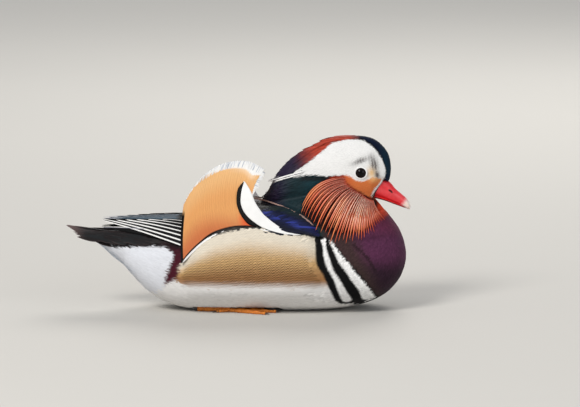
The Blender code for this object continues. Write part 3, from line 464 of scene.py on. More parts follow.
def move_points(thing: Thing, points: Array) -> None:
    """Moves a mesh's points to new places."""
    thing.data.vertices.foreach_set("co", points.astype(np.float32).ravel())
    thing.data.update()


def put_attribute(thing: Thing, name: str, kind: str, values: Array) -> None:
    """Stores one value for each corner point of a mesh.

    Args:
        thing: the object.
        name: the attribute's name.
        kind: the attribute's type.
        values: one value or row for each point.
    """
    field_name = {"FLOAT_COLOR": "color", "FLOAT_VECTOR": "vector", "FLOAT": "value"}[kind]
    layer = thing.data.attributes.new(name, kind, "POINT")
    layer.data.foreach_set(field_name, np.asarray(values, np.float32).ravel())


def put_tone(thing: Thing, tones: Array) -> None:
    """Stores the painted tone of each point, opaque."""
    rgba = np.concatenate([np.clip(tones, 0, 1), np.ones((len(tones), 1))], 1)
    put_attribute(thing, "tone", "FLOAT_COLOR", rgba)


def put_normals(mesh: bpy.types.Mesh, normals: Array) -> None:
    """Shades each corner by its point's own normal, turned to the side that its face looks to.

    Args:
        mesh: the mesh.
        normals: one direction for each of its points.
    """
    sizes = fetched(mesh.polygons, "loop_total", 1, np.int32)
    faces = np.repeat(fetched(mesh.polygons, "normal", 3), sizes, axis=0)
    chosen = normals[fetched(mesh.loops, "vertex_index", 1, np.int32)]
    chosen = chosen * np.where((chosen * faces).sum(1) < -0.05, -1.0, 1.0)[:, None]
    mesh.normals_split_custom_set(chosen.tolist())


def put_uv(thing: Thing, places: Array) -> None:
    """Gives each corner the bake place of its point.

    Args:
        thing: the object.
        places: the place of each point, as shares of the map.
    """
    mesh = thing.data
    corners = fetched(mesh.loops, "vertex_index", 1, np.int32)
    layer = mesh.uv_layers.new(name="OFBake")
    layer.uv.foreach_set("vector", np.asarray(places, np.float32)[corners].ravel())


def grid_faces(rings: int, sides: int, closed: bool) -> Array:
    """Lists the quads between rings of points, each ring open or closed.

    Args:
        rings: how many rings.
        sides: how many points each ring has.
        closed: whether each ring's last point meets its first.

    Returns:
        One row of four points for each quad.
    """
    i, j = np.meshgrid(np.arange(rings - 1), np.arange(sides if closed else sides - 1), indexing="ij")
    n = (j + 1) % sides
    corners = (i * sides + j, i * sides + n, (i + 1) * sides + n, (i + 1) * sides + j)
    return np.stack(corners, -1).reshape(-1, 4)


def turned_out(thing: Thing) -> Thing:
    """Turns a closed mesh's faces outwards.

    Args:
        thing: the object.

    Returns:
        The same object.
    """
    body = bmesh.new()
    body.from_mesh(thing.data)
    bmesh.ops.recalc_face_normals(body, faces=body.faces)
    body.to_mesh(thing.data)
    body.free()
    return thing


def tube_mesh(name: str, grid: Array) -> Thing:
    """Closes rings of points into one body with flat ends.

    Args:
        name: the object's name.
        grid: rings of points.

    Returns:
        The new object.
    """
    rings, sides = grid.shape[:2]
    caps = np.array([np.arange(sides)[::-1], np.arange(sides) + (rings - 1) * sides])
    return turned_out(mesh_object(name, grid.reshape(-1, 3), [grid_faces(rings, sides, True), caps]))


def joined(name: str, things: list[Thing]) -> Thing:
    """Joins meshes into one object.

    Args:
        name: the new object's name.
        things: the objects.

    Returns:
        The new object.
    """
    with bpy.context.temp_override(active_object=things[0], selected_editable_objects=things):
        bpy.ops.object.join()
    things[0].name = name
    return things[0]


def dress(thing: Thing, finish: "Finish", slot: str, *nodes: str) -> Thing:
    """Gives a piece its finish and its body, and hides the solids that it stands for.

    Args:
        thing: the piece.
        finish: its finish.
        slot: the slot that it fills; not used.
        *nodes: the solids that it stands for.

    Returns:
        The same object.
    """
    thing.data.materials.clear()
    thing.data.materials.append(finish.material())
    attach(thing, BODY)
    if nodes:
        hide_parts(*nodes)
    LOG.info("%s: %d faces", thing.name, len(thing.data.polygons))
    return thing


# Shader effects that several finishes share


def new_group(name: str, takes: dict[str, float], gives: dict[str, str]) -> bpy.types.NodeTree:
    """Starts a shader node group.

    Args:
        name: the group's name.
        takes: names of its number inputs, with their usual values.
        gives: names of its outputs, with the type of each socket.

    Returns:
        The group, with its input and output nodes in it.
    """
    tree = bpy.data.node_groups.new(name, "ShaderNodeTree")
    for key, value in takes.items():
        tree.interface.new_socket(key, in_out="INPUT", socket_type="NodeSocketFloat").default_value = value
    for key, kind in gives.items():
        tree.interface.new_socket(key, in_out="OUTPUT", socket_type=kind)
    tree.nodes.new("NodeGroupInput")
    tree.nodes.new("NodeGroupOutput")
    return tree


@dataclass
class Wires:
    """Short ways to add and join nodes in one tree."""

    tree: bpy.types.NodeTree

    def node(self, kind: str, **settings: object) -> Node:
        """Adds a node and sets its properties.

        Args:
            kind: the node's type.
            **settings: its properties.

        Returns:
            The node.
        """
        made = self.tree.nodes.new(kind)
        for key, value in settings.items():
            setattr(made, key, value)
        return made

    def feed(self, socket: bpy.types.NodeSocket, source: object) -> None:
        """Links a socket to another, or sets its constant.

        Args:
            socket: the input.
            source: another node's output, or a constant.
        """
        if isinstance(source, bpy.types.NodeSocket):
            self.tree.links.new(source, socket)
        elif isinstance(source, (tuple, list, np.ndarray)):
            wanted = len(socket.default_value)
            values = [*map(float, source), 1.0, 1.0][:wanted]
            socket.default_value = values
        else:
            socket.default_value = source

    def math(self, operation: str, first: object, second: object = 0.0, third: object = 0.5,
            clamp: bool = False) -> object:
        """Adds a Math node and returns its result.

        Args:
            operation: what it does.
            first: its first value.
            second: its second value.
            third: its third value.
            clamp: keeps the result in 0 to 1.

        Returns:
            The result's socket.
        """
        made = self.node("ShaderNodeMath", operation=operation, use_clamp=clamp)
        for socket, value in zip(made.inputs, (first, second, third)):
            self.feed(socket, value)
        return made.outputs[0]

    def near_one(self, value: object, share: float) -> object:
        """Turns a value of 0 to 1 into a factor that strays round 1 by this share."""
        return self.math("MULTIPLY_ADD", value, share, 1 - share / 2)

    def split(self, vector: object) -> object:
        """Splits a vector and returns the sockets of its three numbers.

        Args:
            vector: the vector's socket.

        Returns:
            The sockets.
        """
        made = self.node("ShaderNodeSeparateXYZ")
        self.feed(made.inputs[0], vector)
        return made.outputs

    def blend(self, share: object, first: object, second: object, way: str = "MIX") -> object:
        """Adds a colour Mix node and returns its colour.

        Args:
            share: how much of the second colour there is.
            first: the first colour.
            second: the second colour.
            way: how they are blended.

        Returns:
            The colour's socket.
        """
        made = self.node("ShaderNodeMix", data_type="RGBA", blend_type=way)
        for socket, source in zip((made.inputs[0], made.inputs[6], made.inputs[7]), (share, first, second)):
            self.feed(socket, source)
        return made.outputs[2]

    def band(self, value: object, low: object, high: object) -> object:
        """Adds a smooth climb from 0 at low to 1 at high.

        Args:
            value: what is read.
            low: where the climb starts.
            high: where it ends.

        Returns:
            The result's socket.
        """
        made = self.node("ShaderNodeMapRange", interpolation_type="SMOOTHSTEP")
        for key, source in (("Value", value), ("From Min", low), ("From Max", high)):
            self.feed(made.inputs[key], source)
        return made.outputs["Result"]

    def noise(self, scale: float, detail: float = 2.0, place: object = None) -> object:
        """Adds a noise in object space and returns its value.

        Args:
            scale: how fine it is.
            detail: how many octaves it has.
            place: a vector to read it at, where not the object's own.

        Returns:
            A value of about 0 to 1.
        """
        made = self.node("ShaderNodeTexNoise")
        made.inputs["Scale"].default_value = scale
        made.inputs["Detail"].default_value = detail
        if place is None:
            place = self.node("ShaderNodeTexCoord").outputs["Object"]
        self.feed(made.inputs["Vector"], place)
        return made.outputs["Fac"]

    def attribute(self, name: str) -> Node:
        """Reads a mesh attribute."""
        return self.node("ShaderNodeAttribute", attribute_name=name)

    def group(self, tree: bpy.types.NodeTree, **values: float) -> Node:
        """Places a shared effect with its own values.

        Args:
            tree: the effect's group.
            **values: its inputs, in small letters.

        Returns:
            The node.
        """
        made = self.node("ShaderNodeGroup", node_tree=tree)
        for key, value in values.items():
            self.feed(made.inputs[key.replace("_", " ").title()], value)
        return made

    def ends(self) -> tuple[Node, Node]:
        """Finds a group's input and output nodes."""
        return self.tree.nodes["Group Input"], self.tree.nodes["Group Output"]


class Effects:
    """The node groups, each built once."""

    made: dict[str, bpy.types.NodeTree] = {}

    @classmethod
    def get(cls, name: str) -> bpy.types.NodeTree:
        """Finds or builds an effect by its name.

        Args:
            name: the effect's name.

        Returns:
            The group.
        """
        if name not in cls.made:
            cls.made[name] = getattr(cls, name)()
        return cls.made[name]

    @staticmethod
    def vane_lines() -> bpy.types.NodeTree:
        """Builds the marks along one feather: its shaft, its edges, its barbs and its own shade.

        Returns:
            A group that reads the feather's own lengths, across and along, in metres.
        """
        gives = {key: "NodeSocketFloat" for key in ("Shaft", "Edge", "Barbs", "Shade")}
        takes = {"Shaft Width": 0.15, "Edge Start": 0.8, "Barb Pitch": 0.0006, "Barb Slant": 1.2}
        wires = Wires(new_group("vane_lines", takes, gives))
        start, end = wires.ends()
        vane = wires.split(wires.attribute("vane").outputs["Vector"])
        span = wires.split(wires.attribute("span").outputs["Vector"])
        aside = wires.math("ABSOLUTE", vane["X"])
        soft = wires.math("MULTIPLY", start.outputs["Shaft Width"], 1.9)
        shaft = wires.math("SUBTRACT", 1.0, wires.band(aside, start.outputs["Shaft Width"], soft))
        edge = wires.band(aside, start.outputs["Edge Start"], 1.0)
        out = wires.math("ABSOLUTE", span["X"])
        slanted = wires.math("MULTIPLY", out, start.outputs["Barb Slant"])
        place = wires.math("SUBTRACT", span["Y"], slanted)
        turns = wires.math("DIVIDE", place, start.outputs["Barb Pitch"])
        wave = wires.math("SINE", wires.math("MULTIPLY", turns, 2 * math.pi))
        barbs = wires.math("MULTIPLY_ADD", wave, 0.5, 0.5)
        for key, source in {"Shaft": shaft, "Edge": edge, "Barbs": barbs, "Shade": vane["Z"]}.items():
            wires.feed(end.inputs[key], source)
        return wires.tree

    @staticmethod
    def mottle() -> bpy.types.NodeTree:
        """Builds soft patches with fine grain in them.

        Returns:
            A group whose Patches lie round 0.5 and whose Grain is much finer.
        """
        takes = {"Patch Scale": 60.0, "Grain Scale": 900.0}
        gives = {"Patches": "NodeSocketFloat", "Grain": "NodeSocketFloat"}
        wires = Wires(new_group("mottle", takes, gives))
        start, end = wires.ends()
        for key, source in (("Patches", "Patch Scale"), ("Grain", "Grain Scale")):
            value = wires.noise(50.0, 3.0)
            wires.feed(value.node.inputs["Scale"], start.outputs[source])
            wires.feed(end.inputs[key], value)
        return wires.tree

    @staticmethod
    def vermiculation() -> bpy.types.NodeTree:
        """Builds fine wavy cross-lines, as on a drake's flank.

        Returns:
            A group whose Lines are 1 on a line and 0 between.
        """
        wires = Wires(new_group("vermiculation", {"Pitch": 0.0021, "Wander": 0.0011},
            {"Lines": "NodeSocketFloat"}))
        start, end = wires.ends()
        split = wires.split(wires.node("ShaderNodeTexCoord").outputs["Object"])
        zigzag = wires.math("PINGPONG", split["X"], 0.0024)
        fret = wires.math("MULTIPLY", zigzag, 1.1)
        slope = wires.math("MULTIPLY", split["X"], 0.45)
        wander = wires.math("MULTIPLY", wires.noise(170.0, 2.0), start.outputs["Wander"])
        place = wires.math("ADD", wires.math("ADD", split["Z"], slope), wires.math("ADD", fret, wander))
        turns = wires.math("MULTIPLY", wires.math("DIVIDE", place, start.outputs["Pitch"]), 2 * math.pi)
        wires.feed(end.inputs["Lines"], wires.band(wires.math("SINE", turns), -0.1, 0.75))
        return wires.tree


# Finishes


@dataclass(frozen=True)
class Finish:
    """A procedural surface; each kind says how its nodes are laid."""

    name: str
    roughness: float = 0.6
    bump: float = 0.2
    sheen: float = 0.0
    specular: float = 0.4
    coat: float = 0.0

    def material(self) -> bpy.types.Material:
        """Finds or builds the material.

        Returns:
            The material, the same one for each piece that asks.
        """
        found = bpy.data.materials.get(self.name)
        if found:
            return found
        made = bpy.data.materials.new(self.name)
        made.use_nodes = True
        wires = Wires(made.node_tree)
        shader = made.node_tree.nodes["Principled BSDF"]
        fixed = {"Sheen Weight": self.sheen, "Sheen Roughness": 0.4, "Specular IOR Level": self.specular,
            "Coat Weight": self.coat, "Coat Roughness": 0.08}
        for key, value in fixed.items():
            shader.inputs[key].default_value = value
        self.lay(wires, shader)
        return made

    def lay(self, wires: Wires, shader: Node) -> None:
        """Lays the nodes that make the surface."""
        raise NotImplementedError

    def relief(self, wires: Wires, shader: Node, height: object, depth: float) -> None:
        """Adds a bump of this depth, in metres, from a height of 0 to 1.

        Args:
            wires: adds the nodes.
            shader: the material's Principled node.
            height: a value of 0 to 1.
            depth: the height of 1, in metres.
        """
        bump = wires.node("ShaderNodeBump")
        bump.inputs["Strength"].default_value = self.bump
        bump.inputs["Distance"].default_value = depth
        wires.feed(bump.inputs["Height"], height)
        wires.feed(shader.inputs["Normal"], bump.outputs["Normal"])

    def rough(self, wires: Wires, shader: Node, value: object, spread: float) -> None:
        """Lets the roughness vary round its middle with a value of 0 to 1."""
        offset = wires.math("MULTIPLY", wires.math("SUBTRACT", value, 0.5), spread)
        wires.feed(shader.inputs["Roughness"], wires.math("ADD", offset, self.roughness, clamp=True))


@dataclass(frozen=True)
class Plume(Finish):
    """Feathers in the tones painted on them, with shaft, edges and barbs."""

    shaft: tuple[float, float, float] = (240, 230, 215)
    shaft_share: float = 0.0
    shaft_width: float = 0.12
    edge: tuple[float, float, float] = (20, 12, 10)
    edge_share: float = 0.0
    edge_start: float = 0.75
    barb_pitch: float = 0.0007
    barb_slant: float = 1.2
    barb_share: float = 0.12
    shade_share: float = 0.25
    patch_share: float = 0.24
    lines: bool = False

    def lay(self, wires: Wires, shader: Node) -> None:
        """Lays the feather's marks over its painted tone.

        Args:
            wires: adds the nodes.
            shader: the material's Principled node.
        """
        marks = wires.group(Effects.get("vane_lines"), shaft_width=self.shaft_width,
            edge_start=self.edge_start, barb_pitch=self.barb_pitch, barb_slant=self.barb_slant).outputs
        mottle = wires.group(Effects.get("mottle"), patch_scale=70.0, grain_scale=1100.0).outputs
        painted = wires.attribute("tone").outputs["Color"]
        shade = wires.near_one(marks["Shade"], self.shade_share)
        barbs = wires.near_one(marks["Barbs"], self.barb_share)
        patches = wires.near_one(mottle["Patches"], self.patch_share)
        light = wires.math("MULTIPLY", wires.math("MULTIPLY", shade, barbs), patches)
        gray = wires.node("ShaderNodeCombineColor")
        for socket in gray.inputs[:3]:
            wires.feed(socket, light)
        colour = wires.blend(1.0, painted, gray.outputs[0], "MULTIPLY")
        if self.lines:
            colour = self.line(wires, colour)
        if self.shaft_share:
            held = wires.math("MULTIPLY", wires.attribute("streak").outputs["Fac"], self.shaft_share)
            colour = wires.blend(wires.math("MULTIPLY", marks["Shaft"], held), colour, tone(*self.shaft))
        if self.edge_share:
            colour = wires.blend(wires.math("MULTIPLY", marks["Edge"], self.edge_share), colour,
                tone(*self.edge))
        wires.feed(shader.inputs["Base Color"], colour)
        self.rough(wires, shader, mottle["Patches"], 0.2)
        height = wires.math("ADD", wires.math("MULTIPLY", marks["Barbs"], 0.6),
            wires.math("MULTIPLY", mottle["Grain"], 0.4))
        self.relief(wires, shader, height, 0.0003)

    def line(self, wires: Wires, colour: object) -> object:
        """Draws the fine wavy lines, as strong as the painted streak says.

        Args:
            wires: adds the nodes.
            colour: the colour's socket so far.

        Returns:
            The socket of the lined colour.
        """
        held = wires.attribute("streak").outputs["Fac"]
        lines = wires.group(Effects.get("vermiculation"), pitch=0.0026, wander=0.0024).outputs["Lines"]
        return wires.blend(wires.math("MULTIPLY", lines, held), colour, tone(58, 38, 26))


@dataclass(frozen=True)
class Horn(Finish):
    """Bill and claws: painted horn with faint growth lines."""

    def lay(self, wires: Wires, shader: Node) -> None:
        """Lays mottled horn with a soft wax-like gloss.

        Args:
            wires: adds the nodes.
            shader: the material's Principled node.
        """
        mottle = wires.group(Effects.get("mottle"), patch_scale=220.0, grain_scale=1500.0).outputs
        painted = wires.attribute("tone").outputs["Color"]
        darker = wires.blend(1.0, painted, (0.72, 0.62, 0.62), "MULTIPLY")
        share = wires.math("MULTIPLY", wires.band(mottle["Patches"], 0.45, 0.7), 0.45)
        wires.feed(shader.inputs["Base Color"], wires.blend(share, painted, darker))
        self.rough(wires, shader, mottle["Patches"], 0.2)
        shader.inputs["Subsurface Weight"].default_value = 0.12
        shader.inputs["Subsurface Scale"].default_value = 0.002
        self.relief(wires, shader, mottle["Grain"], 0.00025)


@dataclass(frozen=True)
class Scaly(Finish):
    """Foot skin: small scales with darker seams."""

    scale: float = 900.0

    def lay(self, wires: Wires, shader: Node) -> None:
        """Lays scales as cells, with a bump that rounds each.

        Args:
            wires: adds the nodes.
            shader: the material's Principled node.
        """
        cells = wires.node("ShaderNodeTexVoronoi", feature="DISTANCE_TO_EDGE")
        cells.inputs["Scale"].default_value = self.scale
        wires.feed(cells.inputs["Vector"], wires.node("ShaderNodeTexCoord").outputs["Object"])
        seam = wires.band(cells.outputs["Distance"], 0.0, 0.12)
        painted = wires.attribute("tone").outputs["Color"]
        darker = wires.blend(1.0, painted, (0.45, 0.35, 0.3), "MULTIPLY")
        mottle = wires.group(Effects.get("mottle"), patch_scale=160.0, grain_scale=1500.0).outputs
        colour = wires.blend(seam, darker, painted)
        wires.feed(shader.inputs["Base Color"], wires.blend(0.3, colour, mottle["Patches"], "OVERLAY"))
        self.rough(wires, shader, mottle["Patches"], 0.25)
        self.relief(wires, shader, seam, 0.0003)


@dataclass(frozen=True)
class EyeGloss(Finish):
    """The eyeball: a dark brown iris round a black pupil, under a clear coat."""

    def lay(self, wires: Wires, shader: Node) -> None:
        """Lays the painted iris with fine radial flecks.

        Args:
            wires: adds the nodes.
            shader: the material's Principled node.
        """
        painted = wires.attribute("tone").outputs["Color"]
        flecks = wires.noise(2600.0, 3.0)
        lighter = wires.blend(1.0, painted, (1.25, 1.2, 1.15), "MULTIPLY")
        wires.feed(shader.inputs["Base Color"], wires.blend(wires.band(flecks, 0.5, 0.8), painted, lighter))
        self.rough(wires, shader, flecks, 0.04)
        self.relief(wires, shader, flecks, 0.00002)


@dataclass(frozen=True)
class Plaster(Finish):
    """The pale matt floor."""

    colour: tuple[float, float, float] = (206, 203, 197)

    def lay(self, wires: Wires, shader: Node) -> None:
        """Lays an even pale tone with very faint grain.

        Args:
            wires: adds the nodes.
            shader: the material's Principled node.
        """
        mottle = wires.group(Effects.get("mottle"), patch_scale=2.0, grain_scale=300.0).outputs
        base = tone(*self.colour)
        wires.feed(shader.inputs["Base Color"], wires.blend(mottle["Patches"], base * 0.97, base))
        self.rough(wires, shader, mottle["Patches"], 0.1)
        self.relief(wires, shader, mottle["Grain"], 0.0001)


SOFT_PLUME = Plume("soft_plume", roughness=0.75, bump=0.2, sheen=0.04, specular=0.14)
FACE_PLUME = Plume("face_plume", roughness=0.8, bump=0.12, specular=0.1, shade_share=0.05,
    barb_share=0.05, patch_share=0.05)
FLANK_PLUME = Plume("flank_plume", roughness=0.8, bump=0.12, specular=0.12, shade_share=0.06,
    barb_share=0.06, patch_share=0.1, lines=True)
SILK_PLUME = Plume("silk_plume", roughness=0.5, bump=0.3, specular=0.22, shade_share=0.4, barb_share=0.25)
STIFF_PLUME = Plume("stiff_plume", roughness=0.6, bump=0.3, specular=0.14, barb_pitch=0.0008,
    barb_slant=0.9, shade_share=0.1)
# The hackles' dark edges are painted shade between neighbouring hackles.
HACKLE = Plume("hackle", roughness=0.6, bump=0.25, specular=0.18, shaft=(255, 240, 218), shaft_share=1.0,
    shaft_width=0.2, edge=(34, 8, 8), edge_share=0.97, edge_start=0.48, shade_share=0.15, patch_share=0.1)
SAIL_PLUME = Plume("sail_plume", roughness=0.65, bump=0.2, specular=0.16, barb_pitch=0.0011,
    barb_slant=0.0, barb_share=0.06, patch_share=0.1)
BILL_HORN = Horn("bill_look", roughness=0.36, bump=0.12, specular=0.35, coat=0.12)
CLAW_HORN = Horn("claw_horn", roughness=0.35, bump=0.2)
FOOT_SKIN = Scaly("foot_look", roughness=0.45, bump=0.5)
LID_SKIN = Plume("lid_skin", roughness=0.6, bump=0.3, specular=0.3)
EYE_GLOSS = EyeGloss("eye_gloss", roughness=0.05, bump=0.02, specular=0.06, coat=0.16)
PALE_FLOOR = Plaster("pale_floor", roughness=0.9, bump=0.1, specular=0.2)


# Markings on the side plate, in millimetres


class Tone:
    """Tones of the plumage and the bare parts."""

    WHITE = tone(243, 242, 240)
    CHESTNUT = tone(176, 62, 42)
    CHESTNUT_DARK = tone(96, 34, 36)
    PURPLE_BLACK = tone(34, 24, 52)
    NAVY = tone(10, 22, 46)
    GREEN_BLACK = tone(14, 40, 46)
    TEAL = tone(24, 84, 96)
    BLACK = tone(8, 8, 9)
    FACE_ORANGE = tone(222, 124, 68)
    FACE_GOLD = tone(240, 196, 130)
    # painted shade on the white face
    FACE_SHADE = tone(58, 46, 44)
    # painted shade in the gaps between the ruff's hackles
    RUFF_GAP_SHADE = tone(32, 8, 9)
    RUFF_ORANGE = tone(226, 96, 54)
    RUFF_RED = tone(196, 68, 40)
    RUFF_PALE = tone(250, 176, 104)
    BREAST = tone(84, 42, 70)
    BREAST_LOW = tone(44, 24, 38)
    BREAST_BROWN = tone(58, 44, 40)
    BREAST_RED = tone(98, 36, 58)
    FLANK_PALE = tone(228, 218, 200)
    FLANK_GOLD = tone(206, 168, 116)
    FLANK_TAN = tone(160, 116, 74)
    BELLY = tone(236, 234, 232)
    BACK = tone(42, 40, 38)
    BACK_GREEN = tone(30, 48, 50)
    MAROON = tone(74, 26, 38)
    VENT = tone(226, 228, 234)
    # painted blue-grey shade on the vent
    VENT_SHADE = tone(176, 190, 208)
    TAIL = tone(30, 27, 28)
    TAIL_TIP = tone(104, 82, 80)
    QUILL_PALE = tone(176, 176, 184)
    MANTLE_EDGE = tone(158, 128, 118)
    SAIL_TOP = tone(232, 182, 124)
    SAIL_MID = tone(224, 160, 98)
    SAIL_LOW = tone(200, 112, 66)
    SAIL_RED = tone(226, 92, 48)
    SAIL_CREAM = tone(246, 218, 186)
    # painted blue-grey shade on the sail's white rim and barbs
    SAIL_SHADE = tone(150, 162, 180)
    SCAPULAR_BLUE = tone(42, 54, 134)
    SCAPULAR_DARK = tone(10, 14, 34)
    TERTIAL = tone(40, 68, 84)
    BILL = tone(222, 42, 50)
    BILL_BRIGHT = tone(244, 40, 40)
    # painted highlight on the bill and at the nail's start
    BILL_PINK_HIGHLIGHT = tone(240, 104, 108)
    # painted shade on the bill's lower edge and on the lower bill
    BILL_SHADE = tone(120, 22, 24)
    NAIL = tone(250, 226, 214)
    FOOT = tone(232, 138, 46)
    WEB = tone(170, 96, 44)
    CLAW = tone(58, 44, 36)


WHITE_FACE = Outline(((34.1, 133.5), (48.9, 140.5), (60.7, 145.3), (66.6, 148.0), (73.6, 153.4),
    (82.1, 159.9), (90.7, 167.5), (99.3, 174.0), (108.9, 176.6), (118.5, 177.8), (129.3, 177.0),
    (137.9, 172.4), (144.3, 166.4), (149.6, 157.7), (152.7, 149.0), (153.3, 142.6), (152.0, 137.2),
    (147.0, 136.6), (141.0, 137.7), (135.7, 135.0), (129.3, 133.3), (121.8, 135.0), (118.5, 138.2),
    (111.1, 139.9), (103.5, 139.5), (95.0, 139.0), (86.4, 139.3), (77.8, 139.9), (69.3, 139.7),
    (60.9, 137.8), (48.3, 135.0)))
CROWN = Outline(((12.0, 98.0), *WHITE_FACE.knots[:17], (153.3, 130.8), (168.0, 128.7), (168.0, 198.7),
    (96.6, 198.7), (5.0, 180.0), (0.0, 110.0)))
FACE_PATCH = Outline(((111.3, 140.3), (119.7, 139.3), (129.2, 137.2), (138.6, 139.3), (144.9, 142.5),
    (151.2, 137.2), (150.2, 132.4), (143.6, 124.4), (140.6, 117.0), (135.5, 118.3), (129.2, 121.9),
    (121.8, 125.9), (115.5, 130.8), (112.4, 136.1)))
RUFF_AREA = Outline(((116.6, 139.8), (107.1, 140.3), (97.7, 138.0), (87.5, 130.3), (81.1, 124.2),
    (74.7, 117.7), (70.4, 110.7), (66.6, 101.1), (68.0, 97.9), (73.4, 93.5), (81.0, 88.2), (87.3, 82.0),
    (93.3, 76.5), (107.1, 74.9), (120.8, 76.1), (134.6, 79.7), (144.3, 84.0), (152.2, 90.4),
    (158.0, 99.9), (152.2, 107.4), (145.4, 113.8), (140.7, 118.5), (134.4, 119.1), (128.1, 122.7),
    (120.8, 126.9), (114.5, 131.8)))
LORAL_LINE = ((149.6, 157.3), (153.2, 147.5), (153.6, 140.3), (150.8, 135.0), (149.1, 131.4),
    (143.6, 124.7), (140.6, 118.5))
BLACK_ZONE = Outline(((81.4, 73.3), (88.2, 75.1), (95.5, 72.5), (100.4, 67.7), (105.8, 60.8),
    (111.8, 53.4), (118.7, 45.4), (125.5, 37.5), (132.3, 30.0), (140.7, 18.4), (148.0, 6.0), (108.0, 4.0),
    (96.6, 18.0), (91.5, 29.5), (88.9, 36.3), (83.9, 43.0), (81.6, 51.5), (81.1, 62.9)))
BAR_REAR = Outline(((86.8, 71.7), (91.5, 73.5), (92.0, 65.0), (93.0, 60.0), (96.0, 51.5), (97.7, 44.7),
    (102.4, 35.5), (107.1, 28.5), (113.4, 17.3), (119.0, 8.0), (110.0, 7.0), (105.0, 17.3), (100.5, 28.5),
    (97.7, 34.6), (92.1, 44.7), (89.5, 54.9), (88.5, 65.0)))
BAR_FRONT = Outline(((94.8, 71.1), (98.2, 69.7), (102.6, 63.3), (108.4, 54.9), (115.1, 47.2),
    (121.8, 38.7), (128.5, 31.1), (138.6, 18.4), (143.0, 10.0), (131.0, 9.0), (127.1, 17.3),
    (118.0, 29.7), (113.0, 37.9), (106.3, 46.4), (102.2, 54.9), (98.7, 63.3)))
GAPE = ((141.0, 116.2), (144.8, 122.0))
GROOVE = ((120.8, 66.7), (127.1, 61.3), (133.3, 54.9), (138.6, 47.7), (143.3, 40.4))
FLANK_AREA = Outline(((-61.5, 44.0), (-58.0, 48.0), (-48.0, 59.0), (-36.2, 69.4), (-24.6, 75.4),
    (-12.8, 79.9), (-2.1, 82.1), (10.6, 83.8), (25.2, 83.9), (39.9, 81.6), (54.6, 79.0), (65.1, 77.6),
    (80.9, 73.6), (81.4, 60.8), (81.6, 49.1), (84.5, 41.7), (88.2, 36.4), (91.5, 30.0), (97.0, 18.5),
    (60.0, 16.0), (0.0, 16.0), (-40.0, 18.0), (-63.0, 28.0), (-64.5, 36.0)))
VENT_AREA = Outline(((-166.0, 74.0), (-140.1, 67.7), (-129.2, 64.2), (-116.6, 64.1), (-105.0, 64.4),
    (-93.1, 64.7), (-84.0, 65.0), (-75.6, 64.1), (-69.3, 60.3), (-66.8, 54.0), (-69.3, 47.0),
    (-74.0, 37.5), (-81.9, 18.0), (-123.9, 10.0), (-170.0, 40.0)))
MAROON_AREA = Outline(((-82.0, 69.0), (-65.1, 71.2), (-54.0, 62.9), (-56.0, 52.0), (-61.0, 43.0),
    (-64.5, 30.0), (-82.0, 24.0), (-74.0, 37.5), (-69.3, 47.0), (-66.8, 54.0), (-69.3, 60.3),
    (-74.0, 64.0)))


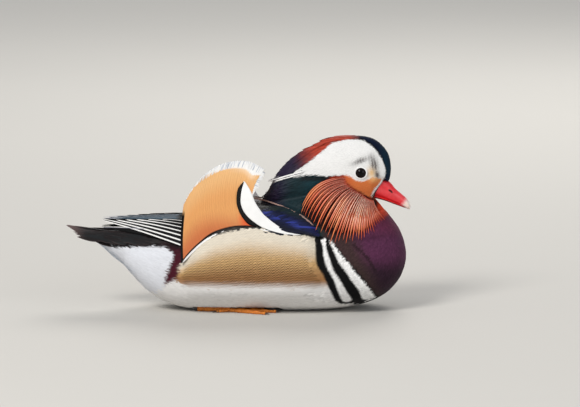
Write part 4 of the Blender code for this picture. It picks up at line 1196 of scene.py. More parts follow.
class Markings:
    """Paints the skin and the coat alike, from a point's place: the markings and some painted shade."""

    def head(self, points: Array, wander: Array) -> Array:
        """Paints the head and neck.

        Args:
            points: places in the bird's frame.
            wander: how far each feather carries its marking, in millimetres.

        Returns:
            Linear tones, one row for each point.
        """
        spots = plate(points) + wander
        x, w = spots[:, 0], spots[:, 1]
        gape = line_distance(spots, np.array(GAPE))
        rim = line_distance(spots, along(LORAL_LINE, np.linspace(0, 1, 30)))
        # under the hackles, painted shade that shows in their gaps, redder higher up
        ruff = mix(Tone.RUFF_GAP_SHADE, Tone.RUFF_RED, 0.6 * ramp(112, 134, w))
        return layered(
            Tone.GREEN_BLACK,
            (Tone.PURPLE_BLACK, ramp(58, 34, x) * 0.8),
            (Tone.TEAL, 0.25 * ramp(112, 126, w) * ramp(60, 80, x)),
            (Tone.BLACK, 0.85 * ramp(4.5, 0.5, np.abs(w - 136.5)) * ramp(60, 70, x)),
            (ruff, RUFF_AREA.mask(spots, 1.2)),
            (self.throat(x, w), ramp(136, 142, x) * ramp(120, 116, w)),
            (self.crown(x, w), CROWN.mask(spots, 0.6)),
            (self.face(x, w), FACE_PATCH.mask(spots, 1.2)),
            (self.white(x, w), WHITE_FACE.mask(spots, 0.8)),
            (Tone.BLACK, 0.9 * ramp(1.5, 0.6, gape)),
            (Tone.WHITE, ramp(1.15, 0.55, rim)),
        )

    def crown(self, x: Array, w: Array) -> Array:
        """Paints the crown: dark crest, chestnut top and blue-green forehead.

        Args:
            x: how far ahead on the side plate.
            w: how high on the side plate.

        Returns:
            Linear tones, one row for each spot.
        """
        streaks = 0.5 + 0.5 * np.sin(w * 1.1 + x * 0.55)
        along_crest = x + 9 * (w - 158) / 24
        front = x - (182 - w) * 0.25
        edge = line_distance(np.column_stack([x, w]), np.array(WHITE_FACE.knots[8:17]))
        return layered(
            Tone.PURPLE_BLACK,
            (Tone.CHESTNUT_DARK, ramp(54, 70, along_crest) * (0.35 + 0.65 * streaks)),
            (Tone.CHESTNUT, ramp(62, 86, along_crest)),
            (Tone.CHESTNUT_DARK, 0.8 * ramp(116, 123, front)),
            (Tone.NAVY, ramp(122, 129, front)),
            (Tone.BLACK, 0.75 * ramp(122, 129, front) * ramp(3.4, 1.2, edge)),
            (Tone.TEAL, 0.18 * ramp(146, 156, x) * ramp(134, 146, w)),
        )

    def white(self, x: Array, w: Array) -> Array:
        """Paints the white face with gold lores and grey-brown painted shade above the eye, on the lores
        and before the eye.

        Args:
            x: how far ahead on the side plate.
            w: how high on the side plate.

        Returns:
            Linear tones, one row for each spot.
        """
        streak = 0.5 + 0.5 * np.sin(x * 2.1 + w * 0.3)
        above_eye = np.exp(-(((x - 128) / 8.5) ** 2) - ((w - 155.4 - (x - 129) * 0.36) / 2.9) ** 2)
        lores = np.exp(-(((x - 142.8 + (w - 150) * 0.22) / 4.0) ** 2) - ((w - 152.0) / 8.5) ** 2)
        spot = np.exp(-(((x - 145.8) / 2.4) ** 2) - ((w - 139.6) / 3.8) ** 2)
        # grey-brown painted shade above the eye, on the lores and in a spot before the eye, streaked along
        # the feathers
        painted_shade = np.clip(1.0 * above_eye + 1.2 * lores, 0, 1) * (0.45 + 0.55 * streak) + 0.9 * spot
        gold = np.exp(-(((x - 140.0) / 4.6) ** 2) - ((w - 142.5) / 6.0) ** 2)
        return layered(Tone.WHITE, (Tone.FACE_GOLD, 0.85 * gold), (Tone.FACE_SHADE, np.clip(painted_shade, 0, 0.92)))

    def face(self, x: Array, w: Array) -> Array:
        """Paints the orange cheek, paler towards the lores.

        Args:
            x: how far ahead on the side plate.
            w: how high on the side plate.

        Returns:
            Linear tones, one row for each point.
        """
        return layered(
            Tone.FACE_ORANGE,
            (Tone.RUFF_RED, 0.35 * ramp(124, 114, x)),
            (Tone.FACE_GOLD, 0.6 * ramp(10, 3, np.hypot(x - 142, w - 139))),
            (Tone.FACE_GOLD, 0.35 * ramp(146, 150, x - (w - 130) * 0.4)),
        )

    def throat(self, x: Array, w: Array) -> Array:
        """Paints the throat: painted shade under the gape, then orange-red.

        Args:
            x: how far ahead on the side plate.
            w: how high on the side plate.

        Returns:
            Linear tones, one row for each point.
        """
        gap = np.hypot((x - 140.5) * 0.9, w - 110)
        # dark painted shade under the gape
        return layered(Tone.RUFF_RED, (tone(58, 30, 22), ramp(7.5, 3.5, gap)),
            (Tone.BREAST_RED, ramp(104, 88, w)))

    def body(self, points: Array, wander: Array) -> Array:
        """Paints the trunk.

        Args:
            points: places in the bird's frame.
            wander: how far each feather carries its marking, in millimetres.

        Returns:
            Linear tones, one row for each point.
        """
        spots = plate(points) + wander
        x, w = spots[:, 0], spots[:, 1]
        breast = self.breast(x, w, np.abs(points[:, 1]) / MM)
        maroon = mix(Tone.MAROON, Tone.TAIL, 0.85 * ramp(56, 66, w))
        return layered(
            Tone.BACK,
            (Tone.BACK_GREEN, ramp(10, 70, x)),
            (breast, ramp(84, 92, x - (w - 70) * 0.1) * ramp(92, 86, w - x * 0.16 + 14)),
            (breast, ramp(132, 140, x)),
            (Tone.BELLY, ramp(27, 20, w + ramp(76, 178, x) * 20)),
            (Tone.TAIL, ramp(-52, -58, x) * ramp(36, 44, w)),
            (Tone.BELLY, ramp(-46, -56, x) * ramp(44, 36, w)),
            (self.flank(x, w), FLANK_AREA.mask(spots, 1.2)),
            (maroon, MAROON_AREA.mask(spots, 2.6)),
            (self.vent(x, w), VENT_AREA.mask(spots, 1.4)),
            (Tone.BELLY, ramp(16, 10, w) * ramp(-40, -60, x)),
            (Tone.BLACK, BLACK_ZONE.mask(spots, 0.7)),
            (Tone.WHITE, np.maximum(BAR_REAR.mask(spots, 0.6), BAR_FRONT.mask(spots, 0.6))),
        )

    def breast(self, x: Array, w: Array, y: Array) -> Array:
        """Paints the purple breast, browner towards the bars, darker low down, with painted shade along the
        groove.

        Args:
            x: how far ahead on the side plate.
            w: how high on the side plate.
            y: how far out from the bird's middle, in millimetres.

        Returns:
            Linear tones, one row for each spot.
        """
        groove = line_distance(np.column_stack([x, w]), along(GROOVE, np.linspace(0, 1, 20)))
        return layered(
            Tone.BREAST,
            (Tone.BREAST_RED, 0.55 * ramp(70, 88, w)),
            (Tone.BREAST_LOW, ramp(58, 34, w)),
            (Tone.BREAST_BROWN, 0.9 * ramp(142, 118, x + (w - 55) * 0.45)),
            # painted shade along the groove
            (tone(28, 16, 18), 0.7 * ramp(2.2, 0.6, groove) * ramp(10, 20, y)),
        )

    def down_flank(self, x: Array, w: Array) -> Array:
        """Tells how far down the flank a spot is, 0 at its upper edge."""
        edge = np.interp(x, [-60, -48, -24, 10, 40, 81], [44, 57, 74, 83, 80, 73])
        return (edge - w) / np.maximum(edge - 30, 8)

    def flank(self, x: Array, w: Array) -> Array:
        """Paints the flank: near white on top, gold in the middle, tan below.

        Args:
            x: how far ahead on the side plate.
            w: how high on the side plate.

        Returns:
            Linear tones, one row for each point.
        """
        down = self.down_flank(x, w)
        return layered(
            Tone.FLANK_PALE,
            (Tone.FLANK_GOLD, ramp(0.1, 0.62, down)),
            (Tone.FLANK_TAN, ramp(0.55, 1.0, down)),
            (Tone.FLANK_PALE, 0.5 * ramp(66, 78, x) * ramp(46, 60, w)),
            (Tone.BELLY, ramp(30, 19, w)),
        )

    def flank_streak(self, points: Array) -> Array:
        """Tells how strong the fine wavy lines of the flank are.

        Args:
            points: places in the bird's frame, one row each.

        Returns:
            A strength of 0 to 1 for each point.
        """
        spots = plate(points)
        down = self.down_flank(spots[:, 0], spots[:, 1])
        held = FLANK_AREA.mask(spots, 1.0)
        return held * (0.12 + 0.68 * ramp(0.2, 0.8, down)) * ramp(19, 27, spots[:, 1])

    def vent(self, x: Array, w: Array) -> Array:
        """Paints the white vent, with painted blue-grey shade along its lower rear edge."""
        edge = np.interp(x, [-165, -140, -113], [74, 60, 36])
        return mix(Tone.VENT, Tone.VENT_SHADE, 0.7 * ramp(9, 1, w - edge) * ramp(-105, -120, x))


MARKINGS = Markings()


# Feathers

SLIM = np.array([(-1.0, 0.0), (0.0, 0.6), (1.0, 0.0), (0.0, -0.4)])
BROAD = np.array([(-1.0, 0.0), (-0.5, 0.5), (0.0, 0.8), (0.5, 0.5), (1.0, 0.0), (0.0, -0.3)])


class Shape(Enum):
    """How wide a feather is from its root to its tip, as shares of its half width."""

    HAIR = (0.5, 0.9, 1.0, 0.75, 0.0)
    SCALE = (0.45, 0.85, 1.0, 0.95, 0.62, 0.0)
    LANCE = (0.3, 0.45, 0.62, 0.85, 1.0, 0.85, 0.5, 0.0)
    BLADE = (0.6, 0.95, 1.0, 1.0, 1.0, 0.98, 0.92, 0.78, 0.48, 0.0)

    def halves(self, rows: int) -> Array:
        """Reads the half width at evenly spaced rows."""
        values = np.array(self.value)
        return np.interp(np.linspace(0, 1, rows), np.linspace(0, 1, len(values)), values)


@dataclass
class Plumage:
    """Many closed feathers gathered into one mesh."""

    name: str
    section: Array = field(default_factory=lambda: SLIM)
    side: float = 1.0  # feathers are laid on the left, and mirrored where this is -1
    soft: float = 0.0  # how far the light on a feather is that of the body under it
    points: list[Array] = field(default_factory=list)
    faces: dict[int, list[Array]] = field(default_factory=dict)
    data: dict[str, list[Array]] = field(default_factory=dict)
    count: int = 0

    def add(self, paths: Array, outs: Array, halves: Array, thick: float, paint: Painter, seeds: Array,
            camber: float = 0.2, streaks: Array | None = None, places: Array | None = None,
            by_row: bool = True) -> None:
        """Adds feathers that all have the same number of rows.

        Args:
            paths: feathers by rows by 3, from root to tip.
            outs: which way each row faces.
            halves: half width of each row, or of each feather's rows, in metres.
            thick: thickness of the vane in metres.
            paint: gives the tones from places, shares across and along, and seeds.
            seeds: a number of 0 to 1 for each feather.
            camber: how far the edges drop, as a share of the half width.
            streaks: strength of the marks for each feather, or for each of its rows.
            places: bake place of each root.
            by_row: paints whole rows alike, which is quicker.
        """
        count, rows = paths.shape[:2]
        sides = len(self.section)
        halves = np.broadcast_to(np.asarray(halves, float), (count, rows))
        ahead = unit(np.gradient(paths, axis=1))
        across = unit(np.cross(ahead, outs))
        up = np.cross(across, ahead)
        s, t = self.section[:, 0], self.section[:, 1]
        v = np.linspace(0, 1, rows)
        depth = thick * (1 - 0.5 * v)[None, :-1, None] * t
        drop = -camber * halves[:, :-1, None] * s**2
        rings = paths[:, :-1, None] + across[:, :-1, None] * (halves[:, :-1, None] * s)[..., None]
        rings = rings + up[:, :-1, None] * (depth + drop)[..., None]
        tips = paths[:, -1:] - up[:, -1:] * (camber * halves[:, -2, None, None] * 0.4)
        points = np.concatenate([rings.reshape(count, -1, 3), tips], 1)
        each = points.shape[1]
        s_all = np.append(np.tile(s, rows - 1), 0.0)
        v_all = np.append(np.repeat(v[:-1], sides), 1.0)
        t_all = np.append(np.tile(np.sign(t), rows - 1), 0.0)
        wide = np.append(np.repeat(halves[:, :-1], sides, axis=1), np.zeros((count, 1)), axis=1)
        long = np.linalg.norm(np.diff(paths, axis=1), axis=2).sum(1)
        seed_all = np.repeat(seeds[:, None], each, 1)
        bend = across[..., None, :] * (2 * camber * s)[:, None]
        facing = up[..., None, :] + bend + outs[..., None, :] * self.soft
        self.keep("normal", self.by_point(unit(facing), sides).reshape(-1, 3))
        if by_row:
            flat = paths.reshape(-1, 3)
            tones = paint(flat, np.zeros(len(flat)), np.tile(v, count), np.repeat(seeds, rows))
            tones = self.by_point(np.repeat(tones.reshape(count, rows, 1, 3), sides, 2), sides)
        else:
            tones = paint(points.reshape(-1, 3), np.tile(s_all, count), np.tile(v_all, count),
                seed_all.ravel())
        s_rows, v_rows = np.tile(s_all, count), np.tile(v_all, count)
        self.keep("tone", tones.reshape(-1, 3))
        self.keep("vane", np.column_stack([s_rows, v_rows, seed_all.ravel()]))
        span = np.stack([s_all * wide, v_all * long[:, None], np.zeros_like(wide)], -1)
        self.keep("span", span.reshape(-1, 3))
        streaks = np.ones(count) if streaks is None else streaks
        rowed = np.broadcast_to(streaks.reshape(count, -1), (count, rows))
        self.keep("streak", self.by_point(np.repeat(rowed[..., None, None], sides, 2), sides).ravel())
        if places is not None:
            offset = np.column_stack([s_all * 0.5, v_all - 0.5 + t_all * 0.06]) * UV_PATCH
            self.keep("place", (places[:, None] + offset).reshape(-1, 2))
        self.weave(count, rows, sides, each)
        self.points.append(points.reshape(-1, 3))
        self.count += count * each

    def by_point(self, values: Array, sides: int) -> Array:
        """Turns values of each row and side into values of each point, the tip being one point."""
        count, rows = values.shape[:2]
        return np.concatenate([values[:, :-1].reshape(count, (rows - 1) * sides, -1), values[:, -1, :1]], 1)

    def keep(self, name: str, values: Array) -> None:
        """Adds values to one of the mesh's attributes."""
        self.data.setdefault(name, []).append(values)

    def weave(self, count: int, rows: int, sides: int, each: int) -> None:
        """Lists the faces of feathers whose points follow each other.

        Args:
            count: how many feathers.
            rows: how many rows each has.
            sides: how many points each row has.
            each: how many points each feather has.
        """
        k = np.arange(sides)
        n = (k + 1) % sides
        i = np.arange(rows - 2)[:, None] * sides
        walls = np.stack([i + k, i + n, i + n + sides, i + k + sides], -1).reshape(-1, 4)
        last = (rows - 2) * sides
        tips = np.stack([last + k, last + n, np.full(sides, each - 1)], -1)
        root = np.append(0, np.arange(sides - 1, 0, -1))[None]
        start = self.count + np.arange(count)[:, None, None] * each
        for block in (walls, tips, root):
            size = block.shape[1]
            self.faces.setdefault(size, []).append((block[None] + start).reshape(-1, size))

    def finish(self, look: Finish, slot: str, *nodes: str) -> Thing:
        """Makes the mesh with its attributes and dresses it.

        Args:
            look: the piece's finish.
            slot: the slot that the piece fills.
            *nodes: the solids that the piece stands for.

        Returns:
            The piece.
        """
        points = np.concatenate(self.points) * [1.0, self.side, 1.0]
        low, high = (np.array(corner) for corner in CAD_BOX)
        points = np.clip(points, low + 1e-5, high - 1e-5)
        blocks = [np.concatenate(blocks) for blocks in self.faces.values()]
        if self.side < 0:
            blocks = [block[:, ::-1] for block in blocks]
        made = mesh_object(self.name, points, blocks)
        put_normals(made.data, np.concatenate(self.data["normal"]) * [1.0, self.side, 1.0])
        put_tone(made, np.concatenate(self.data["tone"]))
        for key, kind in (("vane", "FLOAT_VECTOR"), ("span", "FLOAT_VECTOR"), ("streak", "FLOAT")):
            put_attribute(made, key, kind, np.concatenate(self.data[key]))
        if "place" in self.data:
            put_uv(made, np.concatenate(self.data["place"]))
        return dress(made, look, slot, *nodes)


def plain_marks(thing: Thing, tones: Array, streak: Array | float = 0.0) -> None:
    """Gives a mesh that is not made of feathers the attributes that its finish reads.

    Args:
        thing: the object.
        tones: one linear tone for each point, or one for all.
        streak: strength of the marks.
    """
    count = len(thing.data.vertices)
    put_tone(thing, np.broadcast_to(tones, (count, 3)))
    put_attribute(thing, "vane", "FLOAT_VECTOR", np.full((count, 3), 0.5))
    put_attribute(thing, "span", "FLOAT_VECTOR", np.zeros((count, 3)))
    put_attribute(thing, "streak", "FLOAT", np.broadcast_to(streak, count))


# Skin


def grid_normals(grid: Array) -> Array:
    """Finds outward normals of closed rings of points.

    Args:
        grid: rings of points, each ring closed.

    Returns:
        A direction of length one for each point.
    """
    along_body = np.gradient(grid, axis=0)
    wrapped = np.concatenate([grid[:, -1:], grid, grid[:, :1]], 1)
    round_body = (wrapped[:, 2:] - wrapped[:, :-2]) / 2
    normals = np.cross(round_body, along_body)
    sized = np.linalg.norm(normals, axis=-1, keepdims=True)
    ends = np.zeros_like(grid)
    middle = grid.mean((0, 1))
    ends[..., 0] = np.sign(grid[..., 0] - middle[0])
    normals = np.where(sized > 1e-12, normals / np.maximum(sized, 1e-12), ends)
    out = grid - grid.mean(1, keepdims=True)
    flip = np.sign((normals * out).sum(-1).mean())
    return np.where(sized > 1e-12, normals * flip, normals)


@dataclass
class Ground:
    """The skin's surface, for laying feathers on."""

    thing: Thing
    tree: BVHTree = field(init=False)
    corners: Array = field(init=False)
    normals: Array = field(init=False)
    places: Array = field(init=False)

    def __post_init__(self) -> None:
        """Splits the skin into triangles and builds the search tree."""
        mesh = self.thing.data
        mesh.calc_loop_triangles()
        verts = fetched(mesh.loop_triangles, "vertices", 3, np.int32)
        loops = fetched(mesh.loop_triangles, "loops", 3, np.int32)
        points = points_of(self.thing)
        self.corners = points[verts]
        self.normals = fetched(mesh.vertices, "normal", 3)[verts].astype(float)
        self.places = fetched(mesh.uv_layers["OFBake"].uv, "vector", 2)[loops].astype(float)
        self.tree = BVHTree.FromPolygons(points.tolist(), verts.tolist())

    def snap(self, points: Array) -> tuple[Array, Array, Array]:
        """Moves points to the nearest places on the skin.

        Args:
            points: places near the skin.

        Returns:
            The places on the skin, their smooth normals and their bake places.
        """
        found = [self.tree.find_nearest(Vector(p)) for p in points]
        spots = np.array([f[0] for f in found])
        index = np.array([f[2] for f in found])
        weights = self.shares(spots, index)
        normals = unit((weights[..., None] * self.normals[index]).sum(1))
        places = (weights[..., None] * self.places[index]).sum(1)
        return spots, normals, places

    def shares(self, spots: Array, index: Array) -> Array:
        """Finds how near each spot is to its triangle's corners.

        Args:
            spots: places on the skin.
            index: the triangle of each.

        Returns:
            Three shares for each spot, which add up to one.
        """
        a, b, c = (self.corners[index, k] for k in range(3))
        normal = np.cross(b - a, c - a)
        area = np.maximum((normal**2).sum(1), 1e-20)
        first = (np.cross(b - spots, c - spots) * normal).sum(1) / area
        second = (np.cross(c - spots, a - spots) * normal).sum(1) / area
        weights = np.clip(np.stack([first, second, 1 - first - second], 1), 0, 1)
        return weights / weights.sum(1, keepdims=True)

    def sprinkle(self, count: int, rng: Rng) -> Array:
        """Spreads points evenly over the skin.

        Args:
            count: how many points.
            rng: draws the random numbers.

        Returns:
            The points.
        """
        a, b, c = (self.corners[:, k] for k in range(3))
        areas = np.linalg.norm(np.cross(b - a, c - a), axis=1)
        index = rng.choice(len(areas), count, p=areas / areas.sum())
        u, v = np.sqrt(rng.random(count)), rng.random(count)
        weights = np.stack([1 - u, u * (1 - v), u * v], 1)
        return (weights[..., None] * self.corners[index]).sum(1)


HEAD_AREA = Outline(((-20.0, 112.0), (18.0, 111.0), (45.0, 106.5), (66.0, 100.0), (80.0, 88.0),
    (93.0, 79.8), (107.1, 78.6), (120.8, 79.4), (134.6, 83.0), (146.0, 88.5), (156.0, 97.0),
    (164.0, 103.0), (182.0, 104.0), (210.0, 150.0), (190.0, 230.0), (60.0, 240.0), (-20.0, 190.0)))


def plumage_tone(points: Array, wander: Array | float = 0.0) -> Array:
    """Paints any place of the body: the head's tones above, and the trunk's below.

    Args:
        points: places in the bird's frame, one row each.
        wander: how far each feather carries its marking, in millimetres.

    Returns:
        Linear tones, one row for each point.
    """
    wander = np.broadcast_to(wander, (len(points), 2))
    head = HEAD_AREA.mask(plate(points) + wander, 1.0)
    tones = np.zeros((len(points), 3))
    upper, lower = head > 0, head < 1
    if upper.any():
        tones[upper] += MARKINGS.head(points[upper], wander[upper]) * head[upper, None]
    if lower.any():
        tones[lower] += MARKINGS.body(points[lower], wander[lower]) * (1 - head[lower, None])
    return tones


@dataclass
class Skin:
    """The one skin under the coat, from the bill's root to the tail."""

    depth: float = 0.0013  # how far it lies under the coat's outer form
    head_depth: float = 0.001
    voxel: float = 0.0013
    floor: float = 0.0012
    foot_low: tuple[float, float] = (-0.046, 0.019)
    foot_high: tuple[float, float] = (0.043, 0.052)
    foot_room: float = 0.0056

    def build(self) -> Thing:
        """Builds, joins, paints and unwraps the skin.

        Returns:
            The piece.
        """
        parts = [self.shell("trunk", TRUNK.grid(230, 170), self.depth, True),
            self.shell("neck", NECK.grid(60, 120), self.depth, False),
            self.shell("head", HEAD.grid(130, 96), self.head_depth, False),
            self.shell("rump", TAIL_CORE.grid(50, 72), self.depth, False)]
        skin = joined("skin", parts)
        mesh = skin.data
        modifier = skin.modifiers.new("remesh", "REMESH")
        modifier.mode = "VOXEL"
        modifier.voxel_size = self.voxel
        modifier.use_smooth_shade = True
        soften = skin.modifiers.new("soften", "SMOOTH")
        soften.iterations = 5
        soften.factor = 0.5
        self.settle(skin)
        ready = skin.evaluated_get(bpy.context.evaluated_depsgraph_get())
        skin.data = bpy.data.meshes.new_from_object(ready)
        skin.modifiers.clear()
        bpy.data.meshes.remove(mesh)
        self.level_under(skin)
        self.taper(skin)
        self.unwrap(skin)
        points = points_of(skin)
        # the skin is painted a little darker than the coat, as painted shade in the gaps between feathers
        plain_marks(skin, plumage_tone(points) * 0.92, MARKINGS.flank_streak(points))
        nodes = ("torso", "neck", "head", "flank_right", "flank_left")
        return dress(skin, SOFT_PLUME, "breast_feathers", *nodes)

    def settle(self, skin: Thing) -> None:
        """Smooths the creases between breast and neck, and between rump and tail, a good deal more.

        Args:
            skin: the skin.
        """
        first = skin.evaluated_get(bpy.context.evaluated_depsgraph_get())
        skin.data = bpy.data.meshes.new_from_object(first)
        skin.modifiers.clear()
        points = points_of(skin)
        spots = plate(points)
        share = ramp(60, 70, spots[:, 1]) * ramp(112, 102, spots[:, 1]) * ramp(94, 110, spots[:, 0])
        share += ramp(-136, -126, spots[:, 0]) * ramp(-98, -110, spots[:, 0]) * ramp(0.01, 0.02,
            points[:, 2])
        group = skin.vertex_groups.new(name="crease")
        for index in np.flatnonzero(share > 0.02):
            group.add([int(index)], float(share[index]), "REPLACE")
        crease = skin.modifiers.new("crease", "SMOOTH")
        crease.iterations = 90
        crease.factor = 0.5
        crease.vertex_group = "crease"

    def shell(self, name: str, grid: Array, depth: float, covered: bool) -> Thing:
        """Makes one part of the body, lowered by the coat's depth."""
        reach = cover(grid) - depth if covered else np.full(grid.shape[:2], -depth)
        return tube_mesh(name, grid + grid_normals(grid) * reach[..., None])

    def level_under(self, skin: Thing) -> None:
        """Flattens the belly and makes room for the tucked feet.

        Args:
            skin: the skin.
        """
        points = points_of(skin)
        x, y = points[:, 0], np.abs(points[:, 1])
        (low_x, low_y), (high_x, high_y) = self.foot_low, self.foot_high
        near_x = ramp(low_x - 0.004, low_x, x) * ramp(high_x + 0.004, high_x, x)
        near_y = ramp(low_y - 0.003, low_y, y) * ramp(high_y + 0.004, high_y, y)
        least = self.floor + (self.foot_room - self.floor) * near_x * near_y
        points[:, 2] = np.maximum(points[:, 2], least)
        move_points(skin, points)

    def taper(self, skin: Thing) -> None:
        """Narrows the cheeks and forehead to the bill, and sinks what is past the bill's root.

        Args:
            skin: the skin.
        """
        points = points_of(skin)
        near = np.flatnonzero((points[:, 0] > 0.125) & (points[:, 2] > 0.104) & (points[:, 2] < 0.16))
        spots = plate(points[near])
        line = BILL_AREA.line()
        gap = line_distance(spots, line)
        inside = BILL_AREA.mask(spots, 0.01) > 0.5
        most = np.where(inside, 8.0 - 5.5 * ramp(0.0, 1.2, gap), 8.3 + 1.25 * gap**0.85) * MM
        side = points[near, 1]
        points[near, 1] = np.sign(side) * np.minimum(np.abs(side), most)
        move_points(skin, points)

    def unwrap(self, skin: Thing) -> None:
        """Lays the skin out flat in the bake map.

        Args:
            skin: the skin.
        """
        skin.data.uv_layers.new(name="OFBake")
        for other in bpy.context.view_layer.objects:
            other.select_set(other == skin)
        bpy.context.view_layer.objects.active = skin
        bpy.ops.object.mode_set(mode="EDIT")
        bpy.ops.mesh.select_all(action="SELECT")
        bpy.ops.uv.smart_project(angle_limit=math.radians(66), island_margin=0.004)
        bpy.ops.object.mode_set(mode="OBJECT")


# Coat

FLOW_GUIDES = np.array([(157.5, 137.2, -0.2, 1.0), (158.6, 156.3, -0.25, 1.0), (149.1, 173.2, -0.8, 0.7),
    (130.2, 181.7, -1.0, 0.15), (111.3, 182.8, -1.0, -0.05), (86.1, 175.3, -1.0, -0.4),
    (65.1, 164.7, -1.0, -0.6), (48.3, 151.0, -0.8, -0.8), (33.6, 129.7, -0.6, -1.0),
    (29.4, 121.3, -0.45, -0.9), (147.0, 145.7, -0.9, 0.5), (140.7, 161.6, -0.9, 0.3),
    (122.9, 166.9, -1.0, 0.05), (101.9, 161.6, -1.0, -0.25), (80.9, 148.8, -1.0, -0.4),
    (54.6, 139.3, -1.0, -0.3), (129.2, 142.5, -1.0, 0.0), (143.9, 130.8, -0.8, -0.2),
    (130.2, 128.7, -1.0, -0.4), (91.4, 135.0, -0.9, -0.3), (65.1, 124.4, -0.9, -0.45),
    (44.1, 116.0, -0.9, -0.5), (96.6, 119.1, -0.9, -0.5), (70.4, 101.1, -0.6, -0.8),
    (91.4, 82.0, -0.3, -1.0), (117.6, 87.3, -0.1, -1.0), (143.9, 97.9, 0.15, -1.0),
    (157.5, 97.9, 0.35, -1.0), (140.7, 110.7, 0.0, -1.0), (164.9, 76.7, -0.1, -1.0),
    (170.1, 55.5, -0.3, -1.0), (149.1, 60.8, -0.5, -0.8), (128.1, 50.2, -0.8, -0.5),
    (107.1, 48.1, -0.7, -0.7), (65.1, 55.5, -1.0, -0.15), (12.6, 60.8, -1.0, -0.1),
    (-34.6, 55.5, -1.0, -0.1), (-92.4, 55.5, -1.0, 0.35), (-134.4, 71.4, -1.0, 0.45),
    (117.6, 18.4, -1.0, -0.1), (65.1, 18.4, -1.0, 0.0), (-39.9, 18.4, -1.0, 0.05),
    (44.1, 101.1, -1.0, -0.1), (2.1, 103.2, -1.0, -0.1), (-39.9, 92.6, -1.0, 0.05),
    (-81.9, 82.0, -1.0, 0.05), (49.4, 90.5, -0.9, 0.35)])


def flow(points: Array) -> Array:
    """Tells which way feathers lie, from guides on the side plate.

    Args:
        points: places in the bird's frame, one row each.

    Returns:
        A direction of length one for each point.
    """
    spots = plate(points)
    away = ((spots[:, None] - FLOW_GUIDES[None, :, :2]) ** 2).sum(2)
    weights = 1 / (away + 9) ** 2
    run = (weights[..., None] * unit(FLOW_GUIDES[:, 2:])).sum(1)
    return unit(np.column_stack([run[:, 0], np.zeros(len(run)), run[:, 1]]))


class Region(Enum):
    """Parts of the coat, by the size of their feathers."""

    FACE = 0
    CROWN = 1
    NAPE = 2
    RUFF = 3
    BREAST = 4
    BARS = 5
    FLANK = 6
    BELLY = 7
    BACK = 8
    VENT = 9
    BARE = 10


EYE = np.array((0.1285, 0.1451))
EYE_CLEAR = 0.006
BILL_AREA = Outline(((141.4, 112.0), (143.2, 119.5), (146.8, 126.0), (150.2, 131.0), (152.6, 134.8),
    (156.5, 134.0), (161.5, 131.8), (168.0, 128.0), (200.0, 125.0), (200.0, 90.0), (150.0, 95.0)),
    steps=1)


def regions(points: Array) -> Array:
    """Tells which part of the coat each place of the skin belongs to.

    Args:
        points: places of the skin.

    Returns:
        The value of the Region of each place.
    """
    spots = plate(points)
    x, w = spots[:, 0], spots[:, 1]
    code = np.full(len(points), Region.BACK.value)
    code[(x > 84) & (w < 100)] = Region.BREAST.value
    code[x > 134] = Region.BREAST.value
    code[FLANK_AREA.mask(spots) > 0.5] = Region.FLANK.value
    code[(BLACK_ZONE.mask(spots) > 0.5)] = Region.BARS.value
    code[(x < -50) & (w < 68)] = Region.VENT.value
    code[w < 20 - 13 * ramp(72, 90, x) * ramp(160, 130, x)] = Region.BELLY.value
    head = HEAD_AREA.mask(spots) > 0.5
    code[head] = Region.NAPE.value
    code[head & (RUFF_AREA.mask(spots) > 0.5)] = Region.RUFF.value
    code[head & (x > 136) & (w < 120)] = Region.RUFF.value
    crown = head & (CROWN.mask(spots) > 0.5)
    code[crown] = Region.CROWN.value
    code[crown & (x > 128)] = Region.FACE.value
    code[head & ((WHITE_FACE.mask(spots) > 0.5) | (FACE_PATCH.mask(spots) > 0.5))] = Region.FACE.value
    code[head & (np.abs(x - 152) < 6) & (w > 118) & (w < 160)] = Region.FACE.value
    bill = (BILL_AREA.mask(spots) > 0.5) & (w > 101.5 + 0.4 * (x - 141))
    eye = np.hypot(points[:, 0] - EYE[0], points[:, 2] - EYE[1]) < EYE_CLEAR
    code[bill | (eye & (np.abs(points[:, 1]) > 0.008))] = Region.BARE.value
    return code


@dataclass(frozen=True)
class Tuft:
    """The feathers of one part of the coat, in metres."""

    region: Region
    spacing: float
    length: float
    half: float
    lift: float
    look: Finish
    slot: str
    shape: Shape = Shape.SCALE
    rows: int = 4
    thick: float = 0.00025
    spread: float = 9.0  # how far they turn aside, in degrees
    sink: float = 0.0004
    wander: float = 0.5  # how far they carry the markings, in millimetres
    fade: float = 0.0  # how much lighter their tips are
    vary: float = 0.1  # how far they differ in lightness


TUFTS = (
    Tuft(Region.FACE, 0.00105, 0.0038, 0.00046, 0.00035, FACE_PLUME, "head_feathers", Shape.HAIR,
        spread=6, vary=0.03),
    Tuft(Region.CROWN, 0.0015, 0.0125, 0.00062, 0.0006, SILK_PLUME, "head_feathers", Shape.HAIR, rows=6,
        spread=4),
    Tuft(Region.NAPE, 0.0016, 0.011, 0.00075, 0.0005, SILK_PLUME, "neck_feathers", Shape.HAIR, rows=5,
        spread=4),
    Tuft(Region.RUFF, 0.0022, 0.008, 0.0011, 0.0005, SOFT_PLUME, "neck_feathers", rows=4),
    Tuft(Region.BREAST, 0.00185, 0.0075, 0.0016, 0.0005, SOFT_PLUME, "breast_feathers", rows=5,
        fade=0.16),
    Tuft(Region.BARS, 0.0013, 0.0065, 0.00095, 0.0005, SOFT_PLUME, "breast_feathers", rows=5,
        wander=0.12, vary=0.04),
    Tuft(Region.FLANK, 0.0024, 0.012, 0.0023, 0.00035, FLANK_PLUME, "flank_feathers", rows=6, wander=0.4,
        vary=0.025),
    Tuft(Region.BELLY, 0.003, 0.012, 0.0026, 0.0004, FACE_PLUME, "breast_feathers", rows=5, wander=1.5,
        vary=0.03),
    Tuft(Region.BACK, 0.0028, 0.012, 0.0024, 0.0006, SILK_PLUME, "wing_feathers", rows=5, wander=0.8),
    Tuft(Region.VENT, 0.002, 0.011, 0.0012, 0.0006, FACE_PLUME, "tail_feathers", rows=6, spread=9,
        wander=0.9, vary=0.03),
)


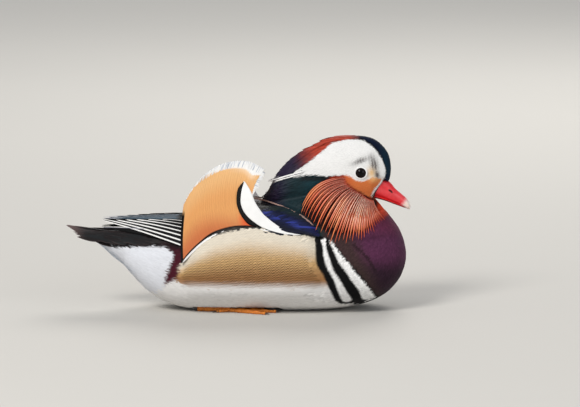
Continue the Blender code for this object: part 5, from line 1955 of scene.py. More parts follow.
@dataclass
class Coat:
    """The small feathers that lie on the skin."""

    ground: Ground
    candidates: int = 420000  # points spread over the skin, of which each part keeps some
    loose: float = 1.12  # width of a cell that keeps one point, as a share of the feathers' spacing
    most: int = 190000  # faces of three corners in one piece

    def build(self) -> list[Thing]:
        """Grows every part of the coat.

        Returns:
            The pieces.
        """
        rng = np.random.default_rng(11)
        dense = self.ground.sprinkle(self.candidates, rng)
        codes = regions(dense)
        made = []
        for tuft in TUFTS:
            chosen = dense[codes == tuft.region.value]
            roots = self.thin(chosen, tuft.spacing * self.loose)
            made += self.grow(tuft, roots, rng)
        return made

    def thin(self, points: Array, spacing: float) -> Array:
        """Keeps one point in each cell of a tilted lattice.

        Args:
            points: places in the bird's frame, one row each.
            spacing: width of the cells.

        Returns:
            The points that are kept.
        """
        turn = np.array([[0.82, 0.42, 0.39], [-0.52, 0.82, 0.22], [-0.23, -0.38, 0.9]])
        cells = np.floor(points @ turn / spacing).astype(np.int64)
        keys = (cells[:, 0] * 4001 + cells[:, 1]) * 4001 + cells[:, 2]
        return points[np.unique(keys, return_index=True)[1]]

    def grow(self, tuft: Tuft, roots: Array, rng: Rng) -> list[Thing]:
        """Lays one part's feathers, in as many pieces as their count needs.

        Args:
            tuft: the feathers of one part of the coat.
            roots: where the feathers start.
            rng: draws the random numbers.

        Returns:
            The pieces.
        """
        sides = len(SLIM)
        each = (tuft.rows - 2) * sides * 2 + sides + sides - 2
        pieces = max(1, math.ceil(len(roots) * each / self.most))
        order = np.argsort(roots[:, 0])
        made = []
        for k, part in enumerate(np.array_split(order, pieces)):
            plumage = Plumage(f"coat_{tuft.region.name.lower()}_{k + 1}", soft=2.5)
            self.lay(plumage, tuft, roots[part], rng)
            made.append(plumage.finish(tuft.look, tuft.slot))
        return made

    def lay(self, plumage: Plumage, tuft: Tuft, roots: Array, rng: Rng) -> None:
        """Walks each feather over the skin from its root.

        Args:
            plumage: takes the feathers.
            tuft: the feathers of one part of the coat.
            roots: where the feathers start.
            rng: draws the random numbers.
        """
        count = len(roots)
        spots, normals, places = self.ground.snap(roots)
        seeds = rng.random(count)
        lengths = tuft.length * rng.uniform(0.82, 1.15, count) * self.scale(tuft, spots)
        yaw = np.radians(rng.normal(0, tuft.spread / 2, count))
        heights = tuft.lift * rng.uniform(0.75, 1.25, count)
        paths, outs = np.empty((count, tuft.rows, 3)), np.empty((count, tuft.rows, 3))
        run = np.zeros((count, 3))
        for row in range(tuft.rows):
            guide = flow(spots)
            guide = unit(guide - normals * (guide * normals).sum(1)[:, None])
            side = np.cross(normals, guide)
            heading = guide * np.cos(yaw)[:, None] + side * np.sin(yaw)[:, None]
            run = heading if row == 0 else unit(heading * 0.6 + run * 0.4)
            share = row / (tuft.rows - 1)
            rise = -tuft.sink + (heights + tuft.sink) * share**0.85
            paths[:, row] = spots + normals * rise[:, None]
            outs[:, row] = normals
            if row < tuft.rows - 1:
                ahead = spots + run * (lengths / (tuft.rows - 1))[:, None]
                spots, normals, _ = self.ground.snap(ahead)
        paths[..., 2] = np.maximum(paths[..., 2], FLOOR + 0.0003)
        wander = rng.normal(0, tuft.wander, (count, 2))
        halves = tuft.half * rng.uniform(0.85, 1.15, count)[:, None] * tuft.shape.halves(tuft.rows)
        halves = halves * np.clip(self.scale(tuft, paths[:, 0]), 0.5, 1.0)[:, None]
        light = rng.uniform(1 - tuft.vary, 1 + tuft.vary, count)

        def paint(points: Array, s: Array, v: Array, seed: Array) -> Array:
            """Paints each feather with the markings where it lies.

            Args:
                points: places in the bird's frame, one row each.
                s: shares across the feather, -1 to 1.
                v: shares along the feather, from its root.
                seed: each feather's own number, 0 to 1.

            Returns:
                Linear tones, one row for each point.
            """
            rows = tuft.rows
            tones = plumage_tone(points, np.repeat(wander, rows, 0))
            dim = 2 * tuft.vary
            inner, outer = dim * ramp(0.0, 0.5, v), tuft.fade * ramp(0.6, 1.0, v)
            shade = np.repeat(light, rows) * (1 - dim + inner + outer)
            return tones * shade[:, None]

        streaks = MARKINGS.flank_streak(paths[:, tuft.rows // 2])
        plumage.add(paths, outs, halves, tuft.thick, paint, seeds, 0.15, streaks, places)

    def scale(self, tuft: Tuft, points: Array) -> Array:
        """Shortens feathers near the bill and the eye.

        Args:
            tuft: the feathers of one part of the coat.
            points: places in the bird's frame, one row each.

        Returns:
            A factor for the length of each feather.
        """
        x, z = points[:, 0], points[:, 2]
        near_eye = np.hypot(x - EYE[0], z - EYE[1])
        result = np.ones(len(points))
        if tuft.region in (Region.FACE, Region.CROWN, Region.NAPE):
            result = 0.5 + 0.5 * ramp(0.006, 0.012, near_eye)
            result *= 0.62 + 0.38 * ramp(0.156, 0.135, x)
        if tuft.region == Region.CROWN:
            result *= 1 + 0.5 * ramp(0.1, 0.06, x) - 0.45 * ramp(0.1, 0.125, x)
        if tuft.region == Region.FACE:
            result *= 1 + 0.8 * ramp(0.115, 0.07, x)
        return result


# Feathers with forms of their own, worked out on the left side


def bridged(sides: Array) -> Array:
    """Lifts each row of distances to the lowest line over them that never bends inwards.

    Args:
        sides: feathers by rows, how far out the body is.

    Returns:
        The raised distances.
    """
    sides = sides.copy()
    count = sides.shape[1]
    for k in range(1, count - 1):
        for i in range(k):
            for j in range(k + 1, count):
                line = sides[:, i] + (sides[:, j] - sides[:, i]) * (k - i) / (j - i)
                sides[:, k] = np.maximum(sides[:, k], line)
    return sides


def bent(roots: Array, bows: Array, tips: Array, rows: int) -> Array:
    """Draws a curve from each root to each tip that leans towards its bow."""
    v = np.linspace(0, 1, rows)[None, :, None]
    return roots[:, None] * (1 - v) ** 2 + 2 * bows[:, None] * v * (1 - v) + tips[:, None] * v**2


def draped(flat: Array, width_at: Callable[[Array, Array], Array], lifts: Array,
        sink: float) -> tuple[Array, Array]:
    """Lays curves of the side view on the body.

    Args:
        flat: feathers by rows by x and z.
        width_at: how far out the body is at x and z.
        lifts: how far each feather stands off the body.
        sink: how deep the roots are.

    Returns:
        The paths and the way that each row faces.
    """
    x, z = flat[..., 0], flat[..., 1]
    v = np.linspace(0, 1, flat.shape[1])
    rise = np.asarray(lifts)[:, None] * ramp(0, 0.3, v) - sink * (1 - ramp(0, 0.3, v))
    paths = np.stack([x, bridged(width_at(x, z)) + rise, z], -1)
    step = 0.003
    slope_x = (width_at(x + step, z) - width_at(x - step, z)) / (2 * step)
    slope_z = (width_at(x, z + step) - width_at(x, z - step)) / (2 * step)
    outs = np.stack([-np.clip(slope_x, -1, 1), np.ones_like(x), -np.clip(slope_z, -1, 1)], -1)
    return paths, unit(outs)


def flat_tone(colour: Array) -> Painter:
    """Makes a painter that gives one tone everywhere."""
    return lambda points, s, v, seed: np.tile(colour, (len(points), 1))


@dataclass
class Ruff:
    """The orange hackles that hang from the cheek, in tiers."""

    rows: Knots = ((0.1155, 0.14, 0.0777, 0.1435, 0.0651, 0.1063),
        (0.115, 0.134, 0.084, 0.1316, 0.0735, 0.0945), (0.1218, 0.1272, 0.105, 0.1188, 0.0903, 0.078),
        (0.1295, 0.122, 0.1176, 0.1092, 0.111, 0.0755), (0.1355, 0.1177, 0.1281, 0.1029, 0.1285, 0.079),
        (0.139, 0.116, 0.1365, 0.104, 0.143, 0.087), (0.142, 0.115, 0.145, 0.106, 0.155, 0.0975))
    tiers: Knots = ((1.0, 0.0, 0.0012, 31), (0.85, 0.5, 0.0004, 31), (0.6, 0.0, 0.0018, 31))
    crowd: float = 0.12  # how much closer they stand at the throat
    palest: float = 0.58  # where along the row their pale lines are brightest
    pale_spread: float = 0.26
    fill: float = 0.33  # half width, as a share of the gap between two tips
    half: float = 0.00112
    thick: float = 0.0005
    steps: int = 12

    def build(self, name: str, side: float) -> Thing:
        """Builds one side's hackles, tier by tier: how far down each reaches, its offset and its lift.

        Args:
            name: the side's name, for the names of its pieces.
            side: -1 on the right, 1 on the left.

        Returns:
            The piece.
        """
        rng = np.random.default_rng(21)
        plumage = Plumage(f"ruff_{name}", side=side, soft=0.4)
        v = np.linspace(0, 1, self.steps)
        for reach, offset, lift, count in self.tiers:
            shares = (np.arange(count) + offset + rng.uniform(-0.12, 0.12, count)) / count
            shares = shares * (1 + self.crowd * (1 - shares))
            rows = along(self.rows, np.clip(shares, 0, 1))
            roots, bows, tips = rows[:, :2], rows[:, 2:4], rows[:, 4:]
            share = (reach * rng.uniform(0.92, 1.04, count))[:, None]
            ends = roots * (1 - share) ** 2 + 2 * bows * share * (1 - share) + tips * share**2
            middles = roots * (1 - share) + bows * share
            flat = bent(roots, middles, ends, self.steps)
            lifts = lift + rng.uniform(-0.0002, 0.0002, count)
            paths, outs = draped(flat, body_half_width, lifts, 0.0015)
            halves = self.half * (0.45 + 0.55 * reach) * Shape.LANCE.halves(self.steps)
            middle = np.exp(-(((shares[:, None] - self.palest) / self.pale_spread) ** 2))
            pale = (0.3 + 0.7 * middle) * ramp(0.0, 0.08, v * share) * ramp(0.9, 0.4, v * share)
            gaps = np.linalg.norm(np.gradient(ends, axis=0), axis=1)[:, None]
            widths = np.minimum(self.half, self.fill * gaps) / self.half * halves * rng.uniform(0.85,
                1.15, (count, 1))
            plumage.add(paths, outs, widths, self.thick, self.paint, rng.random(count), 0.45, pale)
        return plumage.finish(HACKLE, "head_feathers")

    def paint(self, points: Array, s: Array, v: Array, seed: Array) -> Array:
        """Paints hackles rust at the cheek, orange in the middle and deeper towards the throat.

        Args:
            points: places in the bird's frame, one row each.
            s: shares across the feather, -1 to 1.
            v: shares along the feather, from its root.
            seed: each feather's own number, 0 to 1.

        Returns:
            Linear tones, one row for each point.
        """
        colour = mix(Tone.RUFF_RED, Tone.RUFF_ORANGE, ramp(0.2, 0.6, v))
        colour = mix(colour, Tone.RUFF_PALE, 0.3 * ramp(0.5, 0.9, seed) * ramp(0.3, 0.6, v))
        return mix(colour, Tone.RUFF_RED, 0.8 * ramp(0.13, 0.148, points[:, 0]))


@dataclass
class Crest:
    """The long silky locks of the crown and the white streak over them."""

    tips: Knots = ((0.08, 0.1722, 34.0), (0.06, 0.1604, 40.0), (0.045, 0.1472, 38.0),
        (0.0345, 0.1345, 30.0), (0.03, 0.1225, 22.0), (0.0225, 0.115, 12.0))
    streak: Knots = ((0.0702, 0.1473), (0.0612, 0.1444), (0.0522, 0.1415), (0.0432, 0.1386),
        (0.0335, 0.1343))
    locks: int = 110
    reach: float = 0.031
    half: float = 0.00125
    steps: int = 8

    def build(self, name: str, side: float) -> Thing:
        """Builds one side's locks.

        Args:
            name: the side's name, for the names of its pieces.
            side: -1 on the right, 1 on the left.

        Returns:
            The piece.
        """
        rng = np.random.default_rng(31)
        plumage = Plumage(f"crest_{name}", side=side)
        rows = along(self.tips, (np.arange(self.locks) + 0.5) / self.locks)
        spread = rng.normal(0, 0.0006, (self.locks, 2))
        tips, turns = rows[:, :2] + spread, np.radians(rows[:, 2] + rng.normal(0, 3, self.locks))
        run = np.column_stack([np.cos(turns), np.sin(turns)])
        tips = tips + run * rng.uniform(0, 0.009, self.locks)[:, None]
        roots = tips + run * (self.reach * rng.uniform(0.7, 1.15, self.locks))[:, None]
        roots[:, 1] = np.minimum(roots[:, 1], self.top(roots[:, 0]) - 0.003)
        bows = (roots + tips) / 2 + [0.0, 0.002]
        bows[:, 1] = np.minimum(bows[:, 1], self.top(bows[:, 0]) - 0.0006)
        flat = bent(roots, bows, tips, self.steps)
        lifts = rng.uniform(0.0001, 0.0009, self.locks)
        paths, outs = draped(flat, HEAD.half_width, lifts, 0.0012)
        v = np.linspace(0, 1, self.steps)
        close = rng.uniform(0.0006, 0.004, self.locks)[:, None]
        paths[..., 1] = np.where(v > 0.6, np.minimum(paths[..., 1], close + 0.016 * (1 - v)), paths[..., 1])
        halves = self.half * Shape.LANCE.halves(self.steps) * rng.uniform(0.7, 1.2, (self.locks, 1))
        plumage.add(paths, outs, halves, 0.0004, self.paint, rng.random(self.locks), 0.2)
        self.add_streak(plumage, rng)
        return plumage.finish(SILK_PLUME, "head_feathers")

    def top(self, x: Array) -> Array:
        """Reads the height of the crown."""
        table = HEAD.table(0)
        return np.interp(x, table[:, 0], table[:, 3])

    def paint(self, points: Array, s: Array, v: Array, seed: Array) -> Array:
        """Paints locks with the crown's markings, never white.

        Args:
            points: places in the bird's frame, one row each.
            s: shares across the feather, -1 to 1.
            v: shares along the feather, from its root.
            seed: each feather's own number, 0 to 1.

        Returns:
            Linear tones, one row for each point.
        """
        spots = plate(points)
        colour = MARKINGS.crown(spots[:, 0], spots[:, 1])
        under = ramp(2.0, -1.0, spots[:, 1] - np.interp(spots[:, 0], [20, 34, 66, 82],
            [124, 132, 146, 158]))
        return mix(colour, mix(Tone.GREEN_BLACK, Tone.PURPLE_BLACK, ramp(60, 36, spots[:, 0])), under)

    def add_streak(self, plumage: Plumage, rng: Rng) -> None:
        """Adds the white feathers that draw the stripe behind the face to a point.

        Args:
            plumage: takes the feathers.
            rng: draws the random numbers.
        """
        for low, first, last, count in ((0.0, 0.0, 0.86, 34), (0.0019, 0.1, 0.62, 12)):
            shares = np.linspace(first, last, count)
            line = along(self.streak, shares) - [0, low]
            ahead = unit(along(self.streak, np.minimum(shares + 0.02, 1)) - [0, low] - line)
            across = np.column_stack([-ahead[:, 1], ahead[:, 0]])
            roots = line + across * rng.normal(0, 0.0003, count)[:, None] * (1.1 - shares)[:, None]
            reach = rng.uniform(0.011, 0.014, count) * (1 - 0.45 * shares)
            tips = along(self.streak, np.minimum(shares + 0.22, 1)) - [0, low] + across * rng.normal(0,
                0.0002, count)[:, None]
            tips = roots + unit(tips - roots) * reach[:, None]
            flat = bent(roots, (roots + tips) / 2, tips, self.steps)
            paths, outs = draped(flat, HEAD.half_width, np.full(count, 0.0012), 0.0006)
            halves = 0.00055 * Shape.HAIR.halves(self.steps)
            seeds = rng.uniform(0.4, 0.6, count)
            plumage.add(paths, outs, halves, 0.0003, flat_tone(Tone.WHITE), seeds, 0.2)


SAIL_SHAFT = ((-0.0585, 0.055), (-0.0504, 0.065), (-0.0399, 0.0748), (-0.0263, 0.0848), (-0.0084, 0.0906),
    (0.0074, 0.0922), (0.02, 0.0915))
SAIL_BOW = ((-0.061, 0.085), (-0.059, 0.093), (-0.052, 0.105), (-0.038, 0.115), (-0.02, 0.123),
    (-0.002, 0.126), (0.005, 0.123))
SAIL_RIM = ((-0.056, 0.115), (-0.05, 0.1262), (-0.039, 0.1408), (-0.023, 0.153), (-0.005, 0.1588),
    (0.013, 0.1585), (0.029, 0.1508))
SAIL_LEAN = 0.38
LEFT_SAIL_SINK = 0.0078  # the left sail is carried this much lower
SAIL_OFF = 0.0011  # between the folded wing and the sail's middle


@dataclass
class Sail:
    """The raised orange feather of the inner wing, as one web over a dark shaft."""

    sink: float = 0.0
    columns: int = 240
    rows: int = 64
    thick: float = 0.0004
    shaft: float = 0.0007
    ripples: float = 300.0  # how often the web ripples along its shaft, times 2 pi
    loose_barbs: int = 260
    hook_barbs: int = 60

    def build(self, name: str, side: float) -> Thing:
        """Builds one side's web and shaft as one closed mesh.

        Args:
            name: the side's name, for the names of its pieces.
            side: -1 on the right, 1 on the left.

        Returns:
            The piece.
        """
        u, v = np.meshgrid(np.linspace(0, 1, self.columns), np.linspace(0, 1, self.rows), indexing="ij")
        teeth = 0.5 + 0.5 * np.sin(u * self.ripples + 3 * np.sin(u * 37))
        notch = (0.014 + 0.006 * teeth + 0.006 * np.sin(u * 611) ** 2) * ramp(0.5, 1, v)
        flat = self.flat(u, v * (1 - notch))
        foot = along(SAIL_SHAFT, u.ravel()).reshape(*u.shape, 2)
        rise = flat[..., 1] - foot[..., 1]
        middle = wing_surface(foot[..., 0], foot[..., 1]) + SAIL_OFF - SAIL_LEAN * rise
        ripple = 0.00018 * np.sin(u * self.ripples + v * 9) * ramp(0.05, 0.3, v)
        depth = self.thick / 2 + self.shaft * np.exp(-((v / 0.022) ** 2)) + 0.0002 * (1 - v)
        outer = np.stack([flat[..., 0], middle + ripple + depth, flat[..., 1]], -1)
        inner = np.stack([flat[..., 0], middle + ripple - depth, flat[..., 1]], -1)
        points = np.concatenate([outer.reshape(-1, 3), inner.reshape(-1, 3)])
        thing = mesh_object(f"sail_web_{name}", points * [1, side, 1], self.faces())
        turned_out(thing)
        tones = np.tile(self.paint(u.ravel(), v.ravel(), outer.reshape(-1, 3)), (2, 1))
        put_tone(thing, tones)
        both = np.tile(np.column_stack([np.full(u.size, 0.5), v.ravel(), np.full(u.size, 0.5)]), (2, 1))
        put_attribute(thing, "vane", "FLOAT_VECTOR", both)
        lengths = np.column_stack([v.ravel() * 0.02, u.ravel() * 0.15, np.zeros(u.size)])
        put_attribute(thing, "span", "FLOAT_VECTOR", np.tile(lengths, (2, 1)))
        put_attribute(thing, "streak", "FLOAT", np.zeros(len(points)))
        return dress(thing, SAIL_PLUME, "sail_feathers", f"sail_{name}")

    def flat(self, u: Array, v: Array) -> Array:
        """Places the web in the side view, from its shaft up its barbs to the rim.

        Args:
            u: shares along the shaft, from the rear.
            v: shares up the barbs, from the shaft.

        Returns:
            x and height, in metres.
        """
        lines = (SAIL_SHAFT, SAIL_BOW, SAIL_RIM)
        root, bow, rim = (along(line, u.ravel()).reshape(*u.shape, 2) for line in lines)
        bow = bow - [0, self.sink / 2]
        rim = rim - [0, self.sink]
        v = v[..., None]
        return root * (1 - v) ** 2 + 2 * bow * v * (1 - v) + rim * v**2

    def faces(self) -> list[Array]:
        """Lists the quads of both faces and of the edge between them.

        Returns:
            One block of quads.
        """
        sheet = grid_faces(self.columns, self.rows, False)
        count = self.columns * self.rows
        down = np.arange(self.columns) * self.rows
        across = np.arange(self.rows)
        ring = np.concatenate([down, (self.columns - 1) * self.rows + across[1:],
            down[::-1][1:] + self.rows - 1, across[::-1][1:-1]])
        after = np.roll(ring, -1)
        edge = np.stack([ring, after, after + count, ring + count], 1)
        return [np.concatenate([sheet[:, ::-1], sheet + count, edge])]

    def paint(self, u: Array, v: Array, points: Array) -> Array:
        """Paints the web: rust at the shaft, orange above, and a white rim with streaks of painted
        blue-grey shade at its edge.

        Args:
            u: shares along the shaft, from the rear.
            v: shares up the barbs, from the shaft.
            points: places in the bird's frame, one row each.

        Returns:
            Linear tones, one row for each point.
        """
        spots = plate(points + [0, 0, self.sink])
        colour = mix(Tone.SAIL_LOW, Tone.SAIL_MID, ramp(0.05, 0.45, v + 0.25 * ramp(0.3, 1.0, u)))
        colour = mix(colour, Tone.SAIL_LOW, 0.8 * ramp(0.1, 0.0, u))
        colour = mix(colour, Tone.SAIL_TOP, ramp(0.45, 0.85, v))
        colour = mix(colour, Tone.SAIL_RED, 0.9 * ramp(0.74, 0.86, u) * ramp(0.26, 0.1, v))
        streaks = 0.5 + 0.5 * np.sin(u * 260 + 2 * np.sin(u * 61))
        colour = colour * (0.97 + 0.05 * streaks)[:, None]
        inner = np.array(SAIL_RIM_IN)
        gap = line_distance(spots, along(inner, np.linspace(0, 1, 40)))
        above = spots[:, 1] > np.interp(spots[:, 0], inner[:, 0], inner[:, 1])
        past = np.where(above & (v > 0.4), gap, -gap)
        colour = mix(colour, Tone.SAIL_CREAM, 0.7 * ramp(-7.0, -0.5, past) * ramp(0.6, 0.9, u))
        rim = ramp(-1.2, 1.2, past) * ramp(0.4, 0.6, v)
        colour = mix(colour, Tone.WHITE, rim)
        # painted blue-grey shade in streaks along the rim's edge
        colour = mix(colour, Tone.SAIL_SHADE, 0.55 * rim * ramp(0.5, 0.95, streaks) * ramp(0.93, 1.0, v))
        edge = self.flat(np.zeros(40), np.linspace(0, 1, 40)) / MM
        rear = ramp(2.8, 2.2, line_distance(points[:, [0, 2]] / MM, edge)) * ramp(104, 96, spots[:, 1])
        return mix(colour, Tone.BLACK, np.maximum(ramp(0.026, 0.019, v), rear))

    def barbs(self, name: str, side: float) -> Thing:
        """Adds the loose ends of the barbs along the rim, longest on the hook at the front.

        Args:
            name: the side's name, for the names of its pieces.
            side: -1 on the right, 1 on the left.

        Returns:
            The piece.
        """
        rng = np.random.default_rng(61)
        count, front = self.loose_barbs, self.hook_barbs
        shares = np.append(np.sort(rng.uniform(0.04, 0.995, count)), np.full(front, 0.985))
        low = np.append(0.965 - 0.085 * ramp(0.15, 0.5, shares[:count]), np.linspace(0.5, 0.93, front))
        starts, ends = self.flat(shares, low), self.flat(shares,
            np.append(np.full(count, 0.972), low[count:] + 0.05))
        turned = np.array([0.0036, -0.0016]) * rng.uniform(0.5, 1.2, (front, 1)) * ramp(0.45, 0.75,
            low[count:])[:, None]
        ends[count:] = starts[count:] + turned
        count += front
        reach = 0.0003 + 0.0006 * rng.random(count) + 0.0006 * ramp(0.75, 0.95, shares)
        ahead = unit(ends - starts)
        flat = bent(starts, (starts + ends) / 2, ends + ahead * reach[:, None], 6)
        foot = along(SAIL_SHAFT, shares)
        rise = flat[..., 1] - foot[:, None, 1]
        middle = wing_surface(foot[:, 0], foot[:, 1])[:, None] + SAIL_OFF - SAIL_LEAN * rise
        out = middle + rng.uniform(-0.0003, 0.0004, (count, 1))
        paths = np.stack([flat[..., 0], out, flat[..., 1]], -1)
        outs = np.broadcast_to(unit(np.array([0.0, 1.0, SAIL_LEAN])), paths.shape)
        plumage = Plumage(f"sail_barbs_{name}", side=side, soft=2.0)
        halves = 0.00036 * Shape.HAIR.halves(6)

        def paint(points: Array, s: Array, v: Array, seed: Array) -> Array:
            """Paints the barbs white, some in painted blue-grey shade."""
            return mix(Tone.WHITE, Tone.SAIL_SHADE, 0.9 * ramp(0.55, 0.95, seed))

        plumage.add(paths, outs, halves, 0.0003, paint, rng.random(count), 0.1)
        return plumage.finish(STIFF_PLUME, "sail_feathers")


SAIL_RIM_IN = ((-64.0, 98.0), (-57.6, 110.5), (-52.1, 119.8), (-42.1, 131.6), (-32.8, 139.4),
    (-22.2, 144.0), (-10.5, 146.7), (-1.1, 147.4), (8.3, 146.0), (15.0, 140.0))
SICKLE_BLACK_REAR = ((62.0, 77.0), (44.0, 79.2), (27.0, 84.4), (13.0, 87.4), (6.0, 94.1), (1.3, 102.4),
    (-1.1, 111.8), (0.1, 124.9), (6.5, 133.6))
SICKLE_WHITE_REAR = ((62.0, 77.0), (44.0, 79.2), (27.0, 84.6), (14.5, 92.8), (7.6, 100.2), (4.2, 107.0),
    (3.2, 114.0), (4.3, 124.4), (6.9, 133.3))
SICKLE_FRONT = ((66.0, 77.6), (53.0, 80.2), (39.9, 88.2), (28.2, 97.6), (22.6, 104.8), (18.8, 110.7),
    (16.3, 116.5), (13.1, 124.4), (7.6, 133.2))


def sickle_side(x: Array, z: Array) -> Array:
    """Reads how far out the pied scapular lies.

    Args:
        x: how far ahead.
        z: how high.

    Returns:
        The distance from the bird's middle.
    """
    base = np.interp(x, [p[0] for p in SAIL_SHAFT], [p[1] for p in SAIL_SHAFT])
    root = wing_surface(np.clip(x, 0.0, 0.085), np.minimum(z, base))
    return root + SAIL_OFF + 0.0012 - SAIL_LEAN * np.maximum(0, z - base)


@dataclass
class Sickle:
    """The pied scapular: a black edge behind a white blade that curls up to a point."""

    columns: int = 90
    rows: int = 12
    thick: float = 0.0007
    least_edge: float = 0.8  # a black edge narrower than this, in millimetres, is left white

    def build(self, name: str, side: float) -> Thing:
        """Builds one side's blade as a closed mesh.

        Args:
            name: the side's name, for the names of its pieces.
            side: -1 on the right, 1 on the left.

        Returns:
            The piece.
        """
        u = np.linspace(0, 1, self.columns)
        lines = (SICKLE_BLACK_REAR, SICKLE_WHITE_REAR, SICKLE_FRONT)
        black, white, front = (along(line, u) for line in lines)
        shares = np.concatenate([np.linspace(0, 0.999, 4), 1 + np.linspace(0.001, 1, self.rows - 4)])
        flat = np.where((shares <= 1)[None, :, None],
            black[:, None] + (white - black)[:, None] * shares[None, :, None],
            white[:, None] + (front - white)[:, None] * (shares[None, :, None] - 1))
        flat = flat * MM
        x, z = flat[..., 0], flat[..., 1] + 0.008
        for _ in range(4):
            y = sickle_side(x, z)
            z = flat[..., 1] + y * PLATE_TILT
        swell = np.sin(np.linspace(0, math.pi, self.rows)) ** 0.5
        depth = self.thick * (0.25 + 0.75 * swell)[None]
        outer = np.stack([x, y + depth, z], -1)
        inner = np.stack([x, y, z], -1)
        points = np.concatenate([outer.reshape(-1, 3), inner.reshape(-1, 3)])
        form = Sail(columns=self.columns, rows=self.rows)
        thing = turned_out(mesh_object(f"sickle_{name}", points * [1, side, 1], form.faces()))
        edged = np.linalg.norm(white - black, axis=1) > self.least_edge
        dark = (edged[:, None] & (shares < 1)[None]).ravel()
        tones = np.where(dark[:, None], Tone.BLACK, Tone.WHITE)
        plain_marks(thing, np.tile(tones, (2, 1)))
        return dress(thing, STIFF_PLUME, "scapular_feathers", f"scapular_{name}")


@dataclass
class Scapulars:
    """The glossy blue shoulder feathers, the pale brown edge of the mantle and the flank's white edge."""

    tiers: int = 8
    each: int = 11
    roots: Knots = ((0.086, 0.084), (0.08, 0.093), (0.064, 0.108))
    step: float = -0.008  # from one tier to the next
    reach: float = 0.021
    mantle_count: int = 30
    brim_count: int = 110
    half: float = 0.0025
    steps: int = 9
    mantle: Knots = ((0.079, 0.093), (0.07, 0.1005), (0.058, 0.106), (0.048, 0.1095), (0.039, 0.1122),
        (0.027, 0.115), (0.015, 0.1165))
    brim: Knots = ((-0.0585, 0.0545), (-0.0504, 0.0638), (-0.0399, 0.0737), (-0.0263, 0.0837),
        (-0.0084, 0.0896), (0.01, 0.0912), (0.026, 0.09), (0.0441, 0.0868), (0.062, 0.0845))

    def build(self, name: str, side: float) -> Thing:
        """Builds one side's feathers.

        Args:
            name: the side's name, for the names of its pieces.
            side: -1 on the right, 1 on the left.

        Returns:
            The piece.
        """
        rng = np.random.default_rng(41)
        plumage = Plumage(f"scapulars_{name}", section=BROAD, side=side)
        for tier in reversed(range(self.tiers)):
            shares = (np.arange(self.each) + 0.5 * (tier % 2)) / (self.each - 0.5)
            roots = along(self.roots, shares) + [self.step * tier, 0.0]
            roots += rng.normal(0, 0.0006, roots.shape)
            tips = roots + np.column_stack([np.full(self.each, -self.reach), 0.006 - 0.01 * shares])
            flat = bent(roots, (roots + tips) / 2 + [0, 0.0015], tips, self.steps)
            lifts = 0.0006 + 0.00028 * (self.tiers - tier) + 0.0003 * (np.arange(self.each) % 2)
            paths, outs = draped(flat, wing_surface, lifts, 0.001)
            halves = self.half * Shape.BLADE.halves(self.steps)
            plumage.add(paths, outs, halves, 0.0005, self.paint, rng.random(self.each), 0.18, by_row=False)
        self.row(plumage, rng, self.mantle, self.mantle_count, 0.0007, Tone.MANTLE_EDGE, 0.0022)
        self.row(plumage, rng, self.brim, self.brim_count, 0.0009, Tone.WHITE, 0.002)
        return plumage.finish(SILK_PLUME, "scapular_feathers", f"wing_{name}")

    def paint(self, points: Array, s: Array, v: Array, seed: Array) -> Array:
        """Paints vanes near black by the mantle and bright blue nearer the white blade.

        Args:
            points: places in the bird's frame, one row each.
            s: shares across the feather, -1 to 1.
            v: shares along the feather, from its root.
            seed: each feather's own number, 0 to 1.

        Returns:
            Linear tones, one row for each point.
        """
        spots = plate(points)
        above = spots[:, 1] - np.interp(spots[:, 0], [10, 30, 50, 66, 84], [98, 95, 88, 82, 76])
        blue = np.exp(-(((above - 4.5) / 4.2) ** 2)) * (0.25 + 0.75 * ramp(0.3, 0.8, seed))
        colour = mix(Tone.SCAPULAR_DARK, Tone.BACK_GREEN, 0.6 * ramp(9, 16, above))
        colour = mix(colour, Tone.SCAPULAR_BLUE, blue * ramp(0.95, 0.45, np.abs(s + 0.1)))
        return mix(colour, Tone.SCAPULAR_DARK, 0.7 * ramp(0.8, 1.0, v))

    def row(self, plumage: Plumage, rng: Rng, line: Knots, count: int, half: float, colour: Array,
            lift: float) -> None:
        """Adds a row of slim feathers that overlap along a line, as its pale edge.

        Args:
            plumage: takes the feathers.
            rng: draws the random numbers.
            line: where the row runs, as x and height in metres.
            count: how many feathers.
            half: their half width.
            colour: their tone.
            lift: how far they stand off the body.
        """
        starts = np.linspace(0, 0.9, count)
        roots = along(line, starts) + rng.normal(0, 0.0002, (count, 2))
        tips = along(line, np.minimum(starts + 0.13, 1.0)) + rng.normal(0, 0.0002, (count, 2))
        flat = bent(roots, (roots + tips) / 2, tips, 6)
        paths, outs = draped(flat, outermost, np.full(count, lift), 0.0005)
        halves = half * Shape.SCALE.halves(6)
        plumage.add(paths, outs, halves, 0.0005, flat_tone(colour), rng.uniform(0.4, 0.6, count), 0.2)


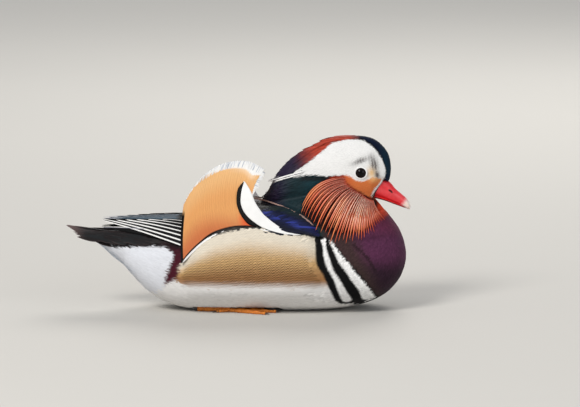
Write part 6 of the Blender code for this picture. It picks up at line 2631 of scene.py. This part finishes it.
@dataclass
class HandQuills:
    """The folded quills that reach back over the tail: dark vanes with white lower edges."""

    start: float = -58.5
    # heights of the white edges there
    lines: tuple[float, ...] = (91.6, 88.4, 84.9, 80.8, 76.4, 71.4, 66.4)
    ends: Knots = ((-79.0, 93.4), (-94.0, 93.4), (-106.0, 93.3), (-117.5, 93.2), (-128.0, 93.0),
        (-136.0, 92.8), (-141.8, 92.5))
    covers: Knots = (  # the blue-green tertials on top: start and end from above, and half width
        (-57.0, 2.5, -126.0, 0.5, 0.0034),
        (-57.0, 7.0, -133.0, 2.0, 0.0034),
        (-57.0, 11.5, -138.0, 3.5, 0.0034),
        (-57.0, 15.5, -142.5, 5.5, 0.0032),
    )
    lower: Knots = (  # the dark tips that show below them
        (-62.0, 72.0, -136.0, 84.0, 0.0032),
        (-62.0, 75.0, -143.5, 85.6, 0.003),
    )
    steps: int = 20
    thick: float = 0.0005
    mantle_count: int = 46

    def build(self, name: str, side: float) -> Thing:
        """Builds one side's quills, the lowest first.

        Args:
            name: the side's name, for the names of its pieces.
            side: -1 on the right, 1 on the left.

        Returns:
            The piece.
        """
        plumage = Plumage(f"wing_quills_{name}", section=BROAD, side=side)
        for number, (x0, w0, x1, w1, half) in enumerate(self.lower):
            self.vane(plumage, (x0, w0), (x1, w1), half, 0.2, 0.0002 + 0.0005 * number,
                flat_tone(Tone.BLACK))
        x1, w1 = self.lower[1][2:4]
        self.vane(plumage, (-98.0, 83.4), (x1 + 1.0, w1 - 1.0), 0.0004, 0.5, 0.004,
            flat_tone(Tone.QUILL_PALE))
        for number in reversed(range(len(self.lines))):
            height, (x1, w1) = self.lines[number], self.ends[number]
            above = (self.lines[number - 1] if number else 93.4) - height
            lift = 0.0022 + 0.00035 * (len(self.lines) - number)
            half = above * MM * 0.62
            self.vane(plumage, (self.start, height + above * 0.5), (x1, w1 + 0.5), half, 0.15, lift,
                flat_tone(Tone.BLACK))
            self.vane(plumage, (self.start, height), (x1, w1), 0.00078, 0.7, lift + 0.0006,
                flat_tone(Tone.WHITE))
        v = np.linspace(0, 1, self.steps)
        for number, (x0, y0, x1, y1, half) in enumerate(self.covers):
            x, y = (x0 + (x1 - x0) * v) * MM, (y0 + (y1 - y0) * v) * MM
            z = 0.0957 - 0.001 * v**2 + 0.0003 * number - y * 0.02
            outs = np.broadcast_to(unit(np.array([-0.02, 0.12, 1.0])), (1, self.steps, 3))
            widths = half * (1 - 0.5 * v) * ramp(1.0, 0.9, v)
            path = np.stack([x, y, z], -1)[None]
            plumage.add(path, outs, widths[None], self.thick, self.paint, np.array([0.5]), 0.05,
                by_row=False)
        self.mantle(plumage)
        return plumage.finish(STIFF_PLUME, "wing_feathers", f"wing_{name}")

    def mantle(self, plumage: Plumage) -> None:
        """Lays the dark feathers of the back over the roots of the tertials.

        Args:
            plumage: takes the feathers.
        """
        rng = np.random.default_rng(61)
        count, steps = self.mantle_count, 8
        y = np.linspace(0.0004, 0.0215, count) + rng.normal(0, 0.0004, count)
        x = -0.0455 + rng.normal(0, 0.002, count)
        v = np.linspace(0, 1, steps)
        along_x = x[:, None] - rng.uniform(0.012, 0.0165, count)[:, None] * v
        along_y = np.abs(y)[:, None] * (1 - 0.12 * v)
        heights = np.linspace(0.08, 0.11, 121)
        wide = TRUNK.half_width(along_x[..., None], heights[None, None]) >= along_y[..., None]
        top = np.where(wide, heights, 0.0).max(-1)
        roof = np.where(along_x < -0.056, 0.0966, 0.0)
        lifts = rng.uniform(0.0006, 0.0013, count)[:, None] * ramp(0, 0.4, v) - 0.0012 * ramp(0.4, 0, v)
        paths = np.stack([along_x, along_y, np.maximum(top, roof) + lifts], -1)
        outs = np.broadcast_to(unit(np.array([-0.05, 0.12, 1.0])), paths.shape)
        halves = 0.0026 * Shape.SCALE.halves(steps)
        plumage.add(paths, outs, halves, 0.0004, flat_tone(Tone.BACK), rng.random(count), 0.2, by_row=False)

    def vane(self, plumage: Plumage, start: tuple[float, float], end: tuple[float, float], half: float,
            taper: float, lift: float, paint: Painter) -> None:
        """Lays one quill over the rump.

        Args:
            plumage: takes the quill.
            start: its root on the side plate, in millimetres.
            end: its tip there.
            half: its half width at the root, in metres.
            taper: share of that width that is left before the tip.
            lift: how far it lies over the rump.
            paint: gives its tones.
        """
        v = np.linspace(0, 1, self.steps)
        flat = np.array(start) * (1 - v)[:, None] + np.array(end) * v[:, None]
        flat[:, 1] += 1.2 * np.sin(math.pi * v) * abs(end[0] - start[0]) / 84
        back = np.clip((-55.0 - flat[:, 0]) / 87, 0, 1)
        x, z = flat[:, 0] * MM, flat[:, 1] * MM
        for _ in range(3):
            wide = wing_surface(np.full(self.steps, -0.055), z)
            off = lift * (1 - 0.6 * back)
            y = wide * (1 - back) + 0.007 * back + 0.004 * np.sin(math.pi * back) + off - 0.002
            z = flat[:, 1] * MM + y * PLATE_TILT
        widths = half * (1 - (1 - taper) * v) * ramp(1.0, 0.93, v)
        outs = np.broadcast_to(unit(np.array([-0.25, 0.9, 0.36])), (1, self.steps, 3))
        path = np.stack([x, y, z], -1)[None]
        plumage.add(path, outs, widths[None], self.thick, paint, np.array([0.5]), 0.12, by_row=False)

    def paint(self, points: Array, s: Array, v: Array, seed: Array) -> Array:
        """Paints the tertials dull blue-green, with paler upper edges and a pale tip."""
        colour = mix(Tone.TERTIAL, Tone.QUILL_PALE, 0.35 * ramp(-0.3, -1.0, s))
        return mix(colour, Tone.QUILL_PALE, 0.9 * ramp(-0.118, -0.14, points[:, 0]))


@dataclass
class Tail:
    """The dark fan of tail quills and the coverts over their roots."""

    quills: int = 15
    covert_count: int = 150
    half: float = 0.0046
    thick: float = 0.0006
    steps: int = 14
    roots: Knots = ((-0.125, 0.002, 0.079), (-0.12, 0.011, 0.075), (-0.112, 0.018, 0.07))
    tips: Knots = ((-0.1806, 0.002, 0.0874), (-0.168, 0.012, 0.0812), (-0.15, 0.0195, 0.0738))

    def build(self) -> Thing:
        """Builds both sides' quills and coverts as one piece.

        Returns:
            The piece.
        """
        halves = [self.side("right", -1.0), self.side("left", 1.0)]
        tail = joined("tail_fan", halves)
        return dress(tail, STIFF_PLUME, "tail_feathers", "tail")

    def side(self, name: str, side: float) -> Thing:
        """Builds one side of the fan.

        Args:
            name: the side's name, for the names of its pieces.
            side: -1 on the right, 1 on the left.

        Returns:
            One side of the tail.
        """
        rng = np.random.default_rng(51)
        plumage = Plumage(f"tail_{name}", section=BROAD, side=side, soft=1.0)
        shares = np.linspace(0, 1, self.quills)
        roots, tips = along(self.roots, shares), along(self.tips, shares)
        bows = (roots + tips) / 2 - [0, 0, 0.0012]
        paths = bent(roots, bows, tips, self.steps)
        outs = np.stack([np.full(self.quills, 0.1), 0.5 + 0.6 * shares, 1 - 0.3 * shares], -1)
        outs = unit(np.repeat(outs[:, None], self.steps, 1))
        halves = self.half * Shape.BLADE.halves(self.steps)
        plumage.add(paths, outs, halves, self.thick, self.paint, rng.random(self.quills), 0.2, by_row=False)
        self.coverts(plumage, rng)
        return plumage.finish(STIFF_PLUME, "tail_feathers")

    def coverts(self, plumage: Plumage, rng: Rng) -> None:
        """Adds the dark coverts that lie over the quills' roots and along their sides.

        Args:
            plumage: takes the feathers.
            rng: draws the random numbers.
        """
        count = self.covert_count
        x = rng.uniform(-0.15, -0.09, count)
        low = np.interp(x, [-0.15, -0.118, -0.09], [0.0735, 0.07, 0.07])
        z = low + (0.0815 - low) * rng.random(count) ** 0.8
        roots = np.column_stack([x, z])
        tips = roots + np.column_stack([-rng.uniform(0.016, 0.024, count), (0.079 - z) * 0.35 + 0.002])
        flat = bent(roots, (roots + tips) / 2, tips, 8)
        paths, outs = draped(flat, self.width, rng.uniform(0.0004, 0.0009, count), 0.0008)
        halves = 0.002 * Shape.SCALE.halves(8)
        plumage.add(paths, outs, halves, 0.0004, self.paint, rng.random(count), 0.2, by_row=False)

    def width(self, x: Array, z: Array) -> Array:
        """Reads how far out the tail's coverts lie."""
        return np.maximum(np.maximum(TAIL_CORE.half_width(x, z), TRUNK.half_width(x, z)), 0.003)

    def paint(self, points: Array, s: Array, v: Array, seed: Array) -> Array:
        """Paints dark brown vanes, a little lighter at the end of the tail.

        Args:
            points: places in the bird's frame, one row each.
            s: shares across the feather, -1 to 1.
            v: shares along the feather, from its root.
            seed: each feather's own number, 0 to 1.

        Returns:
            Linear tones, one row for each point.
        """
        colour = mix(Tone.TAIL, tone(30, 34, 36), ramp(0.3, 0.8, seed) * 0.7)
        colour = mix(colour, Tone.TAIL_TIP, 0.8 * ramp(-0.158, -0.178, points[:, 0]))
        return mix(colour, Tone.TAIL_TIP, 0.25 * ramp(0.7, 1.0, np.abs(s)))


# Bare parts

UPPER_BILL = Loft(((0.137, 0.12, 0.1485, 0.1402, 0.0086), (0.142, 0.1188, 0.1545, 0.1368, 0.0084),
    (0.149, 0.117, 0.1605, 0.1316, 0.008), (0.156, 0.1146, 0.1652, 0.1258, 0.0076),
    (0.164, 0.1114, 0.1712, 0.1206, 0.0071), (0.17, 0.1088, 0.176, 0.1164, 0.0064),
    (0.174, 0.107, 0.1792, 0.112, 0.0053), (0.1767, 0.1051, 0.181, 0.1074, 0.0036),
    (0.1802, 0.1037, 0.1802, 0.1037, 0.0)), widest=0.3, high_round=2.3, low_round=2.3)
LOWER_BILL = Loft(((0.14, 0.1166, 0.141, 0.12, 0.0072), (0.145, 0.1157, 0.1458, 0.119, 0.0071),
    (0.1544, 0.1132, 0.155, 0.1162, 0.0067), (0.164, 0.1096, 0.1645, 0.1122, 0.006),
    (0.17, 0.1074, 0.1704, 0.1098, 0.005), (0.174, 0.106, 0.1743, 0.1078, 0.0036),
    (0.1764, 0.1052, 0.1764, 0.1052, 0.0)), widest=0.6, high_round=2.3, low_round=2.3)


@dataclass
class Bill:
    """The red bill with its nostrils, and the pale nail at its tip."""

    rings: int = 150
    sides: int = 96
    lower_rings: int = 80
    lower_sides: int = 64
    nail_share: float = 0.62  # share of the bill's rings behind the nail
    nostril: tuple[float, float] = (0.16, 0.124)
    nostril_size: tuple[float, float] = (0.0023, 0.001)
    nostril_depth: float = 0.0016

    def build(self) -> list[Thing]:
        """Builds the upper bill, the nail and the lower bill.

        Returns:
            The upper bill, the lower bill and the nail.
        """
        grid = self.pitted(UPPER_BILL.grid(self.rings, self.sides))
        split = int(self.rings * self.nail_share)
        upper = tube_mesh("bill_top", grid[: split + 1])
        self.colour(upper, Tone.BILL)
        nail_grid = grid[split - 3 :]
        centre = nail_grid.mean(1, keepdims=True)
        nail_grid = centre + (nail_grid - centre) * np.linspace(1.006, 1.0, len(nail_grid))[:, None, None]
        nail = tube_mesh("bill_tip", nail_grid)
        reach = np.repeat(np.linspace(0, 1, len(nail_grid)), self.sides)
        # the nail starts in the painted pink highlight and pales to its own tone
        plain_marks(nail, mix(Tone.BILL_PINK_HIGHLIGHT, Tone.NAIL, ramp(0.0, 0.3, reach)))
        lower = tube_mesh("bill_under", LOWER_BILL.grid(self.lower_rings, self.lower_sides))
        # the lower bill is painted a darker red, as painted shade under the upper bill
        self.colour(lower, Tone.BILL_SHADE * 2.2)
        return [dress(upper, BILL_HORN, "bill_horn", "bill_upper"),
            dress(lower, BILL_HORN, "bill_horn", "bill_lower"),
            dress(nail, BILL_HORN, "nail_horn", "bill_nail")]

    def pitted(self, grid: Array) -> Array:
        """Sinks the nostrils and lays a low ridge round each.

        Args:
            grid: rings of points.

        Returns:
            The rings with the nostrils in them.
        """
        slant = math.radians(-36)
        x, z = grid[..., 0] - self.nostril[0], grid[..., 2] - self.nostril[1]
        ahead = (x * math.cos(slant) + z * math.sin(slant)) / self.nostril_size[0]
        up = (-x * math.sin(slant) + z * math.cos(slant)) / self.nostril_size[1]
        away = np.hypot(ahead, up)
        push = -self.nostril_depth * ramp(1.25, 0.5, away) + 0.00018 * np.exp(-(((away - 1.6) / 0.4) ** 2))
        outside = np.abs(grid[..., 1]) > 0.0022
        pressed = grid.copy()
        pressed[..., 1] += np.sign(grid[..., 1]) * push * outside
        return pressed

    def colour(self, thing: Thing, base: Array) -> None:
        """Paints red horn with a painted pink highlight along the upper side, bright at the edge, and
        painted shade along the lower edge and inside the nostril.

        Args:
            thing: the upper or lower bill.
            base: the tone under the others.
        """
        points = points_of(thing)
        x, z = points[:, 0], points[:, 2]
        low = np.interp(x, [0.142, 0.149, 0.156, 0.164, 0.17, 0.174],
            [0.1188, 0.117, 0.1146, 0.1114, 0.1088, 0.107])
        up = (z - low) / 0.014
        tones = np.clip(base, 0, 1)
        # painted pink highlight along the upper side
        tones = mix(tones, Tone.BILL_PINK_HIGHLIGHT, 0.3 * np.exp(-(((up - 0.62) / 0.22) ** 2)))
        tones = mix(tones, Tone.BILL_BRIGHT, 0.8 * np.exp(-(((up - 0.06) / 0.05) ** 2)))
        # painted shade along the lower edge
        tones = mix(tones, Tone.BILL_SHADE, 0.85 * ramp(0.02, -0.03, up))
        # painted shade inside the sunken nostril
        slot = np.hypot((x - self.nostril[0]) / 0.0024,
            (z - self.nostril[1] + 0.7 * (x - self.nostril[0])) / 0.0011)
        tones = mix(tones, tone(36, 6, 8), ramp(1.25, 0.7, slot))
        plain_marks(thing, tones)


@dataclass
class Eye:
    """An eyeball and the white lids round it."""

    radius: float = 0.007
    sunk: float = 0.0044
    pupil: float = 0.003
    lid: float = 0.0059
    lid_thick: float = 0.00085
    rings: int = 49
    sides: int = 64
    lid_rings: int = 96
    lid_sides: int = 20

    def build(self, name: str, side: float) -> list[Thing]:
        """Builds one side's eyeball and lids.

        Args:
            name: the side's name, for the names of its pieces.
            side: -1 on the right, 1 on the left.

        Returns:
            The eyeball and the lids.
        """
        x, z = EYE
        out = float(HEAD.half_width(np.array([x]), np.array([z]))[0])
        centre = np.array([x, side * (out - self.sunk), z])
        ball = self.ball(name, centre, side)
        lid = self.lids(name, np.array([x, side * (out - self.sunk), z]), side)
        return [ball, lid]

    def ball(self, name: str, centre: Array, side: float) -> Thing:
        """Builds the eyeball, its iris dark brown and its pupil black.

        Args:
            name: the side's name, for the names of its pieces.
            centre: the eyeball's centre.
            side: -1 on the right, 1 on the left.

        Returns:
            The piece.
        """
        polar = np.linspace(0, math.pi, self.rings)[:, None]
        round_ = np.linspace(0, 2 * math.pi, self.sides, endpoint=False)[None]
        shape = np.stack([np.sin(polar) * np.cos(round_), side * np.cos(polar) * np.ones_like(round_),
            np.sin(polar) * np.sin(round_)], -1)
        bulge = 1 + 0.02 * np.exp(-((polar / 0.45) ** 2))[..., None]
        ball = tube_mesh(f"eyeball_{name}", centre + shape * self.radius * bulge)
        away = np.repeat(np.sin(polar[:, 0]) * self.radius, self.sides)
        tones = mix(tone(8, 7, 8), tone(22, 14, 12), ramp(self.pupil - 0.0002, self.pupil + 0.0003, away))
        tones = mix(tones, tone(14, 10, 10), ramp(0.0046, 0.0054, away))
        plain_marks(ball, tones)
        return dress(ball, EYE_GLOSS, "eye", f"eye_{name}")

    def lids(self, name: str, centre: Array, side: float) -> Thing:
        """Builds the rim of the two lids, pointed a little at the front and rear.

        Args:
            name: the side's name, for the names of its pieces.
            centre: the eyeball's centre.
            side: -1 on the right, 1 on the left.

        Returns:
            The piece.
        """
        rings, sides = self.lid_rings, self.lid_sides
        turn = np.linspace(0, 2 * math.pi, rings, endpoint=False)[:, None]
        tube = np.linspace(0, 2 * math.pi, sides, endpoint=False)[None]
        reach = self.lid * (1 + 0.035 * np.cos(2 * turn)) + self.lid_thick * np.cos(tube) * 1.1
        height = math.sqrt(self.radius**2 - self.lid**2) + 0.0001
        y = height + self.lid_thick * 0.8 * np.sin(tube) + 0.00008 * np.sin(turn * 34)
        grid = np.stack([np.cos(turn) * reach, side * (y + reach * 0), np.sin(turn) * reach], -1)
        grid = np.concatenate([grid, grid[:1]]) + centre
        faces = grid_faces(rings + 1, sides, True) % (rings * sides)
        thing = turned_out(mesh_object(f"lid_{name}", grid[:rings].reshape(-1, 3), [faces]))
        plain_marks(thing, Tone.WHITE)
        return dress(thing, LID_SKIN, "head_feathers")


@dataclass
class Foot:
    """A foot and shank, tucked flat under the belly."""

    heel: tuple[float, float] = (-0.042, 0.025)
    root: tuple[float, float] = (-0.008, 0.031)
    toes: Knots = ((0.027, 0.021), (0.04, 0.037), (0.029, 0.05))
    hind: tuple[float, float] = (-0.022, 0.037)
    shank_radius: float = 0.0031
    toe_radius: float = 0.0021
    claw_length: float = 0.005
    web: float = 0.0009
    web_rows: int = 24
    inset: float = 0.8

    def build(self, name: str, side: float) -> list[Thing]:
        """Builds one side's shank, and its foot as one piece.

        Args:
            name: the side's name, for the names of its pieces.
            side: -1 on the right, 1 on the left.

        Returns:
            The shank, the foot and its claws.
        """
        shank = self.limb("leg", (*self.heel, self.shank_radius), (*self.root, self.shank_radius),
            self.shank_radius, 3)
        parts = [self.sheet()]
        claws = []
        for number, tip in enumerate((*self.toes, self.hind)):
            thick = self.toe_radius * (0.7 if number == 3 else 1.0)
            start = np.array([*self.root, self.toe_radius * 0.9])
            end = np.array([*tip, self.toe_radius * 0.7])
            parts.append(self.limb("toe", start, end, thick, 4))
            ahead = unit(end - start)
            claws.append(self.claw(end - ahead * 0.002, end + ahead * self.claw_length))
        foot, claw = joined(f"toes_{name}", parts), joined(f"claws_{name}", claws)
        shank.name = f"shank_{name}"
        for thing in (shank, foot, claw):
            self.mirror(thing, side)
        return [
            dress(shank, FOOT_SKIN, "foot_skin", f"leg_{name}"),
            dress(foot, FOOT_SKIN, "foot_skin", f"foot_{name}"),
            dress(claw, CLAW_HORN, "foot_skin"),
        ]

    def mirror(self, thing: Thing, side: float) -> None:
        """Moves a piece made on the left to its side.

        Args:
            thing: the piece.
            side: -1 on the right, 1 on the left.
        """
        if side < 0:
            move_points(thing, points_of(thing) * [1, -1, 1])
            turned_out(thing)

    def limb(self, name: str, start: Array, end: Array, radius: float, knuckles: int) -> Thing:
        """Builds a toe or shank with knuckles.

        Args:
            name: the object's name.
            start: its first end.
            end: its other end.
            radius: its usual radius.
            knuckles: how many swellings it has.

        Returns:
            The limb, not yet dressed.
        """
        v = np.linspace(0, 1, 40)
        swell = 1 + 0.13 * np.cos(2 * math.pi * knuckles * v) - 0.35 * v**3
        return self.rod(name, start, end, radius * swell * ramp(-0.06, 0.03, v) ** 0.5, Tone.FOOT)

    def claw(self, start: Array, end: Array) -> Thing:
        """Builds a pointed claw that bends down to the floor."""
        v = np.linspace(0, 1, 16)
        return self.rod("claw", start, end, 0.001 * (1 - v) ** 0.6 + 0.00005, Tone.CLAW, 0.0006)

    def rod(self, name: str, start: Array, end: Array, radii: Array, colour: Array,
            droop: float = 0.0) -> Thing:
        """Builds a round rod along the floor, with its own radius at each ring.

        Args:
            name: the object's name.
            start: its first end.
            end: its other end.
            radii: radius of each ring.
            colour: its tone.
            droop: how much lower its tip is.

        Returns:
            The rod, not yet dressed.
        """
        start, end = np.asarray(start, float), np.asarray(end, float)
        v = np.linspace(0, 1, len(radii))[:, None]
        line = start + (end - start) * v - np.array([0, 0, droop]) * v**2
        ahead = unit(end - start)
        across = unit(np.cross(ahead, [0.0, 0.0, 1.0]))
        lift = np.cross(across, ahead)
        turn = np.linspace(0, 2 * math.pi, 20, endpoint=False)
        ring = np.cos(turn)[:, None] * across + np.sin(turn)[:, None] * lift
        grid = line[:, None] + radii[:, None, None] * ring[None]
        grid[..., 2] = np.maximum(grid[..., 2], FLOOR)
        rod = tube_mesh(name, grid)
        plain_marks(rod, colour)
        return rod

    def sheet(self) -> Thing:
        """Builds the web between the toes, thinner in the middle of each gap.

        Returns:
            The web, not yet dressed.
        """
        root = np.array(self.root)
        tips = [np.array(tip) for tip in self.toes]
        rows = self.web_rows
        points, count = [], 0
        for a, b in zip(tips, tips[1:]):
            for share in np.linspace(0, 1, 25)[: 24 if b is not tips[-1] else 25]:
                dip = 1 - (1 - self.inset) * math.sin(math.pi * share)
                tip = (a * (1 - share) + b * share - root) * dip + root
                points.append([root + (tip - root) * r for r in np.linspace(0.02, 0.99, rows)])
                count += 1
        flat = np.array(points)
        fold = 0.00012 * np.sin(np.linspace(0, 1, rows) * 60)[None]
        top = self.web + fold + 0 * flat[..., 0]
        low = np.full(flat.shape[:2], FLOOR)
        both = [np.concatenate([flat, z[..., None]], -1).reshape(-1, 3) for z in (top, low)]
        form = Sail(columns=count, rows=rows)
        web = turned_out(mesh_object("web", np.concatenate(both), form.faces()))
        plain_marks(web, Tone.WEB)
        return web


# Studio


@dataclass
class Studio:
    """The floor, the lights and the camera of the photo."""

    aim: tuple[float, float, float] = (0.0546, 0.0, 0.1101)
    elevation: float = 8.0
    distance: float = 5.07
    lens: float = 300.0

    def build(self) -> None:
        """Sets up everything round the bird."""
        self.floor()
        self.light("key", (-1.5, -2.2, 2.3), 1.2, 78.0, (1.0, 0.98, 0.95))
        self.light("fill", (2.2, -2.0, 1.1), 2.0, 22.0, (0.96, 0.98, 1.0))
        self.light("rim", (0.6, 2.0, 1.9), 1.4, 34.0, (1.0, 0.98, 0.95))
        self.light("floor_light", (0.0, 5.2, 3.0), 4.0, 60.0, (1.0, 0.99, 0.97), down=True)
        world = bpy.data.worlds.new("studio")
        world.use_nodes = True
        world.node_tree.nodes["Background"].inputs["Color"].default_value = (0.9, 0.94, 1.0, 1.0)
        world.node_tree.nodes["Background"].inputs["Strength"].default_value = 0.36
        bpy.context.scene.world = world
        bpy.context.scene.view_settings.view_transform = "Standard"
        self.camera()

    def floor(self) -> None:
        """Lays a wide flat floor, with nothing behind it that could hide the bird from another side."""
        reach = 16.0
        points = [(x, y, 0.0) for y in (-reach, reach) for x in (-reach, reach)]
        floor = mesh_object("floor", np.array(points), [grid_faces(2, 2, False)])
        floor.data.materials.append(PALE_FLOOR.material())

    def light(self, name: str, place: tuple[float, ...], size: float, power: float,
            colour: tuple[float, ...], down: bool = False) -> None:
        """Hangs a soft square light that faces the bird, or straight down.

        Args:
            name: the light's name.
            place: where it stands.
            size: its width in metres.
            power: its power in watts.
            colour: its colour.
            down: points straight down, not at the bird.
        """
        lamp = bpy.data.lights.new(name, "AREA")
        lamp.size = size
        lamp.energy = power
        lamp.color = colour
        hung = bpy.data.objects.new(name, lamp)
        hung.location = place
        facing = Vector((0.0, 0.0, -1.0)) if down else Vector(self.aim) - Vector(place)
        hung.rotation_euler = facing.to_track_quat("-Z", "Y").to_euler()
        bpy.context.scene.collection.objects.link(hung)

    def camera(self) -> None:
        """Sets the camera at the photo's angle."""
        tilt = math.radians(self.elevation)
        lens = bpy.data.cameras.new("camera")
        lens.lens = self.lens
        lens.sensor_width = 36.0
        lens.clip_end = 50.0
        eye = bpy.data.objects.new("camera", lens)
        back = Vector((0.0, -math.cos(tilt), math.sin(tilt)))
        eye.location = Vector(self.aim) + back * self.distance
        eye.rotation_euler = (-back).to_track_quat("-Z", "Y").to_euler()
        bpy.context.scene.collection.objects.link(eye)
        bpy.context.scene.camera = eye


def main() -> None:
    """Builds the bird in its studio."""
    logging.basicConfig(level=logging.INFO, format="%(name)s %(message)s")
    skin = Skin().build()
    ground = Ground(skin)
    coat = Coat(ground).build()
    LOG.info("coat: %d pieces", len(coat))
    Bill().build()
    for name, side in SIDES:
        Ruff().build(name, side)
        Crest().build(name, side)
        sail = Sail(sink=0.0 if side < 0 else LEFT_SAIL_SINK)
        sail.build(name, side)
        sail.barbs(name, side)
        Sickle().build(name, side)
        Scapulars().build(name, side)
        HandQuills().build(name, side)
        Eye().build(name, side)
        Foot().build(name, side)
    Tail().build()
    Studio().build()


if __name__ == "__main__":
    main()
